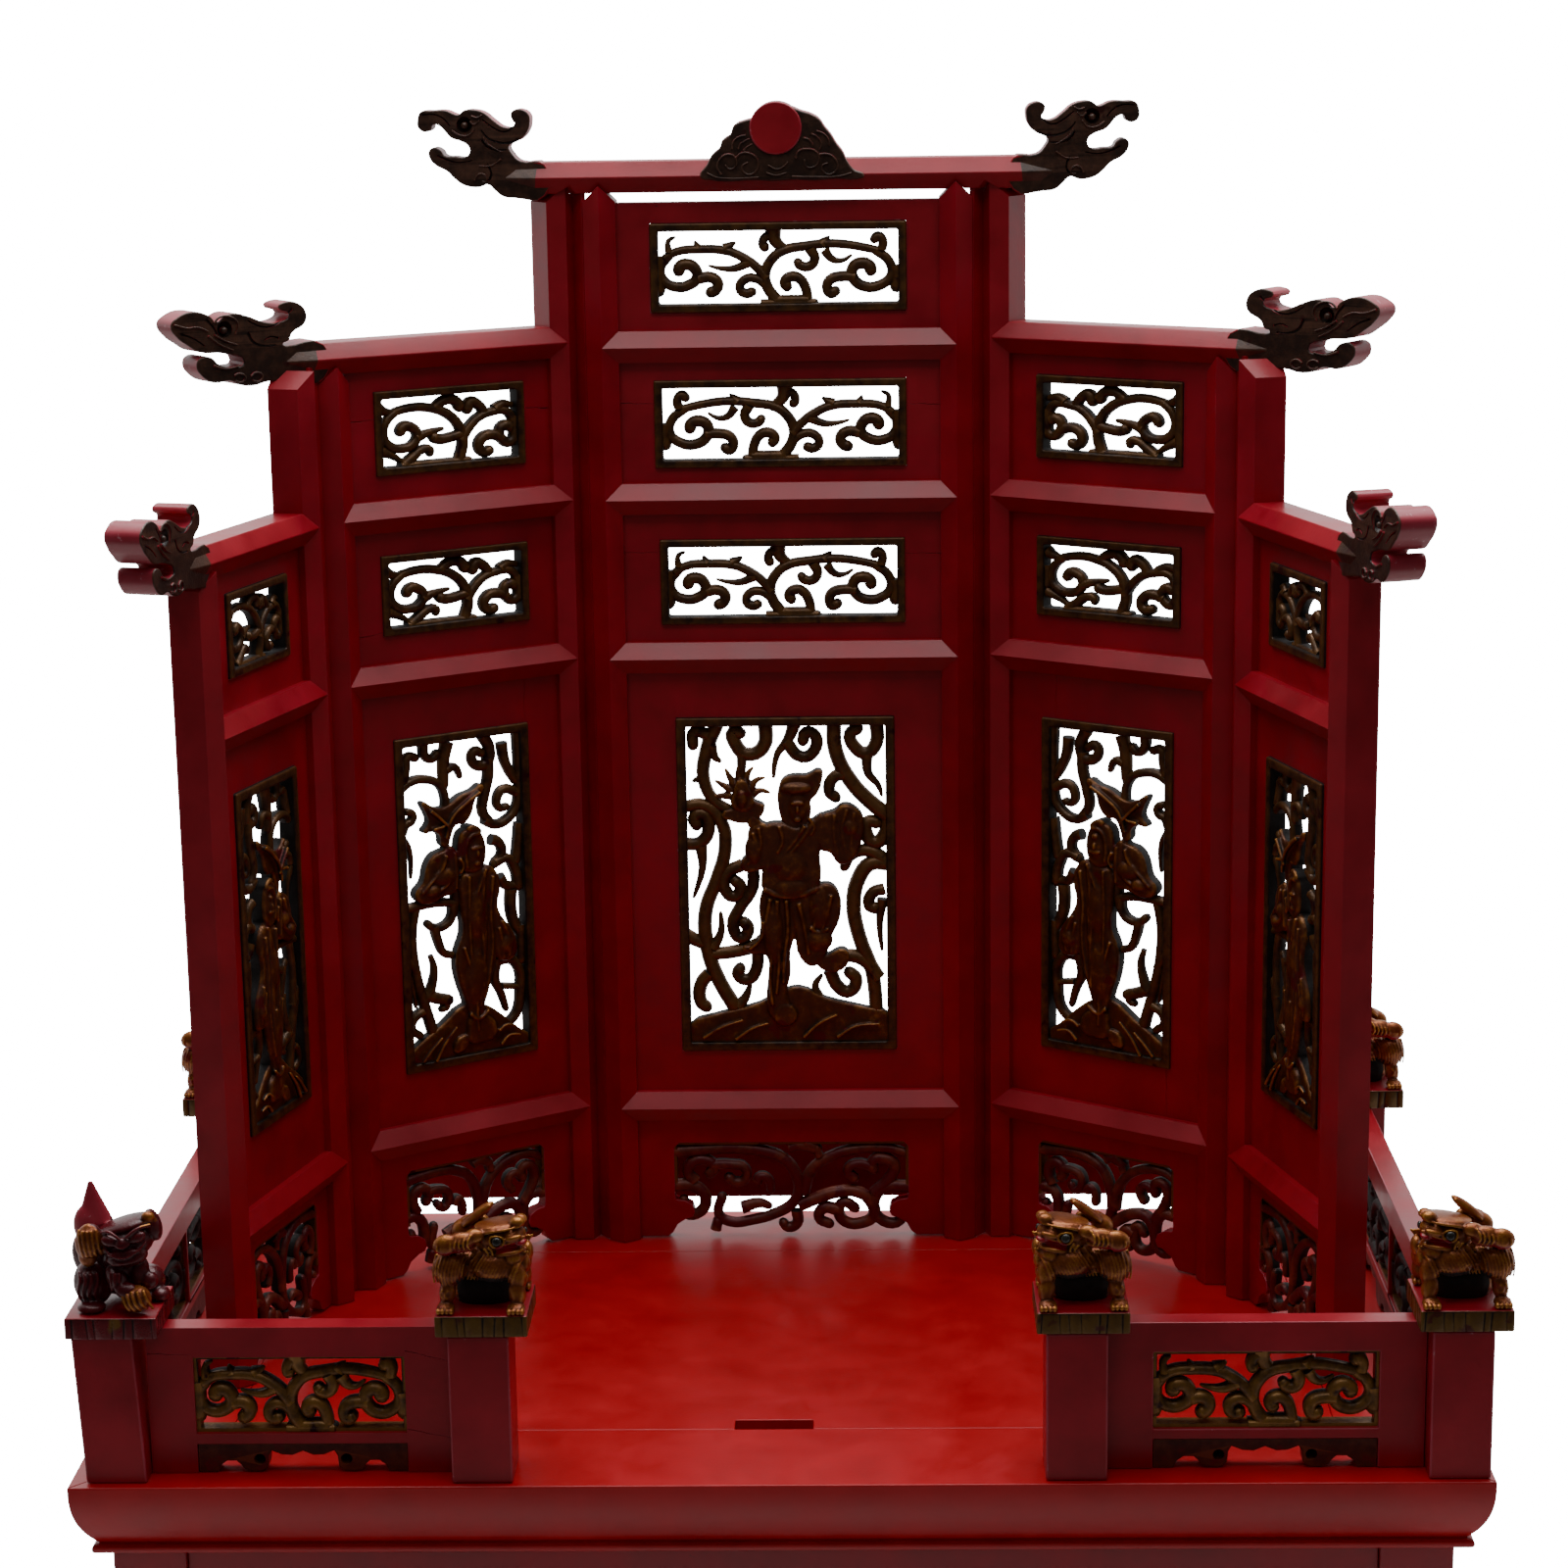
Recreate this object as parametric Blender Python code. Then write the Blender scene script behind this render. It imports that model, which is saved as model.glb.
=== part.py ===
"""Lacquered altar: a mitred platform on four short legs, a low balustrade with
six crouching lions round its edge, and a folding screen of five carved leaves.

Metres, +Z up, the front towards -Y. The origin is on the floor, under the
middle of the platform. Each leaf of the screen is drawn flat, in its own
x (along the leaf) and z (above the platform), and then turned into place.
"""

import math

import bmesh
import bpy
import numpy as np
from mathutils import Matrix, Vector
from mathutils.geometry import delaunay_2d_cdt

GAP = 0.0003

# Platform
WIDTH = 0.720
DEPTH = 0.410
MEMBER_WIDTH = 0.071
MOULDING_HEIGHT = 0.035
MOULDING_INSET = 0.012
BEAD_HEIGHT = 0.005
BEAD_INSET = 0.0085
UNDERSIDE_INNER = 0.045
LIP_WIDTH = 0.005
LIP_BOTTOM = 0.022
PANEL_THICKNESS = 0.015
SLOT_LEFT = -0.0245
SLOT_RIGHT = 0.0165
SLOT_DEPTH = 0.012
LEG_HEIGHT = 0.085
LEG_WIDTH = 0.0375
LEG_INSET = 0.0175
FRIEZE_HEIGHT = 0.042
FRIEZE_THICKNESS = 0.010
FRIEZE_SETBACK = 0.004
SCALLOP = 0.006

TOP_Z = LEG_HEIGHT + MOULDING_HEIGHT + BEAD_HEIGHT
FRONT_Y = -DEPTH / 2

# Balustrade
POST_WIDTH = 0.031
POST_HEIGHT = 0.0785
POST_FRONT = 0.0035
GATE_POST_X = 0.1495 / 0.72 * WIDTH
GATE_SHIFT = 0.0005
CORNER_POST_X = WIDTH / 2 - 0.018
CORNER_SHIFT = 0.0065
CORNER_LEAN = 0.0037
REAR_POST_Y = DEPTH - 0.0215
PLINTH_WIDTH = 0.0465
PLINTH_HEIGHT = 0.0112
PLINTH_OUTER_X = WIDTH / 2 + 0.0065
PLINTH_SHIFT = 0.002
PLINTH_BACK = 0.0065
FENCE_THICKNESS = 0.0125
FENCE_TOP = 0.0787
FENCE_FRONT = 0.018
FENCE_SIDE = CORNER_POST_X + 0.0055
FENCE_END = 0.0235
FENCE_WINDOW_TOP = 0.0627
FENCE_WINDOW_BOTTOM = 0.0215
FENCE_RAIL_BOTTOM = 0.016
FENCE_APRON_BOTTOM = 0.008
REAR_BOARD_BOTTOM = 0.017
REAR_BOARD_TOP = 0.062

# Screen
SCREEN_Y = 0.353 / 0.41 * DEPTH
CENTRE_HALF = 0.101 / 0.72 * WIDTH
MIDDLE_HALF = 0.07325 / 0.72 * WIDTH
OUTER_HALF = 0.064 / 0.41 * DEPTH
MIDDLE_TURN = 34.5
OUTER_TURN = 74.0
MIDDLE_STEP = (0.019, -0.007)
OUTER_STEP = (0.0103, 0.018)
STILE_HALF = 0.00925
RAIL_HALF = 0.009
RIDGE = 0.006
FRAME_DEPTH = 0.024
BOARD_FRONT = 0.010
BOARD_DEPTH = 0.009
BEAD_WIDTH = 0.004
BEAD_RISE = 0.0014
STILE_FOOT = 0.004
TENON_HALF = 0.006
TENON_FRONT = 0.012
TENON_BACK = 0.020
TENON_DEPTH = 0.006
BOTTOM_RAIL = 0.0845
LOW_RAIL = 0.3575
HIGH_RAIL = 0.4505
TOP_RAIL = 0.538
MIDDLE_DRAGON = 0.541
CENTRE_DRAGON = 0.634
TIP_RISE = 0.0045
CENTRE_TIP = CENTRE_DRAGON - TIP_RISE
MIDDLE_TIP = MIDDLE_DRAGON - TIP_RISE
OUTER_TIP = HIGH_RAIL - TIP_RISE
FREE_BOARD_TOP = 0.6194
CENTRE_NECK = 0.034
CENTRE_NECK_SHIFT = 0.001
MIDDLE_NECK = 0.0095
OUTER_NECK = 0.003
APRON_FOOT = 0.0025
APRON_SHOULDER = 0.022
APRON_STEP = 0.008
NOTCH_DROP = 0.012

# Margins between a board's edges and its window: side, below, above
SCROLL_1 = (0.0185, 0.0097, 0.0119)
SCROLL_2 = (0.0190, 0.0082, 0.0102)
SCROLL_3 = (0.0205, 0.0097, 0.0148)
CENTRE_FIGURE = (0.0275, 0.0242, 0.0272)
MIDDLE_SCROLL_1 = (0.0162, 0.0132, 0.0112)
MIDDLE_SCROLL_2 = (0.0167, 0.0152, 0.0132)
MIDDLE_FIGURE = (0.0202, 0.0292, 0.0262)
OUTER_SCROLL = (0.0180, 0.0172, 0.0117)
OUTER_FIGURE = (0.0170, 0.0372, 0.0262)
CENTRE_APRON = (0.0210, 0.0152)
MIDDLE_APRON = (0.0177, 0.0112)
OUTER_APRON = (0.0145, 0.0072)

# Carving
STEM_HALF = 0.0022
CARVING_RISE = 0.0008
FIGURE_RISE = 0.0045
DOMED_LIMBS = 2
LEAST_VOID = 1.2e-5


def ridge_at(inner, turn, half, share):
    """A point on a leaf that runs outwards and forwards from its inner ridge."""
    angle = math.radians(turn)
    reach = 2 * half * share
    return inner[0] + reach * math.cos(angle), inner[1] - reach * math.sin(angle)


MIDDLE_INNER = (CENTRE_HALF + MIDDLE_STEP[0], SCREEN_Y - MIDDLE_STEP[1])
MIDDLE_OUTER = ridge_at(MIDDLE_INNER, MIDDLE_TURN, MIDDLE_HALF, 1.0)
OUTER_INNER = (MIDDLE_OUTER[0] + OUTER_STEP[0], MIDDLE_OUTER[1] - OUTER_STEP[1])

# Each leaf: middle (x, y behind the front edge), turn, half span between the
# ridges, rails, and the heights of its inner and outer stile tips.
CENTRE_LEAF = {
    "at": (0.0, SCREEN_Y),
    "turn": 0.0,
    "half": CENTRE_HALF,
    "rails": (BOTTOM_RAIL, LOW_RAIL, HIGH_RAIL, TOP_RAIL),
    "tips": (CENTRE_TIP, CENTRE_TIP),
}
MIDDLE_LEAF = {
    "at": ridge_at(MIDDLE_INNER, MIDDLE_TURN, MIDDLE_HALF, 0.5),
    "turn": MIDDLE_TURN,
    "half": MIDDLE_HALF,
    "rails": (BOTTOM_RAIL, LOW_RAIL, HIGH_RAIL),
    "dragon": MIDDLE_DRAGON,
    "tips": (CENTRE_TIP, MIDDLE_TIP),
}
OUTER_LEAF = {
    "at": ridge_at(OUTER_INNER, OUTER_TURN, OUTER_HALF, 0.5),
    "turn": OUTER_TURN,
    "half": OUTER_HALF,
    "rails": (BOTTOM_RAIL, LOW_RAIL),
    "dragon": HIGH_RAIL,
    "tips": (MIDDLE_TIP, OUTER_TIP),
}

COLOURS = {
    "red_lacquer": (0.30, 0.012, 0.016, 0.35),
    "carved_board": (0.20, 0.02, 0.016, 0.45),
    "dragon_gilding": (0.13, 0.06, 0.02, 0.50),
    "lion_gilding": (0.28, 0.15, 0.045, 0.40),
    "dark_red_lacquer": (0.12, 0.01, 0.012, 0.40),
}


def clear_scene():
    for obj in list(bpy.data.objects):
        bpy.data.objects.remove(obj, do_unlink=True)


def make_material(name):
    red, green, blue, roughness = COLOURS[name]
    material = bpy.data.materials.new(name)
    material.use_nodes = True
    shader = material.node_tree.nodes["Principled BSDF"]
    shader.inputs["Base Color"].default_value = (red, green, blue, 1)
    shader.inputs["Roughness"].default_value = roughness
    return material


def add_object(name, points, faces, material, at=(0, 0, 0), turn=0.0):
    """A closed mesh with its faces outwards, placed at a point and turned about Z."""
    mesh = bpy.data.meshes.new(name)
    mesh.from_pydata([tuple(p) for p in points], [], faces)
    bm = bmesh.new()
    bm.from_mesh(mesh)
    bmesh.ops.recalc_face_normals(bm, faces=bm.faces)
    bm.to_mesh(mesh)
    bm.free()
    if material:
        mesh.materials.append(bpy.data.materials[material])
    obj = bpy.data.objects.new(name, mesh)
    bpy.context.scene.collection.objects.link(obj)
    obj.location = at
    obj.rotation_euler = (0, 0, math.radians(turn))
    return obj


def hide_helper(obj):
    obj.hide_render = True
    obj.display_type = "WIRE"
    return obj


def boolean(obj, operation, helper):
    modifier = obj.modifiers.new(operation.title() + " " + helper.name, "BOOLEAN")
    modifier.operation = operation
    modifier.solver = "EXACT"
    modifier.object = hide_helper(helper)


def box_points(low, high):
    corners = []
    for z in (low[2], high[2]):
        corners += [(low[0], low[1], z), (high[0], low[1], z)]
        corners += [(high[0], high[1], z), (low[0], high[1], z)]
    return corners


BOX_FACES = [(3, 2, 1, 0), (4, 5, 6, 7), (0, 1, 5, 4), (1, 2, 6, 5), (2, 3, 7, 6), (3, 0, 4, 7)]


def add_box(name, low, high, material, at=(0, 0, 0), turn=0.0):
    return add_object(name, box_points(low, high), BOX_FACES, material, at, turn)


def loft(rings):
    """Points and faces of a solid through rings of equal count, closed at both ends."""
    count = len(rings[0])
    points = [p for ring in rings for p in ring]
    faces = [tuple(range(count))[::-1]]
    for level in range(len(rings) - 1):
        base = level * count
        for i in range(count):
            j = (i + 1) % count
            faces.append((base + i, base + j, base + count + j, base + count + i))
    last = (len(rings) - 1) * count
    faces.append(tuple(range(last, last + count)))
    return points, faces


# Flat drawing


def smooth_curve(points, per_span):
    """Catmull-Rom through the guide points, with this many steps between two of them."""
    if per_span <= 1:
        return [tuple(p) for p in points]
    ends = [points[0]] + list(points) + [points[-1]]
    curve = []
    for i in range(1, len(ends) - 2):
        a, b, c, d = (Vector(p) for p in ends[i - 1 : i + 3])
        for step in range(per_span):
            t = step / per_span
            part = (c - a) * t + (2 * a - 5 * b + 4 * c - d) * t * t
            part += (3 * b - a - 3 * c + d) * t * t * t
            curve.append(tuple(b + part / 2))
    curve.append(tuple(points[-1]))
    return curve


def signed_area(loop):
    total = 0.0
    for (ax, ay), (bx, by) in zip(loop, loop[1:] + loop[:1]):
        total += ax * by - bx * ay
    return total / 2


def plate(loop, rise=0.0):
    """A flat outline at one height over the board."""
    return {"loops": [list(loop)], "lines": [], "rise": lambda x, z: rise, "inside": loop}


def rectangle(x0, x1, z0, z1, rise=0.0):
    return plate([(x0, z0), (x1, z0), (x1, z1), (x0, z1)], rise)


def disc(x, z, radius, rise=0.0, sides=6):
    turns = [math.tau * (i + 0.5) / sides for i in range(sides)]
    return plate([(x + radius * math.cos(t), z + radius * math.sin(t)) for t in turns], rise)


def stem(points, start, end, rise=CARVING_RISE):
    """A carved stem along the points, its half width running from start to end."""
    count = len(points)
    left, right = [], []
    for i, (x, z) in enumerate(points):
        ax, az = points[max(i - 1, 0)]
        bx, bz = points[min(i + 1, count - 1)]
        length = math.hypot(bx - ax, bz - az)
        half = start + (end - start) * i / (count - 1)
        nx, nz = -(bz - az) / length * half, (bx - ax) / length * half
        left.append((x + nx, z + nz))
        right.append((x - nx, z - nz))
    loops = []
    for i in range(count - 1):
        quad = [right[i], right[i + 1], left[i + 1], left[i]]
        corners = [quad[k : k + 1] + quad[(k + 1) % 4 : (k + 1) % 4 + 1] + quad[k - 1 : k or None][:1]
                   for k in range(4)]
        signs = [signed_area([c[2], c[0], c[1]]) > 0 for c in corners]
        if all(signs) or not any(signs):
            loops.append(quad)
        else:
            loops.append([quad[0], quad[1], quad[2]])
            loops.append([quad[0], quad[2], quad[3]])
    return {"loops": loops, "lines": [], "rise": lambda x, z: rise, "inside": None}


def limb(ax, az, bx, bz, start, end, rise=FIGURE_RISE, sides=3):
    """A rounded limb from a to b: a tapered capsule with its axis standing proud."""
    along = math.atan2(bz - az, bx - ax)
    outline = []
    for x, z, radius, base in ((bx, bz, end, -0.5), (ax, az, start, 0.5)):
        for i in range(sides):
            turn = along + math.pi * (base + i / (sides - 1))
            outline.append((x + radius * math.cos(turn), z + radius * math.sin(turn)))
    length = math.hypot(bx - ax, bz - az)

    def height(x, z):
        t = ((x - ax) * (bx - ax) + (z - az) * (bz - az)) / max(length * length, 1e-12)
        t = min(max(t, 0.0), 1.0)
        away = math.hypot(x - ax - t * (bx - ax), z - az - t * (bz - az))
        radius = start + (end - start) * t
        return CARVING_RISE + rise * math.sqrt(max(0.0, 1 - (away / radius) ** 2))

    return {"loops": [outline], "lines": [((ax, az), (bx, bz))], "rise": height, "inside": outline}


def contains(loop, x, z, slack=2e-5):
    inside = False
    for (ax, az), (bx, bz) in zip(loop, loop[1:] + loop[:1]):
        if (az > z) != (bz > z) and x < (bx - ax) * (z - az) / (bz - az) + ax:
            inside = not inside
        length = math.hypot(bx - ax, bz - az)
        t = ((x - ax) * (bx - ax) + (z - az) * (bz - az)) / max(length * length, 1e-18)
        t = min(max(t, 0.0), 1.0)
        if math.hypot(x - ax - t * (bx - ax), z - az - t * (bz - az)) < slack:
            return True
    return inside


def join_flat(shapes):
    """The union of the shapes as flat points and triangles, small voids filled."""
    points, edges, faces = [], [], []
    for shape in shapes:
        for loop in shape["loops"]:
            area = signed_area(loop)
            if abs(area) < 1e-9:
                continue
            ordered = loop if area > 0 else loop[::-1]
            faces.append(list(range(len(points), len(points) + len(ordered))))
            points += ordered
        for start, end in shape["lines"]:
            edges.append((len(points), len(points) + 1))
            points += [start, end]
    scaled = [Vector((x * 1000, z * 1000)) for x, z in points]
    found = delaunay_2d_cdt(scaled, edges, faces, 0, 0.02, True)
    flat = [(v.x / 1000, v.y / 1000) for v in found[0]]
    filled = [bool(origin) for origin in found[5]]
    triangles = [tuple(face) for face in found[2]]
    fill_voids(flat, triangles, filled)
    return flat, keep_largest(flat, [t for t, keep in zip(triangles, filled) if keep])


def edge_pairs(face):
    return [tuple(sorted(pair)) for pair in zip(face, face[1:] + face[:1])]


def groups_of(triangles, chosen):
    """Groups of the chosen triangles that share edges, and the edges of each group."""
    by_edge = {}
    for index in chosen:
        for pair in edge_pairs(triangles[index]):
            by_edge.setdefault(pair, []).append(index)
    left = set(chosen)
    groups = []
    while left:
        stack = [left.pop()]
        group = list(stack)
        while stack:
            for pair in edge_pairs(triangles[stack.pop()]):
                for other in by_edge[pair]:
                    if other in left:
                        left.remove(other)
                        stack.append(other)
                        group.append(other)
        groups.append(group)
    return groups


def fill_voids(flat, triangles, filled):
    uses = {}
    for face in triangles:
        for pair in edge_pairs(face):
            uses[pair] = uses.get(pair, 0) + 1
    empty = [i for i, keep in enumerate(filled) if not keep]
    for group in groups_of(triangles, empty):
        open_outside = any(uses[pair] == 1 for i in group for pair in edge_pairs(triangles[i]))
        area = sum(abs(signed_area([flat[k] for k in triangles[i]])) for i in group)
        if not open_outside and area < LEAST_VOID:
            for index in group:
                filled[index] = True


def keep_largest(flat, triangles):
    groups = groups_of(triangles, list(range(len(triangles))))
    sizes = [sum(abs(signed_area([flat[k] for k in triangles[i]])) for i in g) for g in groups]
    best = groups[sizes.index(max(sizes))]
    return [triangles[i] for i in sorted(best)]


def pinched(triangles):
    """Points where the outline touches itself."""
    uses = {}
    for face in triangles:
        for pair in edge_pairs(face):
            uses[pair] = uses.get(pair, 0) + 1
    touches = {}
    for pair, count in uses.items():
        if count == 1:
            for end in pair:
                touches[end] = touches.get(end, 0) + 1
    return [end for end, count in touches.items() if count > 2]


def carve(name, shapes, material, front, depth, at, turn, board_rise=None):
    """A pierced board: the union of the shapes, flat behind and raised in front."""
    shapes = list(shapes)
    for _ in range(8):
        flat, triangles = join_flat(shapes)
        joints = pinched(triangles)
        if not joints:
            break
        shapes += [disc(*flat[joint], 0.0007) for joint in joints]
    used = sorted({k for face in triangles for k in face})
    order = {k: i for i, k in enumerate(used)}
    heights = []
    for k in used:
        x, z = flat[k]
        rises = [board_rise(x, z)] if board_rise else []
        for shape in shapes:
            loops = [shape["inside"]] if shape["inside"] else shape["loops"]
            if any(contains(list(loop), x, z) for loop in loops):
                rises.append(shape["rise"](x, z))
        heights.append(max(rises) if rises else 0.0)
    return extrude(name, [flat[k] for k in used], heights,
                   [tuple(order[k] for k in face) for face in triangles],
                   material, front, depth, at, turn)


def extrude(name, flat, heights, cells, material, front, depth, at, turn):
    """Front cells at their own heights, the same cells flat behind, and walls between."""
    count = len(flat)
    points = [(x, front - h, z) for (x, z), h in zip(flat, heights)]
    points += [(x, front + depth, z) for x, z in flat]
    faces, sides = [], {}
    for cell in cells:
        ordered = cell if signed_area([flat[k] for k in cell]) > 0 else cell[::-1]
        faces.append(tuple(ordered))
        faces.append(tuple(k + count for k in reversed(ordered)))
        for a, b in zip(ordered, ordered[1:] + ordered[:1]):
            sides[(a, b)] = sides.get((a, b), 0) + 1
    for a, b in sides:
        if (b, a) not in sides:
            faces.append((b, a, a + count, b + count))
    return add_object(name, points, faces, material, at, turn)


# Base


def moulding_section():
    """Section of a platform member: (inwards from the top edge, z below the top)."""
    steps = 5
    outline = [(0.0015, 0.0), (0.0, -0.0015)]
    for i in range(1, steps + 1):
        t = i / steps
        outline.append((MOULDING_INSET * t**2.6, -MOULDING_HEIGHT * t))
    bead_top = -MOULDING_HEIGHT - 0.0006
    bead_bottom = -MOULDING_HEIGHT - BEAD_HEIGHT
    groove = MOULDING_INSET + 0.002
    outline += [(groove, -MOULDING_HEIGHT), (groove, bead_top), (BEAD_INSET, bead_top)]
    outline += [(BEAD_INSET, bead_bottom), (UNDERSIDE_INNER, bead_bottom)]
    outline += [(UNDERSIDE_INNER, -LIP_BOTTOM), (MEMBER_WIDTH + LIP_WIDTH, -LIP_BOTTOM)]
    shelf = -PANEL_THICKNESS - GAP
    outline += [(MEMBER_WIDTH + LIP_WIDTH, shelf), (MEMBER_WIDTH, shelf), (MEMBER_WIDTH, 0.0)]
    return outline


def add_member(name, length, at, turn):
    """A platform member with both ends mitred, its outer edge along local x."""
    section = moulding_section()
    rings = []
    for side in (-1, 1):
        rings.append([(side * (length / 2 - d - GAP), d, z) for d, z in section])
    points, faces = loft(rings)
    add_object(name, points, faces, "red_lacquer", (at[0], at[1], TOP_Z), turn)


def add_platform():
    add_member("platform_front", WIDTH, (0, FRONT_Y), 0)
    add_member("platform_rear", WIDTH, (0, -FRONT_Y), 180)
    add_member("platform_right", DEPTH, (WIDTH / 2, 0), 90)
    add_member("platform_left", DEPTH, (-WIDTH / 2, 0), -90)
    half_x = WIDTH / 2 - MEMBER_WIDTH - GAP
    half_y = DEPTH / 2 - MEMBER_WIDTH - GAP
    notch = FRONT_Y + MEMBER_WIDTH + SLOT_DEPTH
    outline = [(-half_x, -half_y), (SLOT_LEFT, -half_y), (SLOT_LEFT, notch)]
    outline += [(SLOT_RIGHT, notch), (SLOT_RIGHT, -half_y), (half_x, -half_y)]
    outline += [(half_x, half_y), (-half_x, half_y)]
    rings = [[(x, y, z) for x, y in outline] for z in (TOP_Z - PANEL_THICKNESS, TOP_Z)]
    points, faces = loft(rings)
    add_object("platform_panel", points, faces, "red_lacquer")


def add_legs():
    centre_x = WIDTH / 2 - LEG_INSET - LEG_WIDTH / 2
    centre_y = DEPTH / 2 - LEG_INSET - LEG_WIDTH / 2
    levels = ((0.0, 1.0), (0.011, 1.0), (0.016, 0.86), (LEG_HEIGHT - GAP, 1.0))
    for name, sx, sy in (("front_left", -1, -1), ("front_right", 1, -1),
                         ("rear_left", -1, 1), ("rear_right", 1, 1)):
        rings = []
        for z, scale in levels:
            half = LEG_WIDTH / 2 * scale
            square = [(-half, -half), (half, -half), (half, half), (-half, half)]
            rings.append([(sx * centre_x + x, sy * centre_y + y, z) for x, y in square])
        points, faces = loft(rings)
        add_object("leg_" + name, points, faces, "red_lacquer")


def add_friezes():
    """Boards under the moulding, with a shallow scalloped lower edge."""
    top = LEG_HEIGHT - GAP
    inner = LEG_INSET + LEG_WIDTH + GAP
    back = LEG_INSET + FRIEZE_SETBACK
    spots = (("front", WIDTH, (0, FRONT_Y + back), 0), ("rear", WIDTH, (0, -FRONT_Y - back), 180),
             ("right", DEPTH, (WIDTH / 2 - back, 0), 90), ("left", DEPTH, (back - WIDTH / 2, 0), -90))
    for name, length, (x, y), turn in spots:
        half = length / 2 - inner
        steps = 12 if length == WIDTH else 8
        edge = []
        for i in range(steps + 1):
            t = 2 * i / steps - 1
            lift = SCALLOP * (1 - abs(t)) ** 0.5 if abs(t) < 1 else 0.0
            edge.append((t * half, top - FRIEZE_HEIGHT + lift))
        outline = edge + [(half, top), (-half, top)]
        rings = [[(px, py, pz) for px, pz in outline] for py in (FRIEZE_THICKNESS, 0.0)]
        points, faces = loft(rings)
        add_object("frieze_" + name, points, faces, "red_lacquer", (x, y, 0), turn)


# Balustrade

POSTS = (
    ("gate_left", -GATE_POST_X, POST_FRONT, 0.0),
    ("gate_right", GATE_POST_X + GATE_SHIFT, POST_FRONT, 0.0),
    ("front_left", -CORNER_POST_X + CORNER_SHIFT, POST_FRONT + PLINTH_SHIFT, -CORNER_LEAN),
    ("front_right", CORNER_POST_X, POST_FRONT, 0.0),
    ("rear_left", -CORNER_POST_X, REAR_POST_Y - POST_WIDTH / 2, 0.0),
    ("rear_right", CORNER_POST_X, REAR_POST_Y - POST_WIDTH / 2, 0.0),
)


def add_posts():
    half = POST_WIDTH / 2
    cut = 0.0012
    outline = []
    for sx, sy in ((-1, -1), (1, -1), (1, 1), (-1, 1)):
        pair = [(sx * half, sy * (half - cut)), (sx * (half - cut), sy * half)]
        outline += pair if sx * sy > 0 else pair[::-1]
    for name, x, front, lean in POSTS:
        rings = []
        for z, shift in ((GAP, 0.0), (POST_HEIGHT, lean)):
            rings.append([(px + shift, py + half, z) for px, py in outline])
        points, faces = loft(rings)
        at = (x, FRONT_Y + front, TOP_Z)
        add_object("post_" + name, points, faces, "red_lacquer", at)


def fence_shapes(half, windows):
    """Board of a fence panel, its window, the thin rail and the scalloped apron."""
    inner = half - FENCE_END
    shapes = [
        rectangle(-half, -inner, GAP, FENCE_TOP),
        rectangle(inner, half, GAP, FENCE_TOP),
        rectangle(-inner, inner, FENCE_WINDOW_TOP, FENCE_TOP),
        rectangle(-inner, inner, FENCE_RAIL_BOTTOM, FENCE_WINDOW_BOTTOM),
    ]
    lobes = 5
    width = 2 * inner / lobes
    for i in range(lobes):
        x = -inner + width * (i + 0.5)
        low = FENCE_APRON_BOTTOM
        lobe = [(x - width * 0.5, FENCE_RAIL_BOTTOM), (x - width * 0.25, low)]
        lobe += [(x + width * 0.25, low), (x + width * 0.5, FENCE_RAIL_BOTTOM)]
        shapes.append(plate(lobe))
    middle = (FENCE_WINDOW_TOP + FENCE_WINDOW_BOTTOM) / 2
    tall = (FENCE_WINDOW_TOP - FENCE_WINDOW_BOTTOM) / 2
    wide = inner / windows
    for i in range(windows):
        x = -inner + wide * (2 * i + 1)
        shapes += scroll(x, middle, wide, tall, i % 2 == 1)
        if i:
            shapes.append(rectangle(x - wide - 0.0015, x - wide + 0.0015,
                                    FENCE_WINDOW_BOTTOM - 0.001, FENCE_WINDOW_TOP + 0.001))
    return shapes


def add_fences():
    half_gate = POST_WIDTH / 2
    inner = GATE_POST_X + half_gate
    outer = CORNER_POST_X - half_gate
    for name, sign, low, high in (("left", -1, inner + GAP, outer - CORNER_SHIFT - GAP),
                                  ("right", 1, inner + GATE_SHIFT + GAP, outer - GAP)):
        half = (high - low) / 2
        at = (sign * (low + high) / 2, FRONT_Y + FENCE_FRONT, TOP_Z)
        carve("fence_front_" + name, fence_shapes(half, 1), "carved_board",
              0.0, FENCE_THICKNESS, at, 0)
    front = POST_FRONT + PLINTH_SHIFT + POST_WIDTH + GAP
    rear = REAR_POST_Y - half_gate - GAP
    half = (rear - front) / 2
    middle = FRONT_Y + (front + rear) / 2
    for name, sign in (("left", -1), ("right", 1)):
        carve("fence_side_" + name, fence_shapes(half, 2), "carved_board",
              0.0, FENCE_THICKNESS, (sign * FENCE_SIDE, middle, TOP_Z), sign * 90)
    side = CORNER_POST_X - half_gate - GAP
    low = (-side, FRONT_Y + REAR_POST_Y - 0.0005, TOP_Z + REAR_BOARD_BOTTOM)
    high = (side, low[1] + FENCE_THICKNESS, TOP_Z + REAR_BOARD_TOP)
    add_box("fence_rear", low, high, "red_lacquer")


# Lions


def add_ball(bm, centre, radii, tilt=0.0):
    turn = Matrix.Rotation(tilt, 4, "Y")
    size = Matrix.Diagonal((*radii, 1))
    bmesh.ops.create_icosphere(
        bm, subdivisions=2, radius=1, matrix=Matrix.Translation(centre) @ turn @ size
    )


def add_cone(bm, start, end, first, last):
    start, end = Vector(start), Vector(end)
    axis = end - start
    turn = axis.to_track_quat("Z", "Y").to_matrix().to_4x4()
    matrix = Matrix.Translation((start + end) / 2) @ turn
    bmesh.ops.create_cone(bm, cap_ends=True, segments=10, radius1=first, radius2=last,
                          depth=axis.length, matrix=matrix)


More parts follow.
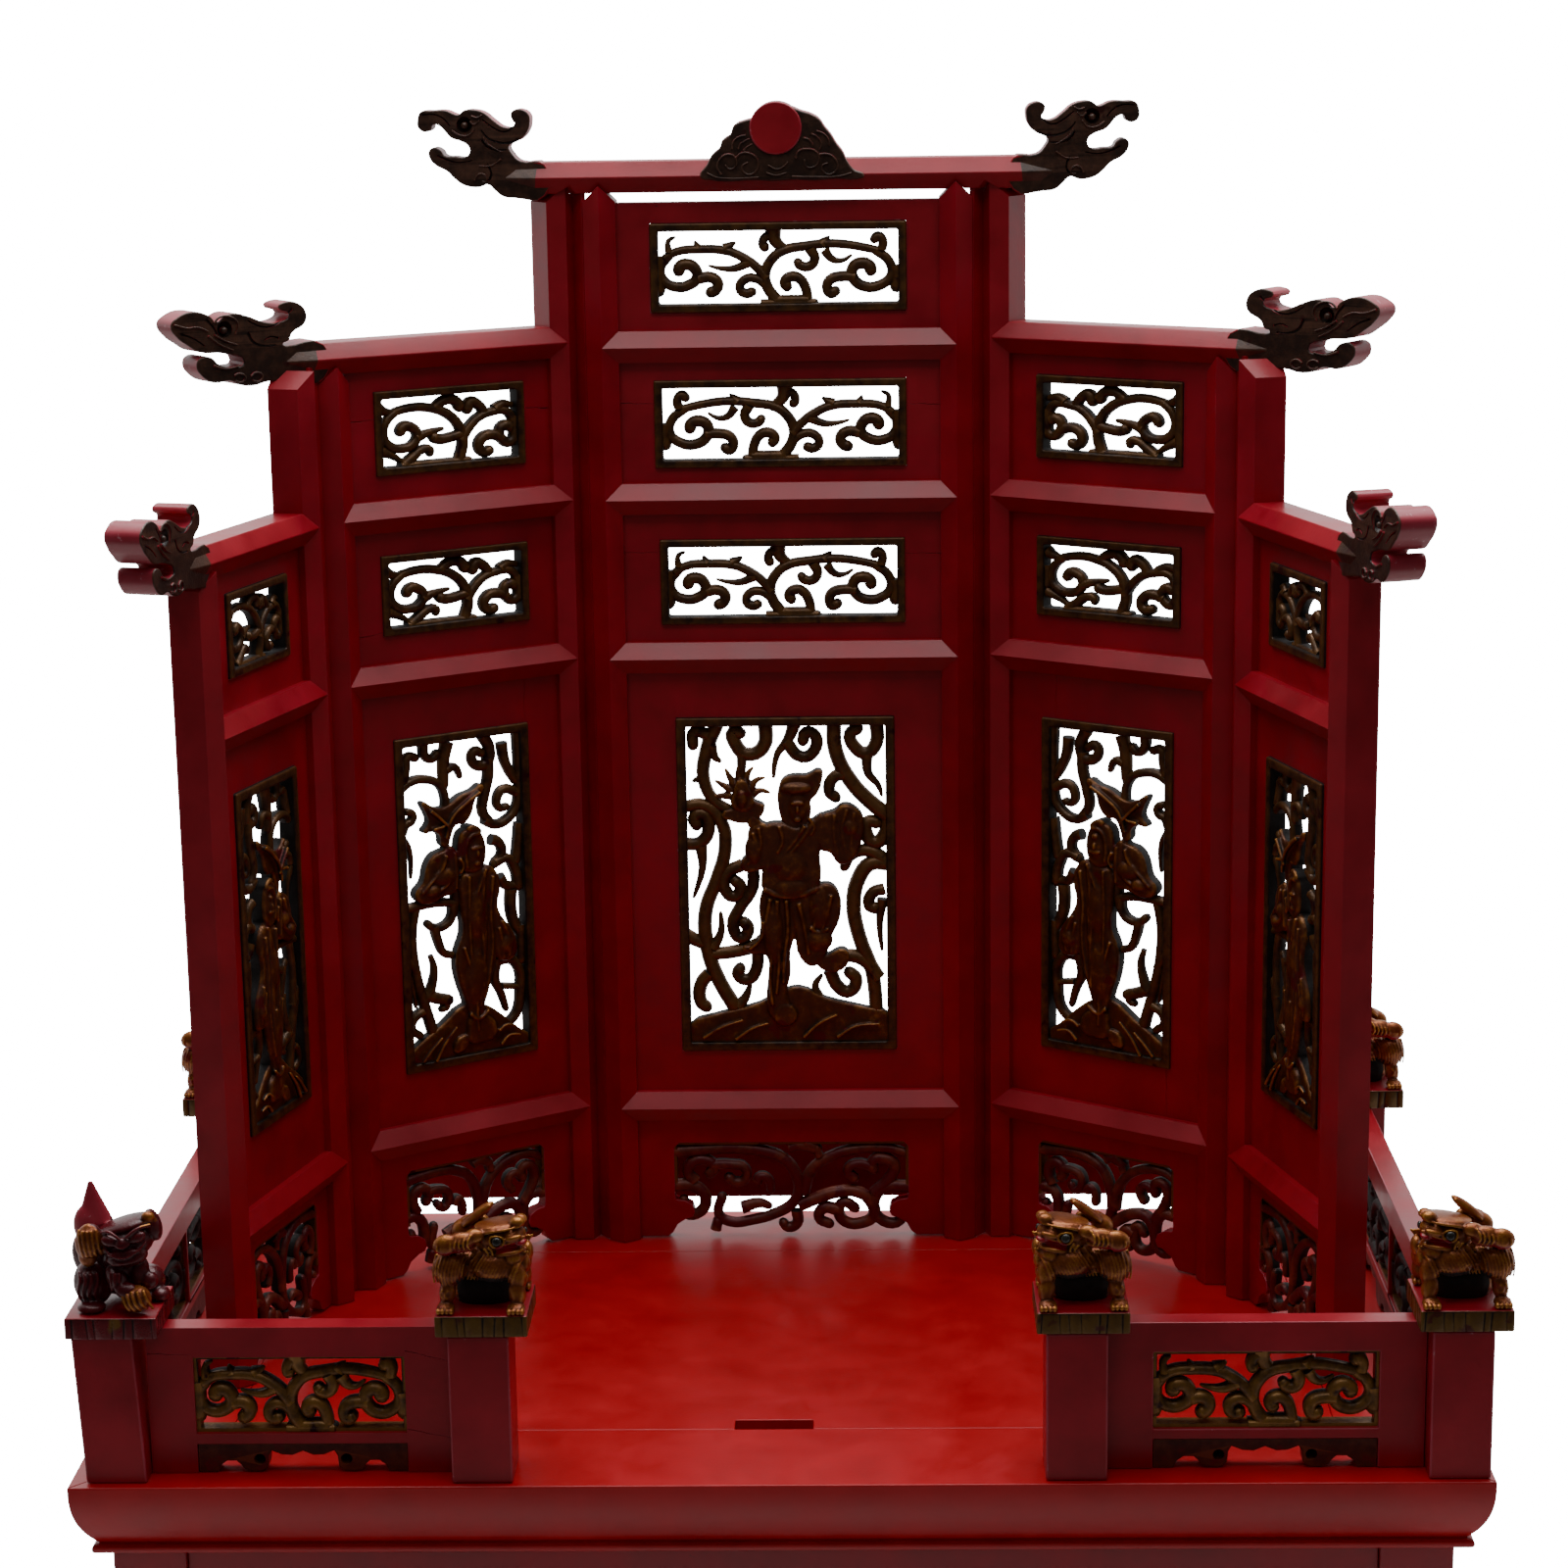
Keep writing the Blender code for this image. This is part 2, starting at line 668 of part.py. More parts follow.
def crouching_lion(bm, seated):
    """A lion on all fours that looks towards +x, on a plinth 4.65 units wide."""
    lift = 0.35 if seated else 0.0
    add_ball(bm, (-0.1, 0.45, 2.35 + lift), (1.75, 1.6, 1.15))
    add_ball(bm, (0.25, -0.95, 2.2 + lift), (1.55, 0.85, 1.0))
    for side in (-1, 1):
        add_cone(bm, (1.75 * side, -1.55, 0.0), (1.55 * side, -1.15, 2.3), 0.42, 0.6)
        add_ball(bm, (1.75 * side, -1.65, 0.3), (0.5, 0.55, 0.42))
        add_ball(bm, (1.55 * side, 1.0, 1.5), (0.7, 0.95, 1.35))
        add_ball(bm, (1.75 * side, 0.9, 0.3), (0.5, 0.8, 0.42))
    add_ball(bm, (1.0, -1.15, 3.75 + lift), (1.25, 0.85, 0.78), -0.1)
    add_ball(bm, (1.75, -1.2, 4.05 + lift), (0.55, 0.6, 0.62))
    add_cone(bm, (0.3, -1.1, 3.75 + lift), (-1.95, -0.9, 3.3 + lift), 0.5, 0.42)
    add_cone(bm, (0.15, -0.2, 3.7 + lift), (-0.55, 0.5, 4.75), 0.5, 0.16)
    if seated:
        add_cone(bm, (-1.3, 0.6, 2.6), (-1.8, 0.9, 4.7), 0.9, 0.12)
        add_ball(bm, (0.6, -1.75, 0.5), (0.55, 0.5, 0.55))


def add_lion(name, x, y, looks_right, seated, material):
    bm = bmesh.new()
    crouching_lion(bm, seated)
    size = Matrix.Scale(PLINTH_WIDTH / 4.65, 4)
    bmesh.ops.transform(bm, matrix=size, verts=bm.verts)
    if not looks_right:
        bmesh.ops.transform(bm, matrix=Matrix.Diagonal((-1, 1, 1, 1)), verts=bm.verts)
        bmesh.ops.reverse_faces(bm, faces=bm.faces)
    mesh = bpy.data.meshes.new("lion_" + name)
    bm.to_mesh(mesh)
    bm.free()
    mesh.materials.append(bpy.data.materials[material])
    obj = bpy.data.objects.new("lion_" + name, mesh)
    bpy.context.scene.collection.objects.link(obj)
    obj.location = (x, FRONT_Y + y, TOP_Z + POST_HEIGHT + GAP + PLINTH_HEIGHT)
    remesh = obj.modifiers.new("Remesh", "REMESH")
    remesh.mode = "VOXEL"
    remesh.voxel_size = 0.0016
    decimate = obj.modifiers.new("Decimate", "DECIMATE")
    decimate.ratio = LION_RATIO
    half = PLINTH_WIDTH / 2
    plinth = add_box("plinth_" + name, (-half, -half, -PLINTH_HEIGHT), (half, half, 0.0),
                     material, obj.location)
    boolean(obj, "UNION", plinth)


LION_RATIO = 0.012
LION_FRONT_Y = POST_FRONT + POST_WIDTH / 2 + PLINTH_BACK
LION_REAR_Y = REAR_POST_Y - PLINTH_BACK / 2
LION_CORNER_X = PLINTH_OUTER_X - PLINTH_WIDTH / 2
LIONS = (
    ("gate_left", -GATE_POST_X + PLINTH_SHIFT, LION_FRONT_Y, True, False, "lion_gilding"),
    ("gate_right", GATE_POST_X + PLINTH_SHIFT * 1.75, LION_FRONT_Y, False, False, "lion_gilding"),
    ("front_left", -CORNER_POST_X + CORNER_SHIFT + PLINTH_SHIFT, LION_FRONT_Y, True, True,
     "dark_red_lacquer"),
    ("front_right", LION_CORNER_X, LION_FRONT_Y, False, False, "lion_gilding"),
    ("rear_left", -LION_CORNER_X, LION_REAR_Y, True, False, "lion_gilding"),
    ("rear_right", LION_CORNER_X, LION_REAR_Y, False, False, "lion_gilding"),
)


# Scrollwork, in half widths and half heights of its window

MAIN_STEM = [(-0.06, -1.05), (0.1, 0.4), (0.6, 0.58), (0.93, -0.05), (0.8, -0.7),
             (0.58, -0.45), (0.7, -0.05)]
TAIL = [(0.62, -0.5), (0.42, -1.05)]
CORNER = [(0.76, 1.05), (0.66, 0.5)]


def scroll(x, z, half_x, half_z, swap):
    """Two mirrored stems that rise from the middle and curl back under themselves."""
    shapes = []
    for side in (-1, 1):
        def spot(point):
            px = side * point[0] * half_x * (-1 if swap else 1)
            return x + px, z + point[1] * half_z

        def line(points, start, end):
            shapes.append(stem([spot(p) for p in points], start, end))

        line(MAIN_STEM, STEM_HALF * 1.1, STEM_HALF * 0.9)
        line(TAIL, STEM_HALF, STEM_HALF * 0.9)
        line(CORNER, STEM_HALF, STEM_HALF)
    return shapes


def window(x0, x1, z0, z1, board):
    """Board round a pierced window with a raised bead; returns shapes and their rise."""
    bx0, bx1, bz0, bz1 = board
    rings = ((bx0, bx1, bz0, bz1), (x0, x1, z0, z1),
             (x0 + BEAD_WIDTH, x1 - BEAD_WIDTH, z0 + BEAD_WIDTH, z1 - BEAD_WIDTH))
    corners = [[(a, c), (b, c), (b, d), (a, d)] for a, b, c, d in rings]
    loops = []
    for outer, inner in zip(corners, corners[1:]):
        for i in range(4):
            j = (i + 1) % 4
            loops.append([outer[i], outer[j], inner[j], inner[i]])
    middle_x, middle_z = (x0 + x1) / 2, (z0 + z1) / 2
    half_x, half_z = (x1 - x0) / 2 - BEAD_WIDTH, (z1 - z0) / 2 - BEAD_WIDTH

    def rise(x, z):
        away = max(abs(x - middle_x) - half_x, abs(z - middle_z) - half_z)
        if away < -1e-5:
            return 0.0
        return BEAD_RISE * max(0.0, 1 - max(away, 0.0) / BEAD_WIDTH)

    shape = {"loops": loops, "lines": [], "rise": rise, "inside": None}
    return shape, (middle_x, middle_z, half_x, half_z)


# Figures: limbs as (ax, az, bx, bz, start radius, end radius), in half heights

STRIDING = (
    (0.03, 0.26, 0.0, -0.02, 0.16, 0.17),
    (-0.07, -0.08, -0.09, -0.76, 0.13, 0.09),
    (0.08, -0.06, 0.27, -0.05, 0.12, 0.1),
    (0.27, -0.06, 0.18, -0.44, 0.1, 0.09),
    (0.2, -0.44, 0.36, -0.43, 0.07, 0.05),
    (-0.1, 0.34, -0.24, 0.2, 0.08, 0.07),
    (-0.25, 0.2, -0.28, 0.46, 0.06, 0.06),
    (-0.29, 0.5, -0.28, 0.7, 0.11, 0.05),
    (0.16, 0.36, 0.36, 0.38, 0.08, 0.08),
    (0.41, 0.48, 0.34, 0.22, 0.08, 0.08),
    (0.04, 0.46, 0.08, 0.68, 0.09, 0.1),
)
STANDING = (
    (0.0, 0.3, 0.0, -0.1, 0.15, 0.2),
    (0.0, -0.1, 0.0, -0.76, 0.22, 0.2),
    (-0.14, 0.34, -0.28, 0.1, 0.08, 0.09),
    (-0.28, 0.1, -0.22, -0.24, 0.09, 0.06),
    (0.14, 0.34, 0.26, 0.1, 0.08, 0.09),
    (0.0, 0.44, -0.01, 0.66, 0.09, 0.07),
)
VINES = (
    ((-1.08, 0.5), (-0.66, 0.36), (-0.85, -0.25), (-0.6, -0.78)),
    ((0.55, 1.06), (0.56, 0.74), (1.08, 0.4)),
    ((1.08, 0.1), (0.66, -0.1), (0.9, -0.8)),
    ((-0.62, 1.06), (-0.76, 0.7), (-0.66, 0.36)),
    ((0.0, 1.06), (0.02, 0.66)),
)
TIES = (((-0.84, -0.25), (-0.1, -0.3)),)


def figure(area, limbs, side):
    """A robed figure on a mound, tied to its border by vines."""
    x, z, half_x, half_z = area
    reach = min(half_z, half_x / 0.5)
    shapes = []
    mound = [(-half_x - 0.001, z - half_z - 0.001), (half_x + 0.001, z - half_z - 0.001)]
    for i in range(5):
        t = 1 - i / 2
        mound.append((t * (half_x + 0.001), z - half_z * (0.78 + 0.16 * t * t)))
    shapes.append(plate([(x + px, pz) for px, pz in mound], CARVING_RISE))
    for i, (ax, az, bx, bz, start, end) in enumerate(limbs):
        rise = FIGURE_RISE if i < DOMED_LIMBS else 0.0
        shapes.append(limb(x + side * ax * reach, z + az * half_z, x + side * bx * reach,
                           z + bz * half_z, start * reach, end * reach, rise))
    for vine in VINES + TIES:
        points = [(x + side * px * half_x, z + pz * half_z) for px, pz in vine]
        shapes.append(stem(points, STEM_HALF, STEM_HALF))
    return shapes


# Screen


def frame_cells(leaf, side):
    """Corners and cells of the stiles and rails; side is +1 where outwards is +x."""
    half = leaf["half"]
    flat, heights, known = [], [], {}

    def corner(x, z, height):
        key = (round(x, 6), round(z, 6))
        if key not in known:
            known[key] = len(flat)
            flat.append((x, z))
            heights.append(height)
        return known[key]

    cells = []
    for sign in (-1, 1):
        outwards = sign == side
        tip = leaf["tips"][1 if outwards else 0]
        stops = list(leaf["rails"])
        if "dragon" in leaf and not outwards:
            stops.append(leaf["dragon"])
        ridge, outer = sign * half, sign * (half + STILE_HALF)
        inner = sign * (half - STILE_HALF)
        path = [(outer, STILE_FOOT, 0.0)]
        path += [(ridge, z, RIDGE) for z in [STILE_FOOT] + stops + [tip]]
        path.append((outer, tip - STILE_HALF, 0.0))
        cells.append(tuple(corner(*p) for p in path))
        lows = [STILE_FOOT] + [z + RAIL_HALF for z in stops]
        highs = [z - RAIL_HALF for z in stops] + [tip - STILE_HALF]
        starts = [STILE_FOOT] + stops
        ends = stops + [tip]
        for low, high, start, end in zip(lows, highs, starts, ends):
            bay = [(ridge, start, RIDGE), (inner, low, 0.0), (inner, high, 0.0), (ridge, end, RIDGE)]
            cells.append(tuple(corner(*p) for p in bay))
    inner = half - STILE_HALF
    for z in leaf["rails"]:
        for way in (-1, 1):
            edge = z + way * RAIL_HALF
            bevel = [(-half, z, RIDGE), (-inner, edge, 0.0), (inner, edge, 0.0), (half, z, RIDGE)]
            cells.append(tuple(corner(*p) for p in bevel))
    return flat, heights, cells


def leaf_place(leaf, side):
    x, y = leaf["at"]
    return (side * x, FRONT_Y + y, TOP_Z), -side * leaf["turn"]


def add_frame(name, leaf, side):
    flat, heights, cells = frame_cells(leaf, side)
    at, turn = leaf_place(leaf, side)
    frame = extrude(name, flat, heights, cells, "red_lacquer", RIDGE, FRAME_DEPTH - RIDGE, at, turn)
    for sign, label in ((-1, "a"), (1, "b")):
        x = sign * leaf["half"]
        low = (x - TENON_HALF, TENON_FRONT, -TENON_DEPTH)
        high = (x + TENON_HALF, TENON_BACK, STILE_FOOT * 2)
        boolean(frame, "UNION", add_box(name + "_tenon_" + label, low, high, None, at, turn))


def add_mortises():
    """Pockets in the platform's top that take the tenons of the stiles."""
    points, faces = [], []
    for leaf, ends in ((CENTRE_LEAF, (1,)), (MIDDLE_LEAF, (-1, 1)), (OUTER_LEAF, (-1, 1))):
        for side in (-1, 1):
            at, turn = leaf_place(leaf, side)
            spin = Matrix.Translation(at) @ Matrix.Rotation(math.radians(turn), 4, "Z")
            for end in ends:
                x = side * end * leaf["half"]
                low = (x - TENON_HALF - GAP, TENON_FRONT - GAP, -TENON_DEPTH - GAP)
                high = (x + TENON_HALF + GAP, TENON_BACK + GAP, STILE_FOOT)
                faces += [tuple(i + len(points) for i in face) for face in BOX_FACES]
                points += [spin @ Vector(corner) for corner in box_points(low, high)]
    cutter = add_object("mortises", points, faces, None)
    for name in ("panel", "rear", "left", "right"):
        boolean(bpy.data.objects["platform_" + name], "DIFFERENCE", cutter)


# Outline of a dragon's head from the neck outwards, where the rail is 1.8 units high
HEAD = [(0.0, 0.9), (1.6, 0.95), (1.3, 1.5), (0.57, 2.1), (0.52, 2.75), (1.0, 3.2), (1.85, 3.05),
        (1.35, 2.5), (2.3, 2.25), (4.06, 2.83), (4.81, 2.43), (5.94, 3.04), (6.95, 2.6),
        (6.6, 1.5), (5.7, 0.87), (4.5, 0.68), (3.55, 0.09), (4.6, 0.0), (5.25, 0.56), (5.9, 0.1),
        (5.3, -0.75), (3.3, -1.13), (1.2, -1.13), (0.0, -0.9)]
HEAD_FACE = 0.0035


def dragon_shapes(spans, ridge):
    """Rail cells and head cells for a dragon rail, in one set of corners."""
    flat, heights, known = [], [], {}

    def corner(x, z, height):
        key = (round(x, 6), round(z, 6))
        if key not in known:
            known[key] = len(flat)
            flat.append((x, z))
            heights.append(height)
        return known[key]

    cells = []
    (left, left_head), (right, right_head) = spans
    for way in (-1, 1):
        edge = ridge + way * RAIL_HALF
        ends = []
        for x, head, sign in ((left, left_head, 1), (right, right_head, -1)):
            inset = 0.0 if head else STILE_HALF
            ends.append((corner(x + sign * inset, edge, 0.0), corner(x, ridge, RIDGE)))
        cells.append((ends[0][1], ends[0][0], ends[1][0], ends[1][1]))
    for x, head, sign in ((left, left_head, -1), (right, right_head, 1)):
        if not head:
            continue
        length, lift = head
        unit = RAIL_HALF / 0.9
        loop = []
        for px, pz in HEAD:
            rise = pz * unit + (lift * px / 7.0 if px else 0.0)
            loop.append((x + sign * px * unit * length, ridge + rise))
        ordered = loop if signed_area(loop) > 0 else loop[::-1]
        ordered = ordered + [(x, ridge)] if sign > 0 else ordered + [(x, ridge)]
        if not simple_order(ordered, x, ridge):
            ordered = insert_ridge(loop, x, ridge, sign)
        found = delaunay_2d_cdt([Vector((a * 1000, b * 1000)) for a, b in ordered], [],
                                [list(range(len(ordered)))], 0, 0.001, True)
        points = [(v.x / 1000, v.y / 1000) for v in found[0]]
        for face, origin in zip(found[2], found[5]):
            if origin:
                names = []
                for k in face:
                    px, pz = points[k]
                    close = [i for i, p in enumerate(ordered) if math.dist(p, (px, pz)) < 2e-6]
                    px, pz = ordered[close[0]] if close else (px, pz)
                    if abs(px - x) < 1e-6:
                        names.append(corner(px, pz, RIDGE if abs(pz - ridge) < 1e-6 else 0.0))
                    else:
                        names.append(corner(px, pz, HEAD_FACE))
                cells.append(tuple(names))
    return flat, heights, cells


def simple_order(loop, x, ridge):
    """True where the ridge point lies between the loop's two ends at the rail."""
    before, after = loop[-2], loop[0]
    return abs(before[0] - x) < 1e-6 and abs(after[0] - x) < 1e-6


def insert_ridge(loop, x, ridge, sign):
    ordered = loop + [(x, ridge)]
    return ordered if signed_area(ordered) > 0 else ordered[::-1]


def cut_tip(rail, name, leaf, side, outer):
    """A notch in a dragon rail, over the pointed top of a stile."""
    at, turn = leaf_place(leaf, side)
    tip = leaf["tips"][1 if outer else 0] + GAP * 1.5
    x = side * leaf["half"] * (1 if outer else -1)
    drop = NOTCH_DROP
    rings = []
    for y in (-RIDGE, FRAME_DEPTH + GAP):
        rings.append([(x - drop, y, tip - drop), (x + drop, y, tip - drop), (x, y, tip)])
    points, faces = loft(rings)
    boolean(rail, "DIFFERENCE", add_object(name, points, faces, None, at, turn))


def add_dragon(name, leaf, side, spans, ridge):
    flat, heights, cells = dragon_shapes(spans, ridge)
    at, turn = leaf_place(leaf, side)
    return extrude(name, flat, heights, cells, "dragon_gilding", RIDGE, FRAME_DEPTH - RIDGE, at, turn)


def window_of(leaf, low, high, margins):
    """A board between two rails and its window: shapes and the area inside the bead."""
    half = leaf["half"] - STILE_HALF - GAP
    side, below, above = margins
    board = (-half, half, low, high)
    return window(side - half, half - side, low + below, high - above, board)


def add_scroll_panel(name, leaf, side, low, high, margins, swap=False):
    shape, area = window_of(leaf, low, high, margins)
    add_board(name, leaf, side, [shape] + scroll(*area, swap))


def add_figure_panel(name, leaf, side, margins, limbs, mirror):
    gap = RAIL_HALF + GAP
    shape, area = window_of(leaf, BOTTOM_RAIL + gap, LOW_RAIL - gap, margins)
    add_board(name, leaf, side, [shape] + figure(area, limbs, mirror))


def add_board(name, leaf, side, shapes):
    at, turn = leaf_place(leaf, side)
    carve(name, shapes, "carved_board", BOARD_FRONT, BOARD_DEPTH, at, turn)


APRON_STEMS = (
    ((-1.05, 0.84), (-0.4, 0.92), (0.0, 0.5), (-0.15, 0.08), (-0.6, 0.12), (-0.62, 0.45)),
    ((1.05, 0.84), (0.4, 0.9), (0.0, 0.5)),
    ((0.0, 0.28), (0.5, 0.4), (0.45, 0.1)),
    ((-0.7, 0.5), (0.0, 0.56)),
    ((0.6, 0.3), (0.6, 0.62), (0.0, 0.56)),
)


def add_apron(name, leaf, side, margins):
    """Lowest board of a leaf: an open arch between two legs, filled with stems."""
    half = leaf["half"] - STILE_HALF - GAP
    half_window = half - margins[0]
    high = BOTTOM_RAIL - RAIL_HALF - GAP
    top = high - margins[1]
    foot = APRON_FOOT
    step = foot + APRON_STEP
    shapes = [rectangle(-half, half, top, high)]
    for sign in (-1, 1):
        leg = [(half, foot), (half, top), (half_window, top), (half_window, APRON_SHOULDER)]
        leg += [(half_window - APRON_STEP, APRON_SHOULDER * 0.9)]
        leg += [(half_window - APRON_STEP * 0.75, step * 1.2), (half_window, step * 0.8)]
        leg += [(half_window + APRON_STEP * 0.4, foot)]
        shapes.append(plate([(sign * px, pz) for px, pz in leg]))
    height = top - foot
    for points in APRON_STEMS:
        line = [(px * half_window, foot + STEM_HALF + pz * height) for px, pz in points]
        shapes.append(stem(line, STEM_HALF * 1.6, STEM_HALF * 1.2))
    for sign in (-1, 1):
        line = [(sign * (half_window + STEM_HALF), APRON_SHOULDER)]
        line.append((sign * half_window * 0.6, APRON_SHOULDER * 1.15))
        shapes.append(stem(line, STEM_HALF, STEM_HALF))
    add_board(name, leaf, side, shapes)


def add_centre_leaf():
    leaf = CENTRE_LEAF
    gap = RAIL_HALF + GAP
    add_frame("frame_centre", leaf, 1)
    head = (0.96, RAIL_HALF * 0.67)
    neck = CENTRE_HALF + CENTRE_NECK
    spans = ((CENTRE_NECK_SHIFT - neck, head), (neck + CENTRE_NECK_SHIFT, head))
    rail = add_dragon("dragon_centre", leaf, 1, spans, CENTRE_DRAGON)
    cut_tip(rail, "tip_a", leaf, 1, True)
    cut_tip(rail, "tip_b", leaf, -1, True)
    cut_tip(rail, "tip_c", MIDDLE_LEAF, 1, False)
    cut_tip(rail, "tip_d", MIDDLE_LEAF, -1, False)
    add_scroll_panel("scroll_centre_1", leaf, 1, TOP_RAIL + gap, FREE_BOARD_TOP, SCROLL_1)
    add_scroll_panel("scroll_centre_2", leaf, 1, HIGH_RAIL + gap, TOP_RAIL - gap, SCROLL_2, True)
    add_scroll_panel("scroll_centre_3", leaf, 1, LOW_RAIL + gap, HIGH_RAIL - gap, SCROLL_3)
    add_figure_panel("figure_centre", leaf, 1, CENTRE_FIGURE, STRIDING, 1)
    add_apron("apron_centre", leaf, 1, CENTRE_APRON)


def rail_spans(leaf, neck, head, side):
    """A rail mitred into the inner stile, with a head past the outer one."""
    start, end = -leaf["half"] + GAP * 1.5, leaf["half"] + neck
    if side < 0:
        return ((-end, head), (-start, None))
    return ((start, None), (end, head))


def add_side_leaves():
    gap = RAIL_HALF + GAP
    for label, side in (("left", -1), ("right", 1)):
        leaf = MIDDLE_LEAF
        add_frame("frame_middle_" + label, leaf, side)
        spans = rail_spans(leaf, MIDDLE_NECK, (1.22, 0.0), side)
        rail = add_dragon("dragon_middle_" + label, leaf, side, spans, MIDDLE_DRAGON)
        cut_tip(rail, "tip_e_" + label, leaf, side, True)
        cut_tip(rail, "tip_f_" + label, OUTER_LEAF, side, False)
        add_scroll_panel("scroll_middle_%s_1" % label, leaf, side, HIGH_RAIL + gap,
                         MIDDLE_DRAGON - gap, MIDDLE_SCROLL_1)
        add_scroll_panel("scroll_middle_%s_2" % label, leaf, side, LOW_RAIL + gap,
                         HIGH_RAIL - gap, MIDDLE_SCROLL_2, side > 0)
        add_figure_panel("figure_middle_" + label, leaf, side, MIDDLE_FIGURE, STANDING, side)
        add_apron("apron_middle_" + label, leaf, side, MIDDLE_APRON)
        leaf = OUTER_LEAF
        add_frame("frame_outer_" + label, leaf, side)
        spans = rail_spans(leaf, OUTER_NECK, (1.0, 0.0), side)
        rail = add_dragon("dragon_outer_" + label, leaf, side, spans, HIGH_RAIL)
        cut_tip(rail, "tip_g_" + label, leaf, side, True)
        add_scroll_panel("scroll_outer_" + label, leaf, side, LOW_RAIL + gap,
                         HIGH_RAIL - gap, OUTER_SCROLL)
        add_figure_panel("figure_outer_" + label, leaf, side, OUTER_FIGURE, STANDING, -side)
        add_apron("apron_outer_" + label, leaf, side, OUTER_APRON)


# Crest puffs: middle and radius, from the rail's ridge, where the rail is 1.8 units high
PUFFS = ((-3.2, 0.5, 0.8), (-2.0, 1.0, 1.0), (-0.6, 1.3, 1.1), (1.0, 1.3, 1.1),
         (2.5, 1.0, 1.0), (4.0, 0.5, 0.9))


def add_crest():
    """Cloud mound with a sun disc, its lip hanging over the rail's front bevel."""
    unit = RAIL_HALF / 0.9
    ridge = CENTRE_DRAGON
    shapes = [disc(x * unit, ridge + z * unit, r * unit, 0.0, 8) for x, z, r in PUFFS]
    shapes.append(rectangle(-4.0 * unit, 4.9 * unit, ridge - 0.18 * unit, ridge + 0.8 * unit))
    shapes.append(disc(0.18 * unit, ridge + 2.55 * unit, 1.5 * unit, 0.2 * unit, 14))
    at, turn = leaf_place(CENTRE_LEAF, 1)
    lip = RIDGE * 0.67
    crest = carve("crest", shapes, "dragon_gilding", -lip, FRAME_DEPTH - GAP, at, turn)
    seat = add_box("crest_seat", (-9 * unit, -GAP, ridge - 4 * unit),
                   (9 * unit, FRAME_DEPTH * 1.5, ridge + RAIL_HALF + GAP), None, at, turn)
    boolean(crest, "DIFFERENCE", seat)


def main():
    clear_scene()
    for name in COLOURS:
        make_material(name)
    add_platform()
    add_legs()
    add_friezes()
    add_posts()
    add_fences()
    for lion in LIONS:
        add_lion(*lion)
    add_mortises()
    add_centre_leaf()
    add_side_leaves()
    add_crest()


main()
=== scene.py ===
# %% [markdown]
# A lacquered household altar: a low platform on square feet, a short fence with a gate in front,
# and a five-leaf screen behind it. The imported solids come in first. They are the fixed frame that
# every new piece sits on, so each piece takes its place from the same sizes.

import math

import bpy
from mathutils import Matrix, Vector


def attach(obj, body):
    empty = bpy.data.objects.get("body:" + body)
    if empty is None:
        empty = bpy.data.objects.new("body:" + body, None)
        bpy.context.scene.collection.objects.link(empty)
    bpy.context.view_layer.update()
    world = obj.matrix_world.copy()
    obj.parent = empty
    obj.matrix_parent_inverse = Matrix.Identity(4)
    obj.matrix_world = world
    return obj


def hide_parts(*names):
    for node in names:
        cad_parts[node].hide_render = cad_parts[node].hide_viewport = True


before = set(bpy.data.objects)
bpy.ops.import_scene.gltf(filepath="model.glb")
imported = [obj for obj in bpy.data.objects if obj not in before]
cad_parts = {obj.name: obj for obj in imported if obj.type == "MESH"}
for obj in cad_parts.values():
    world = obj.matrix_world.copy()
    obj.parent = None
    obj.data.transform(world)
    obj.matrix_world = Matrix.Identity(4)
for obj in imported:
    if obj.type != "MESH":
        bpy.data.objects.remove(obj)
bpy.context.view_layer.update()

# %% [markdown]
# The sizes below are those of the real altar, in metres. Heights of the screen and the fence start
# at the platform's top, and depths start at its front edge. Each leaf of the screen is drawn flat,
# in its own x (along the leaf), y (backwards from its ridges) and z (upwards), and is then turned
# and set down once, because flat work is far easier to draw and to check.

# %% Sizes of the altar
TOP, FRONT = 0.125, -0.205
WIDTH, DEPTH = 0.72, 0.41
# Half widths of a stile and of a rail; depths of their bevelled edge and of their back
STILE, RAIL = 0.00925, 0.009
RIDGE, BACK = 0.006, 0.024
BOARD_FRONT, BOARD_BACK = 0.010, 0.019
# Heights of the rails, and of the dragon rails that crown the leaves
LOW, MID, HIGH, UPPER = 0.0845, 0.3575, 0.4505, 0.538
DRAGON = {"centre": 0.634, "middle": 0.541, "outer": 0.4505}


def ridge_at(inner, turn, half, share):
    """A point on a leaf that runs outwards and forwards from its inner ridge."""
    reach = 2 * half * share
    angle = math.radians(turn)
    return inner[0] + reach * math.cos(angle), inner[1] - reach * math.sin(angle)


MIDDLE_TURN, MIDDLE_HALF = 34.5, 0.07325
OUTER_TURN, OUTER_HALF = 74.0, 0.064
middle_inner = (0.120, 0.360)
middle_outer = ridge_at(middle_inner, MIDDLE_TURN, MIDDLE_HALF, 1)
outer_inner = (middle_outer[0] + 0.0103, middle_outer[1] - 0.018)
LEAVES = {
    "centre": {"at": (0.0, 0.353), "turn": 0.0, "half": 0.101, "rails": (LOW, MID, HIGH, UPPER)},
    "middle": {"at": ridge_at(middle_inner, MIDDLE_TURN, MIDDLE_HALF, 0.5), "turn": MIDDLE_TURN,
               "half": MIDDLE_HALF, "rails": (LOW, MID, HIGH)},
    "outer": {"at": ridge_at(outer_inner, OUTER_TURN, OUTER_HALF, 0.5), "turn": OUTER_TURN,
              "half": OUTER_HALF, "rails": (LOW, MID)},
}
SIDES = {"left": -1, "right": 1}
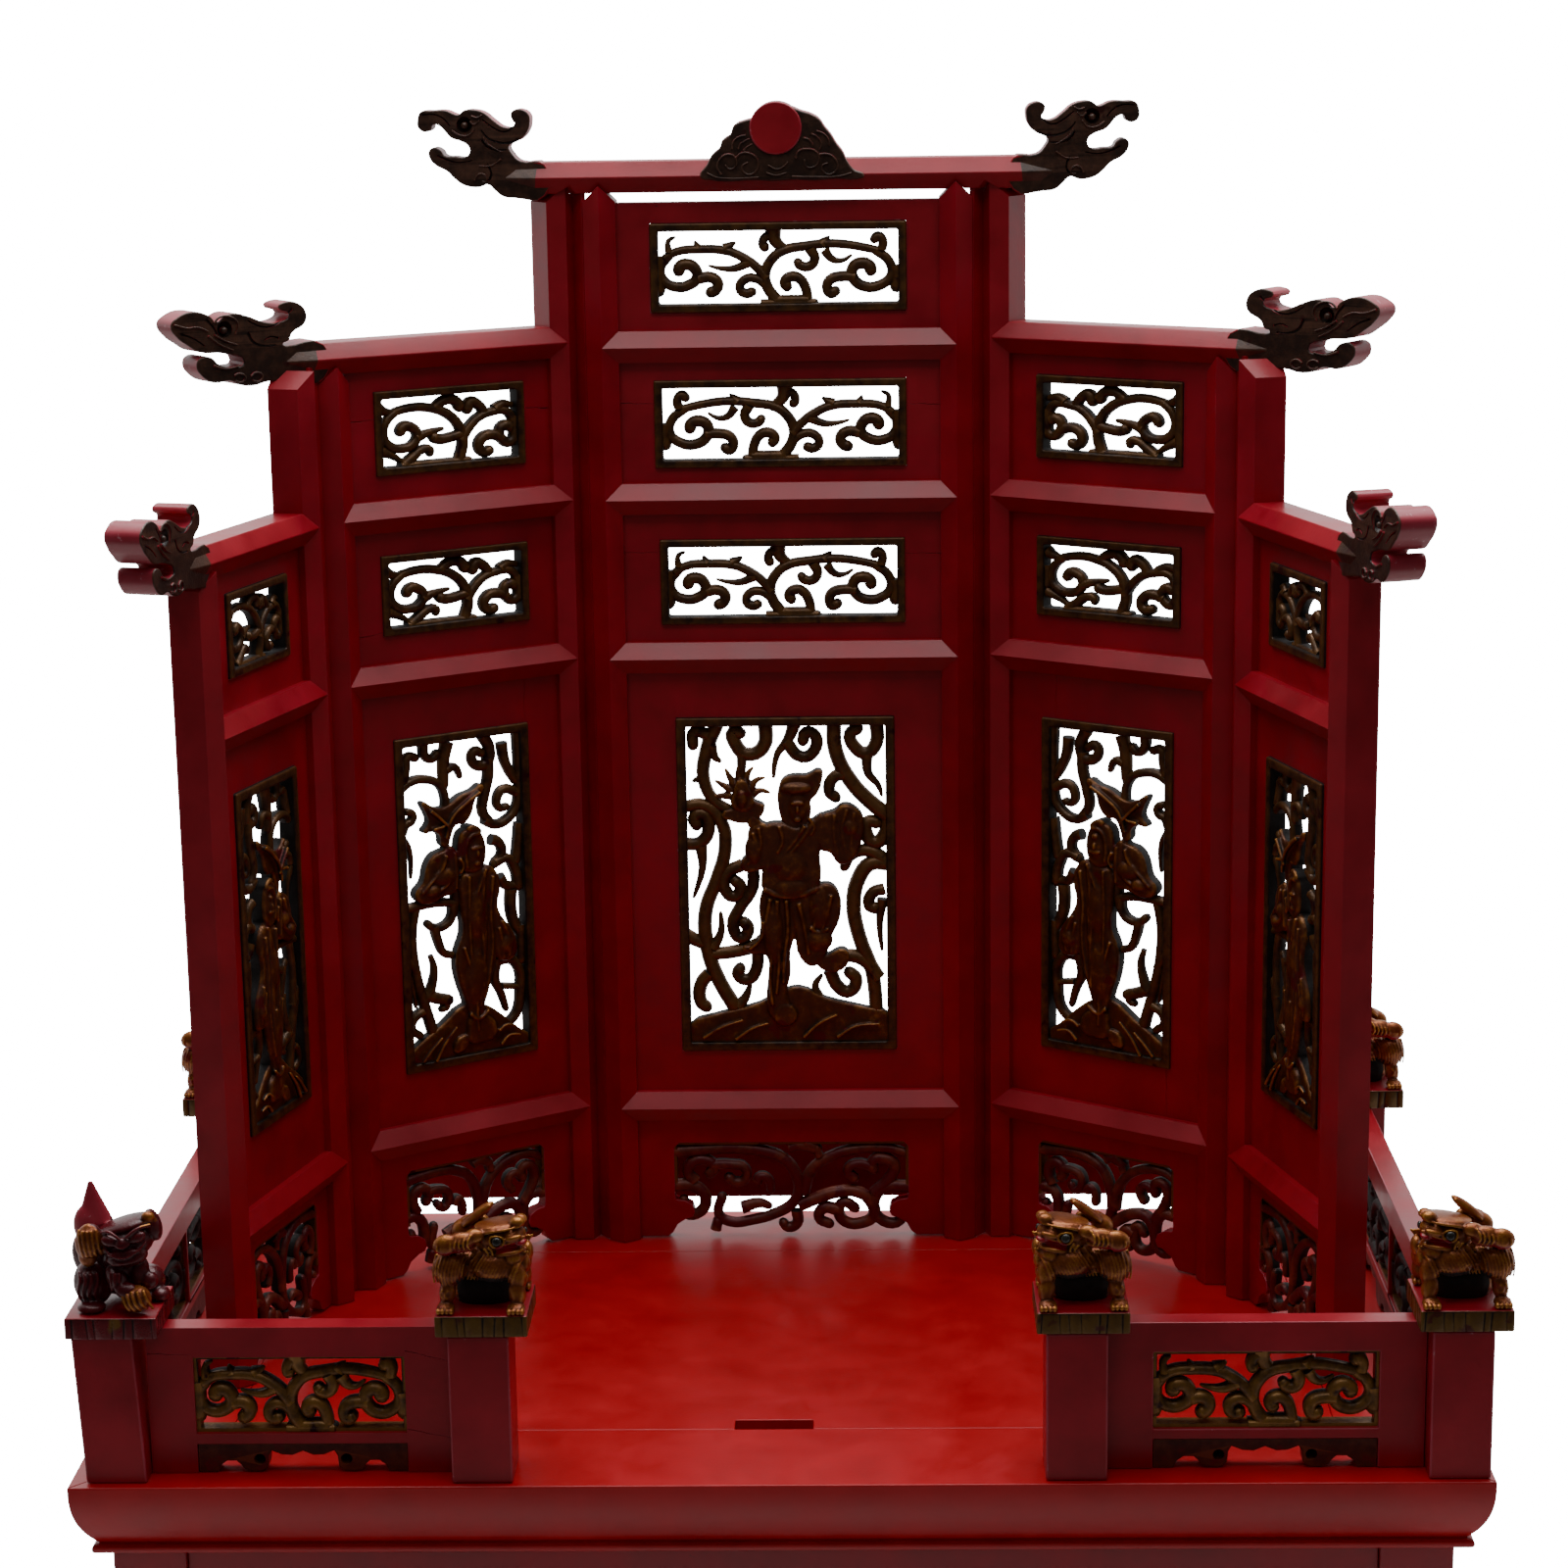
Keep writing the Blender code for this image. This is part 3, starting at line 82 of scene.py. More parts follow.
# Every leaf of the screen with its side and the end of its name
PLACES = [("centre", 1, "centre")] + [(leaf, side, leaf + "_" + label) for leaf in ("middle", "outer")
                                      for label, side in SIDES.items()]
for name, leaf in LEAVES.items():
    print(name, "leaf stands at", [round(v, 4) for v in leaf["at"]], "turned", leaf["turn"])

# %% [markdown]
# The camera stands a little above the screen and looks down on the platform with a long lens, as
# for a catalogue picture. Its place and tilt were worked out from the altar's own corners.

# %% Camera
PICTURE_WIDTH, FOCAL_LENGTH = 1600, 3523.7
yaw, pitch, roll = -0.0251, 0.2181, -0.0149
ahead = Vector((math.sin(yaw) * math.cos(pitch), math.cos(yaw) * math.cos(pitch), -math.sin(pitch)))
level = Vector((math.cos(yaw), -math.sin(yaw), 0))
upright = level.cross(ahead)
right = math.cos(roll) * level + math.sin(roll) * upright
up = math.cos(roll) * upright - math.sin(roll) * level
bpy.ops.object.select_all(action="DESELECT")
bpy.ops.object.camera_add()
camera = bpy.context.object
axes = Matrix((right, up, -ahead)).transposed().to_4x4()
camera.matrix_world = Matrix.Translation((0.0487, -1.8235, 0.8451)) @ axes
camera.data.sensor_width = 36
camera.data.lens = FOCAL_LENGTH / PICTURE_WIDTH * camera.data.sensor_width
camera.data.clip_end = 50
bpy.context.scene.camera = camera
print("lens", round(camera.data.lens, 1), "mm")

# %% [markdown]
# Every wooden piece starts as a block or as a drawn outline. These few helpers do what the hand does
# in Blender: deselect all, add the primitive at its size and place, pick corners or faces by where
# they are, cut with another piece, round the edges, and join.

# %% Helpers for wooden pieces
def done():
    """Leaves edit mode."""
    bpy.ops.object.mode_set(mode="OBJECT")


def alone(obj):
    """Leaves one object selected and active."""
    if bpy.context.mode != "OBJECT":
        bpy.ops.object.mode_set(mode="OBJECT")
    bpy.ops.object.select_all(action="DESELECT")
    obj.select_set(True)
    bpy.context.view_layer.objects.active = obj
    return obj


def block(name, low, high):
    """A cube stretched between two corners."""
    bpy.ops.object.select_all(action="DESELECT")
    middle = [(a + b) / 2 for a, b in zip(low, high)]
    size = [b - a for a, b in zip(low, high)]
    bpy.ops.mesh.primitive_cube_add(size=1, location=middle, scale=size)
    obj = bpy.context.object
    obj.name = name
    bpy.ops.object.transform_apply(location=True, rotation=False, scale=True)
    return obj


def ball(name, place, radii, segments=24, rings=12):
    """A sphere stretched to three radii."""
    bpy.ops.object.select_all(action="DESELECT")
    bpy.ops.mesh.primitive_uv_sphere_add(segments=segments, ring_count=rings, radius=1, location=place,
                                         scale=radii)
    obj = bpy.context.object
    obj.name = name
    bpy.ops.object.transform_apply(location=True, rotation=True, scale=True)
    return obj


def settle(obj, place, turn=0.0):
    """Moves a piece, turns it about the upright axis (radians), and fixes it there."""
    alone(obj)
    obj.location = place
    obj.rotation_euler = (0, 0, turn)
    bpy.ops.object.transform_apply(location=True, rotation=True, scale=True)
    return obj


def pick(obj, test):
    """Enters edit mode with the corners whose place passes the test."""
    alone(obj)
    bpy.ops.object.mode_set(mode="EDIT")
    bpy.ops.mesh.select_mode(type="VERT")
    bpy.ops.mesh.select_all(action="DESELECT")
    bpy.ops.object.mode_set(mode="OBJECT")
    for corner in obj.data.vertices:
        corner.select = bool(test(corner.co))
    bpy.ops.object.mode_set(mode="EDIT")


def shift_picked(by):
    """Moves the picked corners and leaves edit mode."""
    bpy.ops.transform.translate(value=by)
    done()


def slice_off(obj, at, normal, keep=False):
    """Bisects a piece, and unless it is kept, drops what lies on the normal's side."""
    alone(obj)
    bpy.ops.object.mode_set(mode="EDIT")
    bpy.ops.mesh.select_all(action="SELECT")
    bpy.ops.mesh.bisect(plane_co=at, plane_no=Vector(normal).normalized(), use_fill=not keep,
                        clear_outer=not keep)
    done()


def finish_modifier(obj, kind, **settings):
    """Adds a modifier, sets it and applies it."""
    alone(obj)
    modifier = obj.modifiers.new(kind.title(), kind)
    for name, value in settings.items():
        setattr(modifier, name, value)
    bpy.ops.object.modifier_apply(modifier=modifier.name)
    return obj


def soften(obj, width, segments=2, worn=-1, angle=30):
    """Rounds the edges sharper than an angle, and may give them another material."""
    return finish_modifier(obj, "BEVEL", width=width, segments=segments, material=worn,
                           limit_method="ANGLE", angle_limit=math.radians(angle),
                           use_clamp_overlap=True, miter_outer="MITER_ARC")


def join(pieces, name):
    """Joins pieces into one object."""
    alone(pieces[0])
    for piece in pieces:
        piece.select_set(True)
    bpy.ops.object.join()
    bpy.context.object.name = name
    return bpy.context.object


def cut(obj, cutter, operation="DIFFERENCE"):
    """Cuts a piece with another, or melts the other into it."""
    finish_modifier(obj, "BOOLEAN", object=cutter, operation=operation, solver="EXACT")
    bpy.data.objects.remove(cutter)
    return obj


def copy_of(obj, name):
    """A copy with its own mesh."""
    alone(obj)
    bpy.ops.object.duplicate()
    bpy.context.object.name = name
    return bpy.context.object


def mirrored(obj, name):
    """A copy mirrored left to right, its faces turned outwards again."""
    made = copy_of(obj, name)
    made.scale = (-1, 1, 1)
    bpy.ops.object.transform_apply(location=False, rotation=False, scale=True)
    bpy.ops.object.mode_set(mode="EDIT")
    bpy.ops.mesh.select_all(action="SELECT")
    bpy.ops.mesh.flip_normals()
    done()
    return made

# %% [markdown]
# Carved pieces start as drawings: closed outlines that are filled, and open stems with a round
# section. Whole numbers are short to read, so the drawings are written in hundredths (of a
# centimetre for the dragons and clouds, of half a window for the pierced boards).

# %% Helpers for drawn pieces
def hundredths(points):
    return [(x / 100, z / 100) for x, z in points]


def drawing(lines):
    """Lines of a drawing: two widths or depths in millimetres, then the points in hundredths."""
    return [(a, b, hundredths(points)) for a, b, points in lines]


def drawn(name, outlines, front, back, rounding=0.0, smooth=False, steps=6):
    """Closed outlines in x and z, filled, given depth from front to back, their edges rounded."""
    bpy.ops.object.select_all(action="DESELECT")
    bpy.ops.curve.primitive_bezier_curve_add()
    obj = bpy.context.object
    obj.name = name
    curve = obj.data
    curve.splines.clear()
    curve.dimensions = "2D"
    curve.fill_mode = "BOTH"
    curve.resolution_u = steps
    curve.bevel_depth = rounding
    curve.bevel_resolution = 2
    curve.extrude = (back - front) / 2 - rounding
    curve.offset = -rounding
    for outline in outlines:
        add_spline(curve, outline, None, smooth, True)
    obj.rotation_euler = (math.pi / 2, 0, 0)
    obj.location = (0, (front + back) / 2, 0)
    return to_mesh(obj)


def add_spline(curve, points, radii, smooth, closed):
    """One line of a curve through the points, with a radius at each."""
    spline = curve.splines.new("BEZIER")
    spline.bezier_points.add(len(points) - 1)
    for i, place in enumerate(points):
        place = tuple(place) if len(place) == 3 else (*place, 0)
        point = spline.bezier_points[i]
        point.co = place
        point.radius = radii[i] if radii else 1.0
        point.handle_left_type = point.handle_right_type = "AUTO" if smooth else "VECTOR"
    spline.use_cyclic_u = closed


def to_mesh(obj):
    """Turns a curve into a clean mesh."""
    alone(obj)
    bpy.ops.object.convert(target="MESH")
    return closed_skin(bpy.context.object)


def closed_skin(obj):
    """Fixes a piece in place, welds its corners and turns its faces outwards."""
    alone(obj)
    bpy.ops.object.transform_apply(location=True, rotation=True, scale=True)
    bpy.ops.object.mode_set(mode="EDIT")
    bpy.ops.mesh.select_all(action="SELECT")
    bpy.ops.mesh.remove_doubles(threshold=0.00001)
    bpy.ops.mesh.normals_make_consistent(inside=False)
    done()
    return obj


def stroke_curve(width, spline_points, radii, steps, extrude=0.0):
    """One open curve with a round or slot-shaped section."""
    bpy.ops.object.select_all(action="DESELECT")
    bpy.ops.curve.primitive_bezier_curve_add()
    obj = bpy.context.object
    curve = obj.data
    curve.splines.clear()
    curve.dimensions = "3D"
    curve.twist_mode = "Z_UP" if extrude else "MINIMUM"
    curve.fill_mode = "FULL"
    curve.use_fill_caps = True
    curve.resolution_u = steps
    curve.bevel_resolution = 2
    curve.bevel_depth = width / 2
    curve.extrude = extrude
    add_spline(curve, spline_points, radii, True, False)
    return obj


def tapered(start, end, points):
    """Points and widths of a stem, with a rounded end added."""
    points = [Vector(point) for point in points]
    count = len(points) - 1
    widths = [start + (end - start) * i / count for i in range(count + 1)]
    ahead = (points[-1] - points[-2]).normalized()
    points += [points[-1] + ahead * end * 0.3, points[-1] + ahead * end * 0.45]
    return points, widths + [end * 0.75, end * 0.35]


def strokes(name, lines, depth, middle, steps=4):
    """Carved stems: each line is a start width, an end width and its points in x and z."""
    made = []
    for start, end, points in lines:
        points, widths = tapered(start, end, points)
        base = max(start, end)
        slot = max(0, depth - base) / 2
        made.append(stroke_curve(base, points, [w / base for w in widths], steps, slot))
    obj = gathered(made, name)
    obj.rotation_euler = (math.pi / 2, 0, 0)
    obj.location = (0, middle, 0)
    return closed_skin(obj)


def cords(name, lines, steps=4):
    """Round cords in space: a start width, an end width and points in x, y and z, all in mm."""
    made = []
    for start, end, points in lines:
        points = [Vector(point) / 1000 for point in points]
        points, widths = tapered(start / 1000, end / 1000, points)
        base = max(widths)
        made.append(stroke_curve(base, points, [w / base for w in widths], steps))
    return closed_skin(gathered(made, name))


def gathered(curves, name):
    """Turns curves to meshes and joins them."""
    for obj in curves:
        obj.select_set(True)
    bpy.context.view_layer.objects.active = curves[0]
    bpy.ops.object.convert(target="MESH")
    return join(list(bpy.context.selected_objects), name)

# %% [markdown]
# A finished piece is turned with its leaf, painted, and handed over with the solid it stands for.

# %% Helpers that place and hand over a finished piece
def paint(obj, *finishes):
    """Gives a piece its finishes; every face starts with the first."""
    obj.data.materials.clear()
    for made in finishes:
        obj.data.materials.append(made)


def seat(obj, leaf, side):
    """Turns a piece that was drawn flat on a leaf, and stands it on the platform."""
    x, y = LEAVES[leaf]["at"]
    return settle(obj, (side * x, FRONT + y, TOP), math.radians(-side * LEAVES[leaf]["turn"]))


def finish(obj, slot, *nodes, smooth=50):
    """Smooth shading, the body it rides on and the solids it stands for; slot is not used."""
    alone(obj)
    if smooth:
        bpy.ops.object.shade_smooth_by_angle(angle=math.radians(smooth))
    if 0 < smooth <= 50:
        finish_modifier(obj, "WEIGHTED_NORMAL", keep_sharp=True)
    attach(obj, "root")
    if nodes:
        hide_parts(*nodes)
    return obj


print("helpers ready")

# %% [markdown]
# A finish is a node tree that says how the surface was made. Colours are written as the hex values
# one would read off a photograph and turned to linear light by one function, and one other function
# adds a node, sets it and links it. Pattern scales are one over a real size in metres, because the
# patterns read Object coordinates, which are metres on this altar.

# %% Helpers for finishes
def linear(code):
    """An sRGB hex colour as linear light."""
    parts = [int(code[i:i + 2], 16) / 255 for i in (1, 3, 5)]
    return [p / 12.92 if p <= 0.04045 else ((p + 0.055) / 1.055) ** 2.4 for p in parts] + [1.0]


def node(tree, kind, inputs=None, stops=None, **settings):
    """Adds a node with its settings, its ramp colours, its values and its links."""
    made = tree.nodes.new(kind)
    for name, value in settings.items():
        setattr(made, name, value)
    for i, (place, code) in enumerate(stops or ()):
        elements = made.color_ramp.elements
        stop = elements[i] if i < len(elements) else elements.new(place)
        stop.position = place
        stop.color = linear(code)
    for name, value in (inputs or {}).items():
        if isinstance(value, bpy.types.NodeSocket):
            tree.links.new(value, made.inputs[name])
        else:
            made.inputs[name].default_value = value
    return made


def noise(tree, place, size, detail, roughness=0.5):
    """A noise pattern of a size in metres."""
    return node(tree, "ShaderNodeTexNoise", {"Vector": place, "Scale": 1 / size, "Detail": detail,
                                             "Roughness": roughness}).outputs["Fac"]


def spread(tree, value, low, high, to_low=0.0, to_high=1.0):
    """Maps a value from low to high on to two other values."""
    return node(tree, "ShaderNodeMapRange", {"Value": value, "From Min": low, "From Max": high,
                                             "To Min": to_low, "To Max": to_high}).outputs["Result"]


def new_finish(name, **sockets):
    """A material whose even values sit on the shader's own sockets."""
    material = bpy.data.materials.new(name)
    material.use_nodes = True
    shader = material.node_tree.nodes["Principled BSDF"]
    for key, value in sockets.items():
        shader.inputs[key.replace("_", " ")].default_value = value
    return material, material.node_tree, shader


def dress(tree, shader, colour, other, mask, dull, height, strength, depth):
    """Shows another colour where a mask says, sets the roughness and adds a fine relief."""
    mixed = node(tree, "ShaderNodeMix", {"Factor": mask, "A": colour, "B": linear(other)},
                 data_type="RGBA")
    bump = node(tree, "ShaderNodeBump", {"Height": height, "Strength": strength, "Distance": depth})
    for name, output in (("Base Color", mixed.outputs["Result"]), ("Roughness", dull),
                         ("Normal", bump.outputs["Normal"])):
        tree.links.new(output, shader.inputs[name])

# %% [markdown]
# Red lacquer over pine: several coats brushed on and left to level. It gives the eye a deep even red
# with clouds a few centimetres wide, faint brush streaks about a millimetre apart, a satin gloss
# that goes duller where hands have worn it, and small brown chips.

# %% Red lacquer
def red_lacquer(name, deep, fair, chip, chip_share, rough):
    """Clouds of two reds, small chips, duller patches and brush marks."""
    material, tree, shader = new_finish(name, IOR=1.5, Coat_Weight=0.15, Coat_Roughness=0.16,
                                        Coat_IOR=1.5)
    place = node(tree, "ShaderNodeTexCoord").outputs["Object"]
    clouds = noise(tree, place, 0.035, 4.0, 0.6)
    colour = node(tree, "ShaderNodeValToRGB", {"Fac": clouds}, stops=((0.3, deep), (0.7, fair)))
    chips = spread(tree, noise(tree, place, 0.006, 5.0, 0.7), 1 - chip_share, 1.03 - chip_share)
    dull = spread(tree, clouds, 0.3, 0.7, rough - 0.06, rough + 0.08)
    relief = node(tree, "ShaderNodeMath", {0: noise(tree, place, 0.0022, 3.0),
                                           1: noise(tree, place, 0.014, 2.0)}, operation="ADD")
    dress(tree, shader, colour.outputs["Color"], chip, chips, dull, relief.outputs["Value"], 0.15, 0.0004)
    return material


LACQUER = red_lacquer("red_brushed_lacquer", "#860417", "#a2081f", "#2c0a0a", 0.27, 0.36)
# Paler, pinker lacquer for bevelled edges: partly rubbed wear, partly a painted highlight.
WORN_AND_HIGHLIGHT = red_lacquer("red_lacquer_worn_edge_and_highlight", "#941424", "#a83446", "#b8707a", 0.36, 0.42)
# The platform's lacquer is the same red painted brighter: painted light on its lit top and moulding.
TABLE_RED_PAINTED_LIT = red_lacquer("red_lacquer_platform_painted_lit", "#a80310", "#bc0a18", "#6a0c10", 0.22, 0.38)
print("lacquers:", LACQUER.name, WORN_AND_HIGHLIGHT.name, TABLE_RED_PAINTED_LIT.name)

# %% [markdown]
# Browned gilding: thin gold leaf or bronze powder over brown size, dulled by a century of smoke.
# The eye sees dark brown in the hollows, bronze on the rounded tops and a few bright worn places,
# so the colour follows how sharply the surface stands out and a fine noise. The dark brown of the
# hollows is partly smoke grime and partly painted shade.

# %% Gilded finishes
def gilding(name, shaded_hollow, body, bright, red, red_share, rough, shine):
    """Dark recesses as grime and painted shade, bronze body, bright worn tops, and traces of the red under
    them.
    """
    material, tree, shader = new_finish(name, Metallic=shine, IOR=1.5)
    place = node(tree, "ShaderNodeTexCoord").outputs["Object"]
    patches = noise(tree, place, 0.007, 5.0, 0.65)
    sharp = spread(tree, node(tree, "ShaderNodeNewGeometry").outputs["Pointiness"], 0.44, 0.58)
    worn = node(tree, "ShaderNodeMath", {0: patches, 1: sharp}, operation="ADD")
    half = node(tree, "ShaderNodeMath", {0: worn.outputs["Value"], 1: 0.5}, operation="MULTIPLY")
    # The darkest stop, in concave places, is partly grime and partly painted shade.
    colour = node(tree, "ShaderNodeValToRGB", {"Fac": half.outputs["Value"]},
                  stops=((0.25, shaded_hollow), (0.5, body), (0.72, bright)))
    traces = spread(tree, noise(tree, place, 0.012, 3.0), 1 - red_share, 1.06 - red_share)
    dull = spread(tree, patches, 0.0, 1.0, rough + 0.15, rough - 0.1)
    grain = noise(tree, place, 0.0012, 3.0)
    dress(tree, shader, colour.outputs["Color"], red, traces, dull, grain, 0.35, 0.0005)
    return material


BRONZE = gilding("browned_gilding", "#120a06", "#2c1a0e", "#6a4620", "#300a0a", 0.36, 0.36, 0.35)
DRAGON_GILT = gilding("browned_dragon_gilding", "#140b07", "#2a1911", "#54382a", "#300c0b", 0.34, 0.34,
                      0.1)
LION_GILT = gilding("worn_lion_gilding", "#2c1206", "#84421a", "#ba7c30", "#7a2412", 0.36, 0.28, 0.5)
PLINTH_GILT = gilding("worn_plinth_gilding", "#1a0e06", "#4a3010", "#664818", "#4a1a10", 0.40, 0.36,
                      0.35)
LION_RED = gilding("dark_red_lacquer_with_gold", "#220508", "#4a0a12", "#6a141c", "#6a4816", 0.34, 0.26,
                   0.1)
EYE = gilding("dark_glazed_eye", "#0a0a0a", "#1a1816", "#3a3630", "#0a0a0a", 0.30, 0.12, 0.0)
# A brighter copy of the browned gilding for the fence: painted light where the carving faces the lamps.
FENCE_BRONZE_PAINTED_LIT = gilding("browned_gilding_painted_lit", "#140b06", "#3a2410", "#8a5f28", "#300a0a", 0.34, 0.36, 0.4)
RED_BROWN = gilding("red_brown_varnish", "#1a0a08", "#431410", "#7a3420", "#5c0e12", 0.50, 0.42, 0.15)
ROBE = gilding("figure_gilding", "#1f0e07", "#5a2e12", "#b0742c", "#5a0f10", 0.38, 0.36, 0.35)
SKIRT_BROWN = gilding("skirt_varnish", "#200c09", "#48180f", "#6a3018", "#5c0e12", 0.40, 0.45, 0.1)
# Near-black wood for sawn walls, backs and hollows: bare wood darkened as painted shade.
SAWN_AND_SHADE = gilding("sawn_wood_and_painted_shade", "#0c0a0a", "#1c1614", "#2c2220", "#200a0a", 0.34, 0.7, 0.0)
print("gildings:", BRONZE.name, DRAGON_GILT.name, LION_GILT.name, LION_RED.name, SAWN_AND_SHADE.name)

# %% [markdown]
# The platform is a mitred frame of four moulded members round a board. A joiner planes the
# moulding on a long length and saws its ends at 45 degrees, so each member is drawn as a section,
# pushed out to its length and bisected at both ends.

# %% Platform members
MEMBER = 0.071
JOINT = 0.0003


def member(name, length, at, turn):
    """A moulded member with mitred ends, its moulding towards the front before it is turned."""
    section = [(0.0004, 0.0), (0.0, -0.0006)]
    for i in range(15):
        t = i / 14
        section.append((0.012 * t ** 2.6, -0.001 - 0.034 * t))
    section += [(0.0116, -0.0353), (0.0100, -0.0354), (0.0088, -0.0364), (0.0085, -0.0378),
                (0.0089, -0.0392), (0.0100, -0.0399), (0.045, -0.0399), (0.045, -0.0225),
                (0.066, -0.0225), (0.066, -0.0153), (MEMBER, -0.0153), (MEMBER, 0.0)]
    piece = drawn(name, [section], -length / 2, length / 2)
    piece.rotation_euler = (0, 0, math.pi / 2)
    bpy.ops.object.transform_apply(location=True, rotation=True, scale=True)
    for end in (-1, 1):
        slice_off(piece, (end * (length / 2 - JOINT), 0, 0), (end, 1, 0))
    soften(piece, 0.0006)
    settle(piece, (*at, TOP), math.radians(turn))
    paint(piece, TABLE_RED_PAINTED_LIT)
    return finish(piece, "red_lacquer", "platform_" + name.split("_")[0])


for name, length, at, turn in (("front_member", WIDTH, (0, FRONT), 0),
                               ("rear_member", WIDTH, (0, -FRONT), 180),
                               ("right_member", DEPTH, (WIDTH / 2, 0), 90),
                               ("left_member", DEPTH, (-WIDTH / 2, 0), -90)):
    piece = member(name, length, at, turn)
    print(name, [round(v * 1000) for v in piece.dimensions], "mm")

# %% [markdown]
# The board inside the frame lies in a rebate. A finger slot at its front edge lets it be lifted
# out. Its edges are only broken with a file, so the joints read as fine dark lines.

# %% Platform board with its finger slot
half_x = WIDTH / 2 - MEMBER - JOINT
half_y = DEPTH / 2 - MEMBER - JOINT
panel = block("platform_board", (-half_x, -half_y, TOP - 0.015), (half_x, half_y, TOP))
slot = block("slot", (-0.0245, -half_y - 0.01, TOP - 0.02), (0.0165, -half_y + 0.012, TOP + 0.01))
cut(panel, slot)
soften(panel, 0.0005)
paint(panel, TABLE_RED_PAINTED_LIT)
finish(panel, "red_lacquer", "platform_panel")
print("board", [round(v * 1000) for v in panel.dimensions], "mm")

# %% [markdown]
# Each foot is a square block with a turned-in neck just above the floor, as on a small table. It is
# a block cut twice across, with the ring between the cuts drawn in.

# %% Feet
FOOT_HALF, FOOT_HEIGHT = 0.01875, 0.0847
foot = block("foot", (-FOOT_HALF, -FOOT_HALF, 0), (FOOT_HALF, FOOT_HALF, FOOT_HEIGHT))
for height in (0.011, 0.0155, 0.030):
    slice_off(foot, (0, 0, height), (0, 0, 1), keep=True)
pick(foot, lambda corner: 0.015 < corner.z < 0.016)
bpy.ops.transform.resize(value=(0.86, 0.86, 1), center_override=(0, 0, 0.0155))
done()
soften(foot, 0.0008)
paint(foot, LACQUER)
for row, y in (("front", -1), ("rear", 1)):
    for label, side in SIDES.items():
        name = row + "_" + label
        piece = settle(copy_of(foot, "foot_" + name), (side * 0.32375, y * 0.16875, 0))
        finish(piece, "red_lacquer", "leg_" + name)
bpy.data.objects.remove(foot)
print("four feet stand", round(FOOT_HEIGHT * 1000), "mm high")

# %% [markdown]
# Thin boards hang under the moulding between the feet. Their lower edge is sawn to a flat scallop.

# %% Frieze boards
INSET, FRIEZE_LOW = 0.0215, 0.0427
for name, length, at, turn in (("front", WIDTH, (0, FRONT + INSET), 0),
                               ("rear", WIDTH, (0, -FRONT - INSET), 180),
                               ("right", DEPTH, (WIDTH / 2 - INSET, 0), 90),
                               ("left", DEPTH, (INSET - WIDTH / 2, 0), -90)):
    half = length / 2 - 0.0553
    edge = [(half * (i / 12 - 1), FRIEZE_LOW + 0.006 * (1 - abs(i / 12 - 1)) ** 0.5) for i in range(25)]
    outline = edge + [(half, FOOT_HEIGHT), (-half, FOOT_HEIGHT)]
    piece = drawn("frieze_board_" + name, [outline], 0, 0.01)
    soften(piece, 0.0006)
    settle(piece, (*at, 0), math.radians(turn))
    paint(piece, LACQUER)
    finish(piece, "red_lacquer", "frieze_" + name)
print("frieze boards hang", round((FOOT_HEIGHT - FRIEZE_LOW) * 1000), "mm below the moulding")

# %% [markdown]
# The screen's stiles and rails are planed to a low ridge along the middle of the front, and meet
# in mitres. A bar is a block, cut along its middle, with that edge of the front drawn forwards.
# Where two ridged bars cross, the ridges make the mitre by themselves, so they are simply melted
# together. The narrow faces that the bevel adds carry a paler, pinker lacquer: partly the rubbed
# lacquer of a worn edge, partly a painted highlight along every edge.

# %% Ridged bars of the screen
def ridged_bar(name, low, high, upright=True):
    """A bar from low to high in x and z, with a ridge at y = 0 along its length."""
    bar = block(name, (low[0], RIDGE, low[1]), (high[0], BACK, high[1]))
    middle = ((low[0] + high[0]) / 2, 0, (low[1] + high[1]) / 2)
    across = (1, 0, 0) if upright else (0, 0, 1)
    slice_off(bar, middle, across, keep=True)
    pick(bar, lambda c: c.y < RIDGE + 0.001 and abs((c - Vector(middle)).dot(Vector(across))) < 0.0001)
    shift_picked((0, -RIDGE, 0))
    return bar


def stile(name, x, tip):
    """An upright bar with a pointed top, its shoulders at 45 degrees."""
    bar = ridged_bar(name, (x - STILE, 0.0006), (x + STILE, tip + 0.001))
    for side in (-1, 1):
        slice_off(bar, (x, 0, tip), (side, 0, 1))
    return bar


# Heights of the stiles' pointed tops, the inner and the outer one
TIPS = {"centre": (0.6295, 0.6295), "middle": (0.6295, 0.5365), "outer": (0.5365, 0.446)}


def screen_frame(leaf, side):
    """Both stiles and the rails of a leaf, melted together."""
    half = LEAVES[leaf]["half"]
    whole = stile("frame", -side * half, TIPS[leaf][0])
    cut(whole, stile("stile", side * half, TIPS[leaf][1]), "UNION")
    reach = half - 0.0001
    for height in LEAVES[leaf]["rails"]:
        rail = ridged_bar("rail", (-reach, height - RAIL), (reach, height + RAIL), upright=False)
        cut(whole, rail, "UNION")
    return whole


for leaf, side, name in PLACES:
    frame_piece = screen_frame(leaf, side)
    frame_piece.name = "screen_frame_" + name
    paint(frame_piece, LACQUER, WORN_AND_HIGHLIGHT)
    soften(frame_piece, 0.0007, worn=1, angle=25)
    seat(frame_piece, leaf, side)
    finish(frame_piece, "red_lacquer", "frame_" + name)
    print(frame_piece.name, len(frame_piece.data.polygons), "faces")

# %% [markdown]
# Thin boards fill the openings, 4 mm behind the edges of the bars. Each has a pierced window with a
# raised gilded bead round it. The board and the bead are blocks with a smaller block cut out.

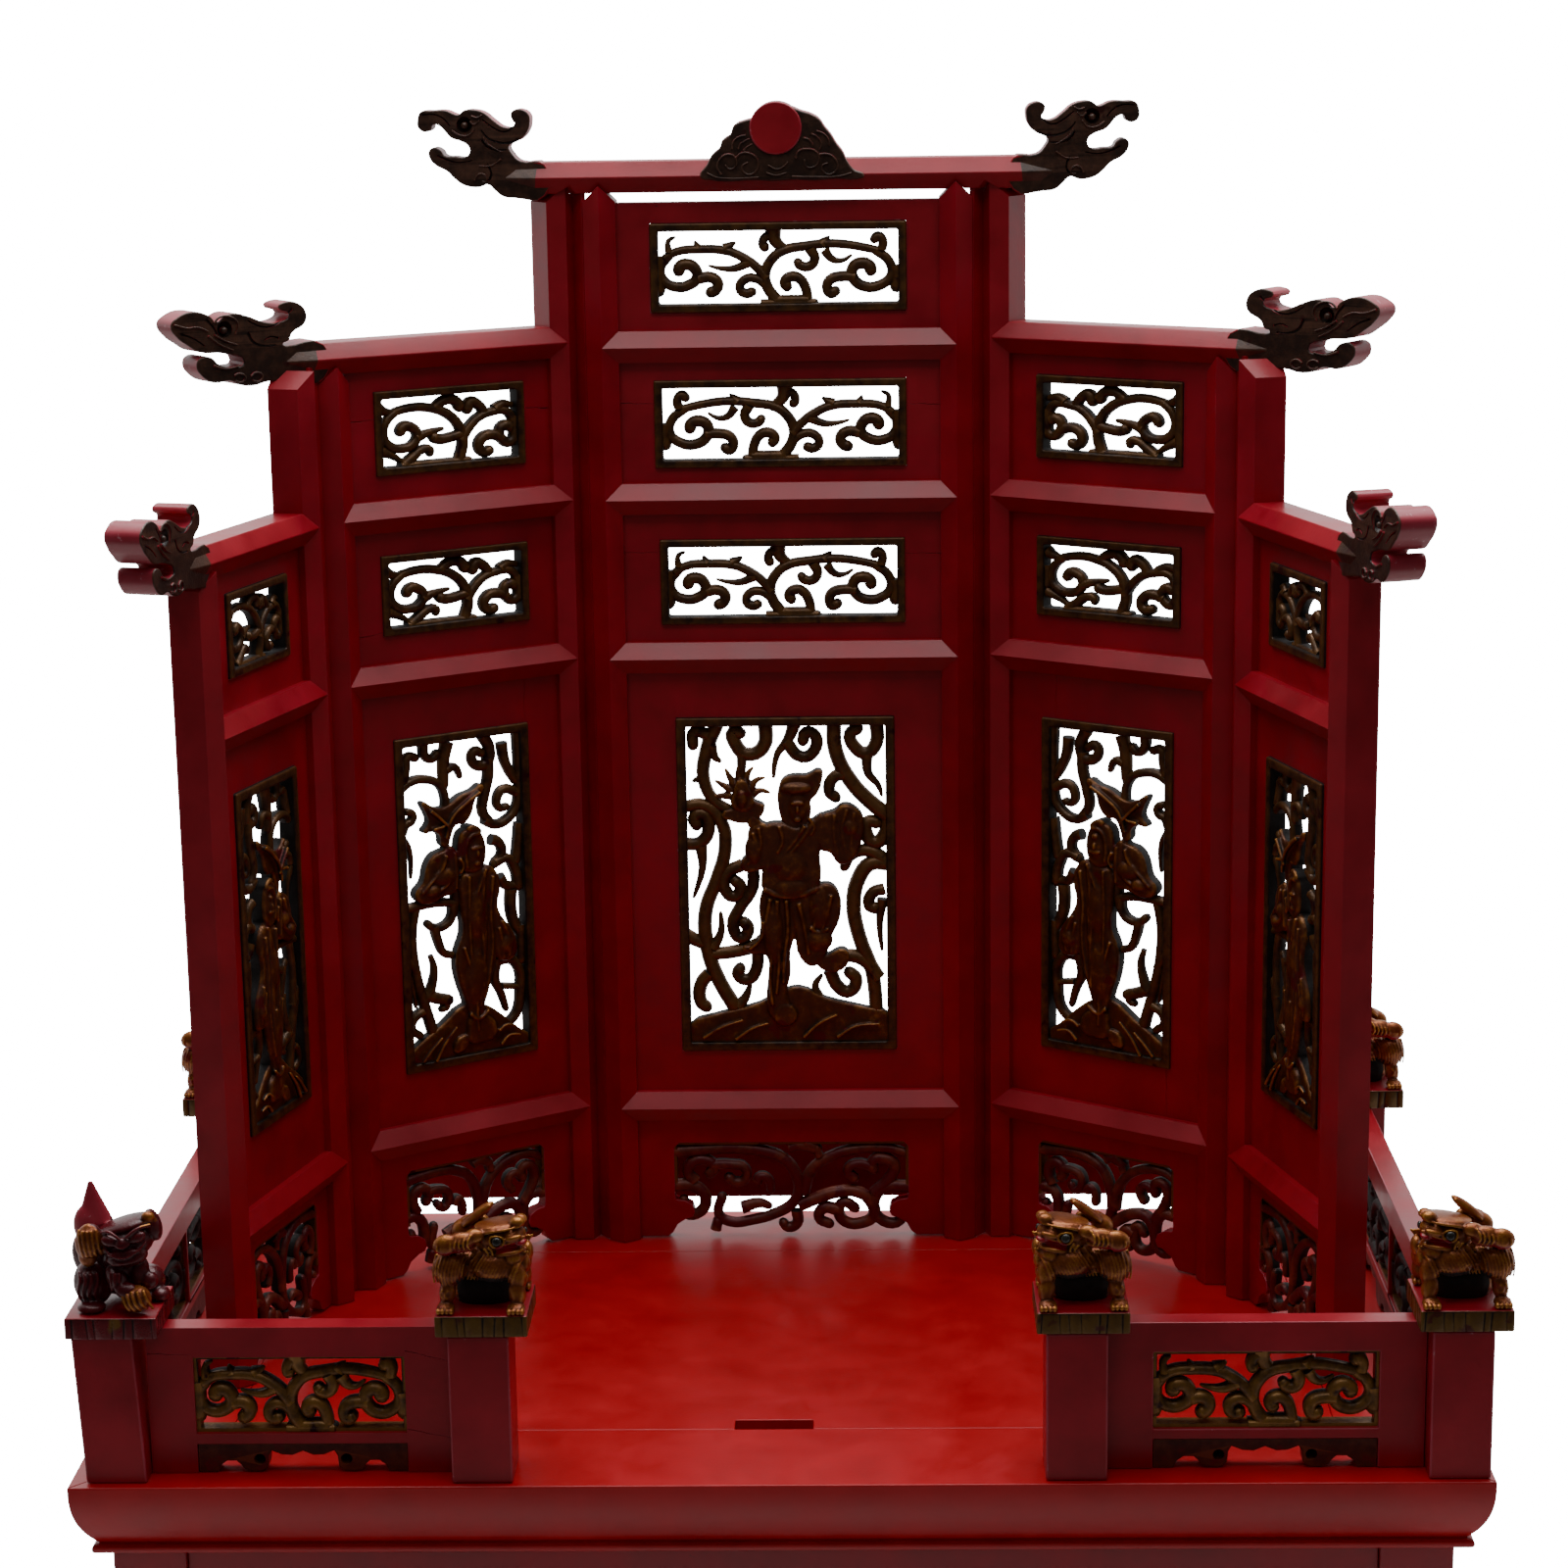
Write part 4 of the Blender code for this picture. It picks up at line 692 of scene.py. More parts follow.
# %% Boards of the screen
def block_ring(name, outer, inner, front, back):
    """A flat ring between two rectangles (x0, x1, z0, z1)."""
    ring = block(name, (outer[0], front, outer[2]), (outer[1], back, outer[3]))
    return cut(ring, block("hole", (inner[0], front - 0.01, inner[2]), (inner[1], back + 0.01, inner[3])))


def shrink(area, by):
    """The area of a window inside a border."""
    return area[0] + by, area[1] - by, area[2] + by, area[3] - by


SIDE_GAP = STILE + 0.0003
RAIL_GAP = RAIL + 0.0003
# Each board: its leaf, its side, the heights it fills, and what it leaves round its window (at the
# sides, below and above)
PANELS = {
    "scroll_centre_1": ("centre", 1, (UPPER + RAIL_GAP, 0.6194), (0.0185, 0.0097, 0.0119)),
    "scroll_centre_2": ("centre", 1, (HIGH + RAIL_GAP, UPPER - RAIL_GAP), (0.0190, 0.0082, 0.0102)),
    "scroll_centre_3": ("centre", 1, (MID + RAIL_GAP, HIGH - RAIL_GAP), (0.0205, 0.0097, 0.0148)),
    "figure_centre": ("centre", 1, (LOW + RAIL_GAP, MID - RAIL_GAP), (0.0275, 0.0242, 0.0272)),
}
for label, side in SIDES.items():
    PANELS["scroll_middle_%s_1" % label] = ("middle", side, (HIGH + RAIL_GAP, DRAGON["middle"] - RAIL_GAP),
                                            (0.0162, 0.0132, 0.0112))
    PANELS["scroll_middle_%s_2" % label] = ("middle", side, (MID + RAIL_GAP, HIGH - RAIL_GAP),
                                            (0.0167, 0.0152, 0.0132))
    PANELS["figure_middle_" + label] = ("middle", side, (LOW + RAIL_GAP, MID - RAIL_GAP),
                                        (0.0202, 0.0292, 0.0262))
    PANELS["scroll_outer_" + label] = ("outer", side, (MID + RAIL_GAP, HIGH - RAIL_GAP),
                                       (0.0180, 0.0172, 0.0117))
    PANELS["figure_outer_" + label] = ("outer", side, (LOW + RAIL_GAP, MID - RAIL_GAP),
                                       (0.0170, 0.0372, 0.0262))
# Cracks in the boards, as the old wood shrank: start and end in x and z, width, in mm
CRACKS = {
    "scroll_centre_2": [(-92.4, 505.6, -72.6, 505.1, 0.5), (92.4, 503.2, 71.6, 503.6, 0.4)],
    "scroll_centre_3": [(-92.4, 419.0, -71.0, 418.9, 0.35), (92.4, 416.9, 70.4, 417.2, 0.35)],
    "scroll_middle_left_1": [(-64.6, 504.2, -47.0, 505.1, 0.5), (64.6, 503.7, 46.8, 505.1, 0.6)],
    "scroll_middle_left_2": [(-64.6, 382.6, -47.0, 384.2, 0.5)],
    "figure_middle_left": [(42.6, 349.5, 41.6, 321.5, 0.35)],
    "figure_middle_right": [(-34.4, 349.5, -34.2, 321.5, 0.35), (40.6, 122.0, 41.0, 93.0, 0.35)],
}


def crack(x0, z0, x1, z1, wide):
    """A wedge-shaped sliver between two places on a board, a little crooked, to cut a crack with."""
    along = Vector((x1 - x0, 0, z1 - z0))
    across = Vector((-along.z, 0, along.x)).normalized() * wide / 2
    spine = [Vector((x0, 0, z0)) + along * t + across * bend
             for t, bend in ((0, 0), (0.3, 1.2), (0.5, -0.8), (0.75, 0.9), (1, 0))]
    upper = [point + across * (1 - 0.75 * i / 4) for i, point in enumerate(spine)]
    lower = [point - across * (1 - 0.75 * i / 4) for i, point in enumerate(spine)]
    outline = [(point.x, point.z) for point in upper + lower[::-1]]
    return drawn("crack", [outline], BOARD_FRONT - 0.001, BOARD_FRONT + 0.005)


WINDOWS = {}
for name, (leaf, side, (low, high), (edge, below, above)) in PANELS.items():
    half = LEAVES[leaf]["half"] - SIDE_GAP
    top = high if name == "scroll_centre_1" else high + 0.001
    board_area = (-half - 0.001, half + 0.001, low - 0.001, top)
    window = (edge - half, half - edge, low + below, high - above)
    WINDOWS[name] = window
    board = block_ring("board_" + name, board_area, window, BOARD_FRONT, BOARD_BACK)
    for sizes in CRACKS.get(name, ()):
        cut(board, crack(*(value / 1000 for value in sizes)))
    paint(board, LACQUER, WORN_AND_HIGHLIGHT)
    soften(board, 0.0005, worn=1)
    seat(board, leaf, side)
    finish(board, "red_lacquer")
    inner = shrink(window, 0.0053 if name.startswith("figure") else 0.0046)
    bead = block_ring("bead_" + name, window, inner, BOARD_FRONT - 0.0020, BOARD_BACK - 0.0004)
    paint(bead, BRONZE, SAWN_AND_SHADE)
    soften(bead, 0.0011, 3)
    # The bead's inner and back faces are painted near black as painted shade in the window.
    for face in bead.data.polygons:
        face.material_index = 1 if face.center.y > 0.0122 else 0
    seat(bead, leaf, side)
    finish(bead, "carved_board", name)
print(len(WINDOWS), "pierced windows, the widest", round(2000 * WINDOWS["scroll_centre_1"][1]), "mm")

# %% [markdown]
# Narrow strips behind the joints keep the leaves together like hinges, and close the slits between
# them. In the picture only a dark line shows there.

# %% Strips behind the joints
STRIP_DEPTH = 0.0082


def edge_place(leaf, side, way):
    """The outer (1) or inner (-1) edge of a leaf in plan, a little behind its ridges."""
    along = way * (LEAVES[leaf]["half"] + STILE - 0.0004)
    x, y = LEAVES[leaf]["at"]
    turn = math.radians(LEAVES[leaf]["turn"])
    px = x + along * math.cos(turn) + STRIP_DEPTH * math.sin(turn)
    return side * px, y - along * math.sin(turn) + STRIP_DEPTH * math.cos(turn)


for label, side in SIDES.items():
    for name, inner, outer, top in (("inner", "centre", "middle", 0.6320),
                                    ("outer", "middle", "outer", 0.5375)):
        first, second = edge_place(inner, side, 1), edge_place(outer, side, -1)
        strip = block("joint_strip_" + name + "_" + label, (0, -0.0015, 0.0004),
                      (math.dist(first, second), 0.0015, top))
        paint(strip, LACQUER)
        soften(strip, 0.0004, 1)
        settle(strip, (first[0], FRONT + first[1], TOP),
               math.atan2(second[1] - first[1], second[0] - first[0]))
        finish(strip, "red_lacquer")
print("strips behind four joints")

# %% [markdown]
# The rails that crown the leaves run past the stiles and end in dragon heads, sawn from the same
# plank. Each head is an outline followed with the saw, measured from the edge of the red paint and
# from the rail's ridge. Its sawn sides keep the rough red under-coat, its face is gilded
# and browned.

# %% Outlines of the dragon heads
CENTRE_HEAD = hundredths([(-30, 80), (110, 98), (160, 144), (174, 180), (140, 202), (99, 221), (60, 265),
    (47, 309), (52, 355), (94, 384), (138, 381), (157, 359), (149, 326), (136, 304), (160, 287), (204, 290),
    (259, 326), (315, 370), (370, 386), (425, 384), (464, 359), (486, 364), (535, 384), (618, 384),
    (679, 378), (701, 331), (696, 287), (657, 266), (624, 279), (610, 306), (574, 298), (535, 259),
    (508, 232), (447, 210), (408, 182), (403, 149), (431, 124), (491, 127), (552, 135), (569, 160),
    (613, 179), (640, 160), (640, 127), (607, 83), (535, 44), (497, 6), (447, -30), (397, -44), (348, -44),
    (304, -30), (259, -66), (215, -99), (149, -108), (-30, -100)])
SIDE_HEAD = hundredths([(-30, 84), (151, 89), (170, 100), (142, 117), (123, 157), (57, 209), (52, 270),
    (90, 317), (151, 326), (186, 300), (134, 260), (179, 222), (255, 226), (330, 261), (406, 283),
    (453, 265), (481, 243), (519, 278), (594, 304), (670, 278), (703, 235), (670, 165), (632, 130),
    (575, 87), (453, 70), (362, 16), (415, -5), (481, 12), (519, 54), (575, 52), (590, 9), (566, -43),
    (509, -83), (434, -78), (387, -104), (321, -113), (245, -96), (113, -113), (-30, -100)])
HEAD_FACE = 0.0035

# Grooves and ribs: width at the start, width at the end (mm) and the points they run through
CENTRE_GROOVES = drawing([
    (1.8, 0.9, [(110, 220), (170, 200), (240, 205), (295, 230), (330, 270)]),
    (1.2, 0.8, [(135, 295), (195, 262), (260, 285), (320, 330)]),
    (2, 1, [(325, 220), (300, 185), (245, 162), (190, 162)]),
    (0.9, 0.9, [(675, 362), (600, 362), (550, 340), (515, 300)]),
    (1.2, 0.7, [(590, 135), (520, 105), (460, 95), (390, 105)]),
    (1.4, 1, [(295, -10), (280, 30), (300, 80)]),
])
CENTRE_RIBS = drawing([
    (1.1, 0.9, [(500, 272), (460, 247), (405, 245), (372, 278)]),
    (1, 0.8, [(395, 322), (370, 305), (342, 325)]),
    (1, 0.8, [(385, 350), (350, 342), (325, 355)]),
    (1.2, 0.8, [(380, -8), (362, 20), (333, 30), (308, 10), (312, -12), (334, -14)]),
    (1.3, 0.6, [(322, 235), (305, 205), (260, 172), (215, 150)]),
    (0.9, 0.5, [(220, 110), (280, 75), (350, 75)]),
])
SIDE_GROOVES = drawing([
    (1.8, 1, [(340, 175), (312, 120), (260, 98), (210, 98)]),
    (1.4, 0.9, [(120, 290), (160, 245), (210, 205), (275, 203), (335, 240)]),
    (1, 0.7, [(190, 135), (230, 145), (260, 130)]),
    (1.6, 0.8, [(535, 260), (500, 210), (475, 150), (420, 125)]),
    (1.2, 0.8, [(660, 190), (605, 165), (550, 120)]),
])
SIDE_RIBS = drawing([
    (1.1, 0.8, [(530, 172), (480, 124), (415, 86)]),
    (1, 0.7, [(500, 175), (450, 138), (395, 116)]),
    (1, 0.8, [(690, 242), (630, 220), (575, 220), (530, 195)]),
    (1.2, 0.8, [(510, 10), (450, -12), (390, 0)]),
    (1.3, 0.9, [(500, 240), (470, 268), (410, 260), (385, 220), (400, 170)]),
    (1.2, 1, [(415, -50), (387, -42), (362, -66), (380, -88), (410, -80)]),
    (1.2, 1, [(335, -60), (306, -42), (280, -66), (300, -92), (326, -84)]),
])
print(len(CENTRE_HEAD), "and", len(SIDE_HEAD), "corners")

# %% [markdown]
# The face is carved into the flat plank: a bowl for the eye with a ball left in it, grooves cut
# with a gouge for the mane and the mouth, and thin ribs for lips and brow. Grooves are round cords
# subtracted from the face, ribs are the same cords left standing half out of it.

# %% Carved dragon heads
def in_cm(lines, stretch=1.0):
    """Widths in millimetres and points in centimetres, to metres."""
    return [(a / 1000, b / 1000, [(x * stretch / 100, z / 100) for x, z in points])
            for a, b, points in lines]


def dragon_head(outline, grooves, ribs, eye, stretch):
    """A head that looks along +x, from the paint's edge at x = 0 and the ridge at z = 0."""
    outline = [(x * stretch / 100, z / 100) for x, z in outline]
    head = drawn("head", [outline], HEAD_FACE, BACK, 0.0008, smooth=True, steps=4)
    x, z, size = (v / 100 for v in eye)
    x *= stretch
    cut(head, ball("bowl", (x, HEAD_FACE - 0.001, z), (size, 0.0045, size)))
    for line in in_cm(grooves, stretch):
        cut(head, strokes("groove", [line], 0.0024, HEAD_FACE))
    raised = strokes("ribs", in_cm(ribs, stretch), 0.0024, HEAD_FACE + 0.0001)
    eyeball = ball("eyeball", (x, HEAD_FACE + 0.0016, z - 0.0005), (size * 0.45, 0.0022, size * 0.45))
    return join([head, raised, eyeball], "head")


# Place and radius of the eye, in centimetres
CENTRE_EYE, SIDE_EYE = (4.28, 3.03, 0.46), (4.5, 2.0, 0.46)
heads = {"centre": dragon_head(CENTRE_HEAD, CENTRE_GROOVES, CENTRE_RIBS, CENTRE_EYE, 0.97),
         "middle": dragon_head(SIDE_HEAD, SIDE_GROOVES, SIDE_RIBS, SIDE_EYE, 1.22),
         "outer": dragon_head(SIDE_HEAD, SIDE_GROOVES, SIDE_RIBS, SIDE_EYE, 1.0)}
for name, head in heads.items():
    print(name, "head", [round(v * 1000) for v in head.dimensions], "mm,", len(head.data.polygons), "faces")

# %% [markdown]
# The rail between the heads has the same ridge as the other bars. Where it turns into a neck the
# ridge sinks into the face. Notches under it take the pointed tops of the stiles, cut a little wide,
# so a dark line shows round each point.

# %% Dragon rails
NECK_RUN = 0.022
NECKS = {"middle": MIDDLE_HALF + 0.0095, "outer": OUTER_HALF + 0.003}


def crown_spans(leaf, side):
    """Both ends of a crown rail: its place along the leaf, and True for a neck, False for a mitre."""
    if leaf == "centre":
        return (-0.134, True), (0.136, True)
    mitre = (side * (0.0002 - LEAVES[leaf]["half"]), False)
    neck = (side * NECKS[leaf], True)
    return (mitre, neck) if side > 0 else (neck, mitre)


def crown_rail(leaf, spans, ridge):
    """A ridged rail and the heads at its necks."""
    (left, left_neck), (right, right_neck) = spans
    bar = ridged_bar("crown", (left - NECK_RUN * left_neck, ridge - RAIL),
                     (right + NECK_RUN * right_neck, ridge + RAIL), upright=False)
    for x, neck, way in ((left, left_neck, -1), (right, right_neck, 1)):
        if neck:
            slice_off(bar, (x + way * 0.002, 0, ridge), (1, 0, 0.12 * way), keep=True)
            pick(bar, lambda c: c.y < HEAD_FACE and way * (c.x - x) > NECK_RUN * 0.9)
            shift_picked((0, HEAD_FACE + 0.0004, 0))
            pick(bar, lambda c: c.y > BACK - 0.001 and way * (c.x - x) > 0.001)
            shift_picked((0, -0.0005, 0))
        else:
            for tilt in (-1, 1):
                slice_off(bar, (x, 0, ridge), (way, 0, tilt))
    soften(bar, 0.0007, worn=1, angle=25)
    pieces = [bar]
    for x, neck, way in ((left, left_neck, -1), (right, right_neck, 1)):
        if neck:
            head = copy_of(heads[leaf], "head") if way > 0 else mirrored(heads[leaf], "head")
            pieces.append(settle(head, (x, 0, ridge)))
    return pieces


def paint_crown(obj, spans):
    """Red lacquer between the necks and on sawn sides, browned gilding on the faces."""
    paint(obj, LACQUER, WORN_AND_HIGHLIGHT, DRAGON_GILT)
    (left, left_neck), (right, right_neck) = spans
    for face in obj.data.polygons:
        x = face.center.x
        if (left_neck and x < left - 0.0015) or (right_neck and x > right + 0.0015):
            face.material_index = 2 if face.normal.y < -0.15 else 1


def notch(obj, leaf, x, tip, side):
    """Cuts the bed of a stile's pointed top."""
    reach, wide = tip + 0.0004, 0.0132
    outline = [(x - wide, reach - wide), (x + wide, reach - wide), (x, reach)]
    cut(obj, seat(drawn("notch", [outline], -0.01, BACK - 0.004), leaf, side))


for leaf, side, name in PLACES:
    spans = crown_spans(leaf, side)
    pieces = crown_rail(leaf, spans, DRAGON[leaf])
    for piece in pieces:
        paint_crown(piece, spans)
        seat(piece, leaf, side)
    half = LEAVES[leaf]["half"]
    beds = [(leaf, side * half, TIPS[leaf][1], side)]
    if leaf == "centre":
        beds += [("centre", -half, TIPS["centre"][0], 1)]
        beds += [("middle", -other * MIDDLE_HALF, TIPS["middle"][0], other) for other in (-1, 1)]
    if leaf == "middle":
        beds += [("outer", -side * OUTER_HALF, TIPS["outer"][0], side)]
    for bed in beds:
        notch(pieces[0], *bed)
    crown = join(pieces, "crown_" + name)
    finish(crown, "dragon_gilding", "dragon_" + name, smooth=35)
    print(crown.name, len(crown.data.polygons), "faces")
for head in heads.values():
    bpy.data.objects.remove(head)

# %% [markdown]
# The crest is a cloud bank with a red sun disc in front, glued over the middle of the top rail. The
# clouds are cut as paired curls with a few nested arcs, dark with old varnish, and the disc is plain
# red lacquer. The upward faces of the clouds take the pale edge lacquer as a painted highlight.

# %% Crest
CLOUDS = hundredths([(-428, -2), (-386, 70), (-360, 121), (-316, 160), (-300, 202), (-256, 232),
    (-233, 283), (-179, 307), (-120, 320), (60, 385), (145, 357), (199, 340), (246, 310), (273, 270),
    (307, 229), (340, 175), (374, 130), (401, 74), (435, 30), (495, -7), (460, -26), (340, -22), (220, -30),
    (100, -25), (-20, -30), (-140, -24), (-260, -30), (-360, -22)])
CLOUD_RIBS = drawing([
    (1.3, 1, [(-310, 10), (-330, 55), (-310, 100), (-270, 122), (-230, 104), (-227, 60), (-260, 40),
        (-285, 62)]),
    (1.3, 1, [(-226, 100), (-190, 128), (-140, 122), (-105, 90), (-105, 40), (-140, 10), (-180, 20),
        (-190, 55), (-160, 75)]),
    (1.3, 1, [(110, 95), (130, 135), (175, 145), (225, 130), (242, 85), (210, 45), (170, 50), (160, 85)]),
    (1.3, 1, [(245, 115), (285, 116), (325, 96), (345, 50), (320, 10), (275, 10), (260, 50), (290, 66)]),
    (1, 0.8, [(-45, 58), (5, 36), (50, 56), (66, 76)]),
    (1, 0.8, [(-55, 18), (0, 2), (55, 16)]),
    (1, 0.8, [(-246, 150), (-238, 190), (-210, 216), (-170, 226)]),
    (1, 0.8, [(-210, 150), (-198, 178), (-170, 196), (-146, 206)]),
    (1, 0.8, [(-180, 142), (-160, 162), (-134, 176)]),
    (1, 0.8, [(154, 208), (188, 196), (208, 164)]),
    (1, 0.8, [(200, 230), (236, 208), (256, 174), (246, 142)]),
    (1, 0.8, [(230, 245), (270, 228), (296, 196), (300, 162)]),
    (1, 0.8, [(-390, 20), (-360, 5), (-320, -8), (-100, -6)]),
    (1, 0.8, [(90, -5), (240, -10), (360, -6), (420, 10)]),
])
cloud = drawn("clouds", [hundredths(CLOUDS)], -0.0036, BACK - 0.0006, 0.0012, smooth=True, steps=4)
cut(cloud, block("bed", (-0.09, 0.0006, -0.05), (0.09, 0.05, RAIL + 0.0003)))
ribs = strokes("cloud_ribs", in_cm(CLOUD_RIBS), 0.0024, -0.0034)
crest = join([cloud, ribs], "crest_clouds")
paint(crest, DRAGON_GILT, WORN_AND_HIGHLIGHT)
# Upward faces of the clouds get the pale lacquer: a painted highlight.
for face in crest.data.polygons:
    painted_highlight_up = face.normal.z > 0.3 and face.normal.y > -0.3 and face.center.z > RAIL
    face.material_index = 1 if painted_highlight_up else 0
bpy.ops.object.select_all(action="DESELECT")
bpy.ops.mesh.primitive_cylinder_add(vertices=72, radius=0.0147, depth=0.0275,
                                    location=(0, 0.0087, 0.0263), rotation=(math.pi / 2, 0, 0))
sun = bpy.context.object
sun.name = "sun_disc"
bpy.ops.object.transform_apply(location=True, rotation=True, scale=True)
paint(sun, LACQUER, WORN_AND_HIGHLIGHT)
soften(sun, 0.0009, 3, worn=1)
for piece in (crest, sun):
    settle(piece, (0, 0, DRAGON["centre"]))
    seat(piece, "centre", 1)
finish(crest, "dragon_gilding", "crest", smooth=40)
finish(sun, "red_lacquer")
print("crest", [round(v * 1000) for v in crest.dimensions], "mm")

# %% [markdown]
# The windows hold scrollwork that was pierced with a fret saw and rounded over on the front only,
# so the stems are soft and bronze in front and have straight walls behind, painted near black: bare
# sawn wood darkened as painted shade. Each stem is a curve with a width at both ends, drawn in half
# widths and half heights of its window, and pushed through the board. Two drawings serve every
# scroll window, turned over left to right where the carver did so.

# %% Drawings of the scrollwork
WIDE_SCROLL = drawing([
    (4.2, 3, [(-1, -90), (-9, -55), (-11, -20), (-5, 20), (5, 42), (22, 52), (42, 58), (64, 51), (82, 38)]),
    (3.4, 4.6, [(80, 39), (91, 10), (93, -25), (85, -50), (72, -56), (62, -36), (61, -8), (68, 6), (75, -2),
        (76, -13)]),
    (5.5, 5, [(97, 0), (99, -30), (97, -55)]),
    (3.6, 4, [(24, -86), (22, -55), (17, -32), (10, -27), (5, -42), (7, -53)]),
    (6, 3.2, [(-4, 98), (-2, 66), (6, 44)]),
    (3, 3.6, [(-3, 84), (-10, 78), (-12.5, 60), (-11, 50)]),
    (3.4, 3, [(-10, -30), (-19, 2), (-31, 28), (-42, 42), (-66, 47), (-83, 42), (-93, 25)]),
    (3.4, 4.6, [(-90, 30), (-97, 0), (-95, -32), (-85, -50), (-74, -46), (-67, -26), (-69, -2), (-75, 8),
        (-81, 2), (-82, -8)]),
    (5, 5, [(-99, 30), (-99, -60)]),
    (4, 4.2, [(-66, -30), (-56, -26), (-50, -42), (-52, -60), (-56, -66)]),
    (2.6, 1, [(-90, 40), (-90, 70), (-85, 79)]),
    (3.6, 0.8, [(-24, 12), (-36, -4), (-48, -3), (-57, 4)]),
    (3.2, 3.6, [(-10, -50), (-18, -32), (-27, -32), (-32, -55), (-27, -70), (-22, -66)]),
    (3.8, 3.8, [(63, -30), (52, -28), (42, -38), (40, -60), (43, -72), (47, -66)]),
    (3.8, 3.4, [(26, 45), (30, 20), (26, 0), (18, 2), (16, 10)]),
    (3.6, 1, [(38, 42), (44, 18), (52, 13), (60, 26)]),
    (3.4, 3.4, [(85, 40), (86, 64), (82, 76), (79, 68)]),
    (4.4, 0.8, [(36, 56), (42, 76)]),
    (3.6, 1.2, [(-66, 50), (-68, 66)]),
    (4, 1.4, [(-44, 48), (-36, 62)]),
    (2.6, 2.6, [(-15, -95), (30, -95)]),
    (3.6, 3.6, [(-4, -88), (24, -88)]),
])
SHORT_SCROLL = drawing([
    (4.6, 3.4, [(16, -92), (22, -45), (17, 3), (0, 40), (-26, 60), (-50, 64), (-74, 56)]),
    (3.4, 4.4, [(-72, 58), (-87, 30), (-92, -6), (-84, -36), (-66, -48), (-48, -34), (-44, -8), (-52, 10),
        (-63, 13), (-68, 0)]),
    (4.6, 1.6, [(-46, -22), (-28, -10), (-6, -2)]),
    (4, 4.4, [(20, -20), (4, -28), (-14, -30), (-20, -24)]),
    (4.2, 3.2, [(-64, -94), (-50, -72), (-38, -56), (-26, -58), (-26, -68)]),
    (4.4, 1.8, [(-98, -50), (-80, -66), (-64, -88)]),
    (4, 4.8, [(-18, 58), (-2, 78), (13, 74), (19, 56)]),
    (5, 2.6, [(-98, 70), (-90, 60), (-80, 55)]),
    (3.8, 3.4, [(20, -40), (30, -8), (44, 20), (64, 34), (86, 34), (97, 10)]),
    (4, 4.4, [(95, 16), (99, -28), (90, -56), (80, -46), (76, -22), (84, -6), (92, -12)]),
    (4.4, 4.2, [(80, -40), (62, -30), (50, -38), (45, -60), (52, -78), (61, -74)]),
    (4.2, 4.8, [(56, 30), (46, 58), (34, 66), (30, 48)]),
    (4.4, 2.6, [(70, 40), (82, 54), (95, 50)]),
    (5, 5, [(99, 20), (99, -50)]),
    (5, 5, [(-99, 30), (-99, -30)]),
    (3, 3, [(-70, -96), (30, -96)]),
])
print(len(WIDE_SCROLL), "stems in the wide drawing,", len(SHORT_SCROLL), "in the short one")

# %% [markdown]
# A drawing is laid on its window, its stems made a little heavier, and what faces forwards is
# gilded. The sawn walls of the stems are painted near black, as bare wood and painted shade.

# %% Carved scroll windows
def on_window(window, lines, flip=1, weight=1.0):
    """Drawing units to metres on a window; widths are in millimetres."""
    x0, x1, z0, z1 = window
    half_x, half_z = (x1 - x0) / 2, (z1 - z0) / 2
    x, z = (x0 + x1) / 2, (z0 + z1) / 2
    return [(a * weight / 1000, b * weight / 1000,
             [(x + flip * u * half_x, z + v * half_z) for u, v in points]) for a, b, points in lines]


def two_tone(obj, front, wall, limit=-0.25):
    """Gilding on what faces forwards; the rest is sawn wood painted near black, as painted shade."""
    paint(obj, front, wall)
    for face in obj.data.polygons:
        face.material_index = 0 if face.normal.y < limit else 1


# The drawing and the weight of its stems on each leaf, and the windows that have it turned over
SCROLLS = {"centre": (WIDE_SCROLL, 1.6), "middle": (SHORT_SCROLL, 1.45), "outer": (SHORT_SCROLL, 1.2)}
TURNED_OVER = ("scroll_centre_2", "scroll_middle_right_1", "scroll_outer_right")
for name, window in WINDOWS.items():
    if not name.startswith("scroll"):
        continue
    leaf, side = PANELS[name][:2]
    stems, weight = SCROLLS[leaf]
    lines = on_window(shrink(window, 0.0036), stems, -1 if name in TURNED_OVER else 1, weight)
    scroll = strokes("carving_" + name, lines, 0.0084, 0.0144)
    # Walls of the stems painted near black as painted shade.
    two_tone(scroll, BRONZE, SAWN_AND_SHADE)
    seat(scroll, leaf, side)
    finish(scroll, "carved_board")
print("last scroll:", len(scroll.data.polygons), "faces")

# %% [markdown]
# The lowest board of each leaf is an arch on two short legs. A thin border runs round its upper
# part, stems with curled ends fill it, and the legs end in scrolled feet that stand on the
# platform. The legs and the border are red, the stems are brown with walls of bare wood painted
# near black as painted shade.

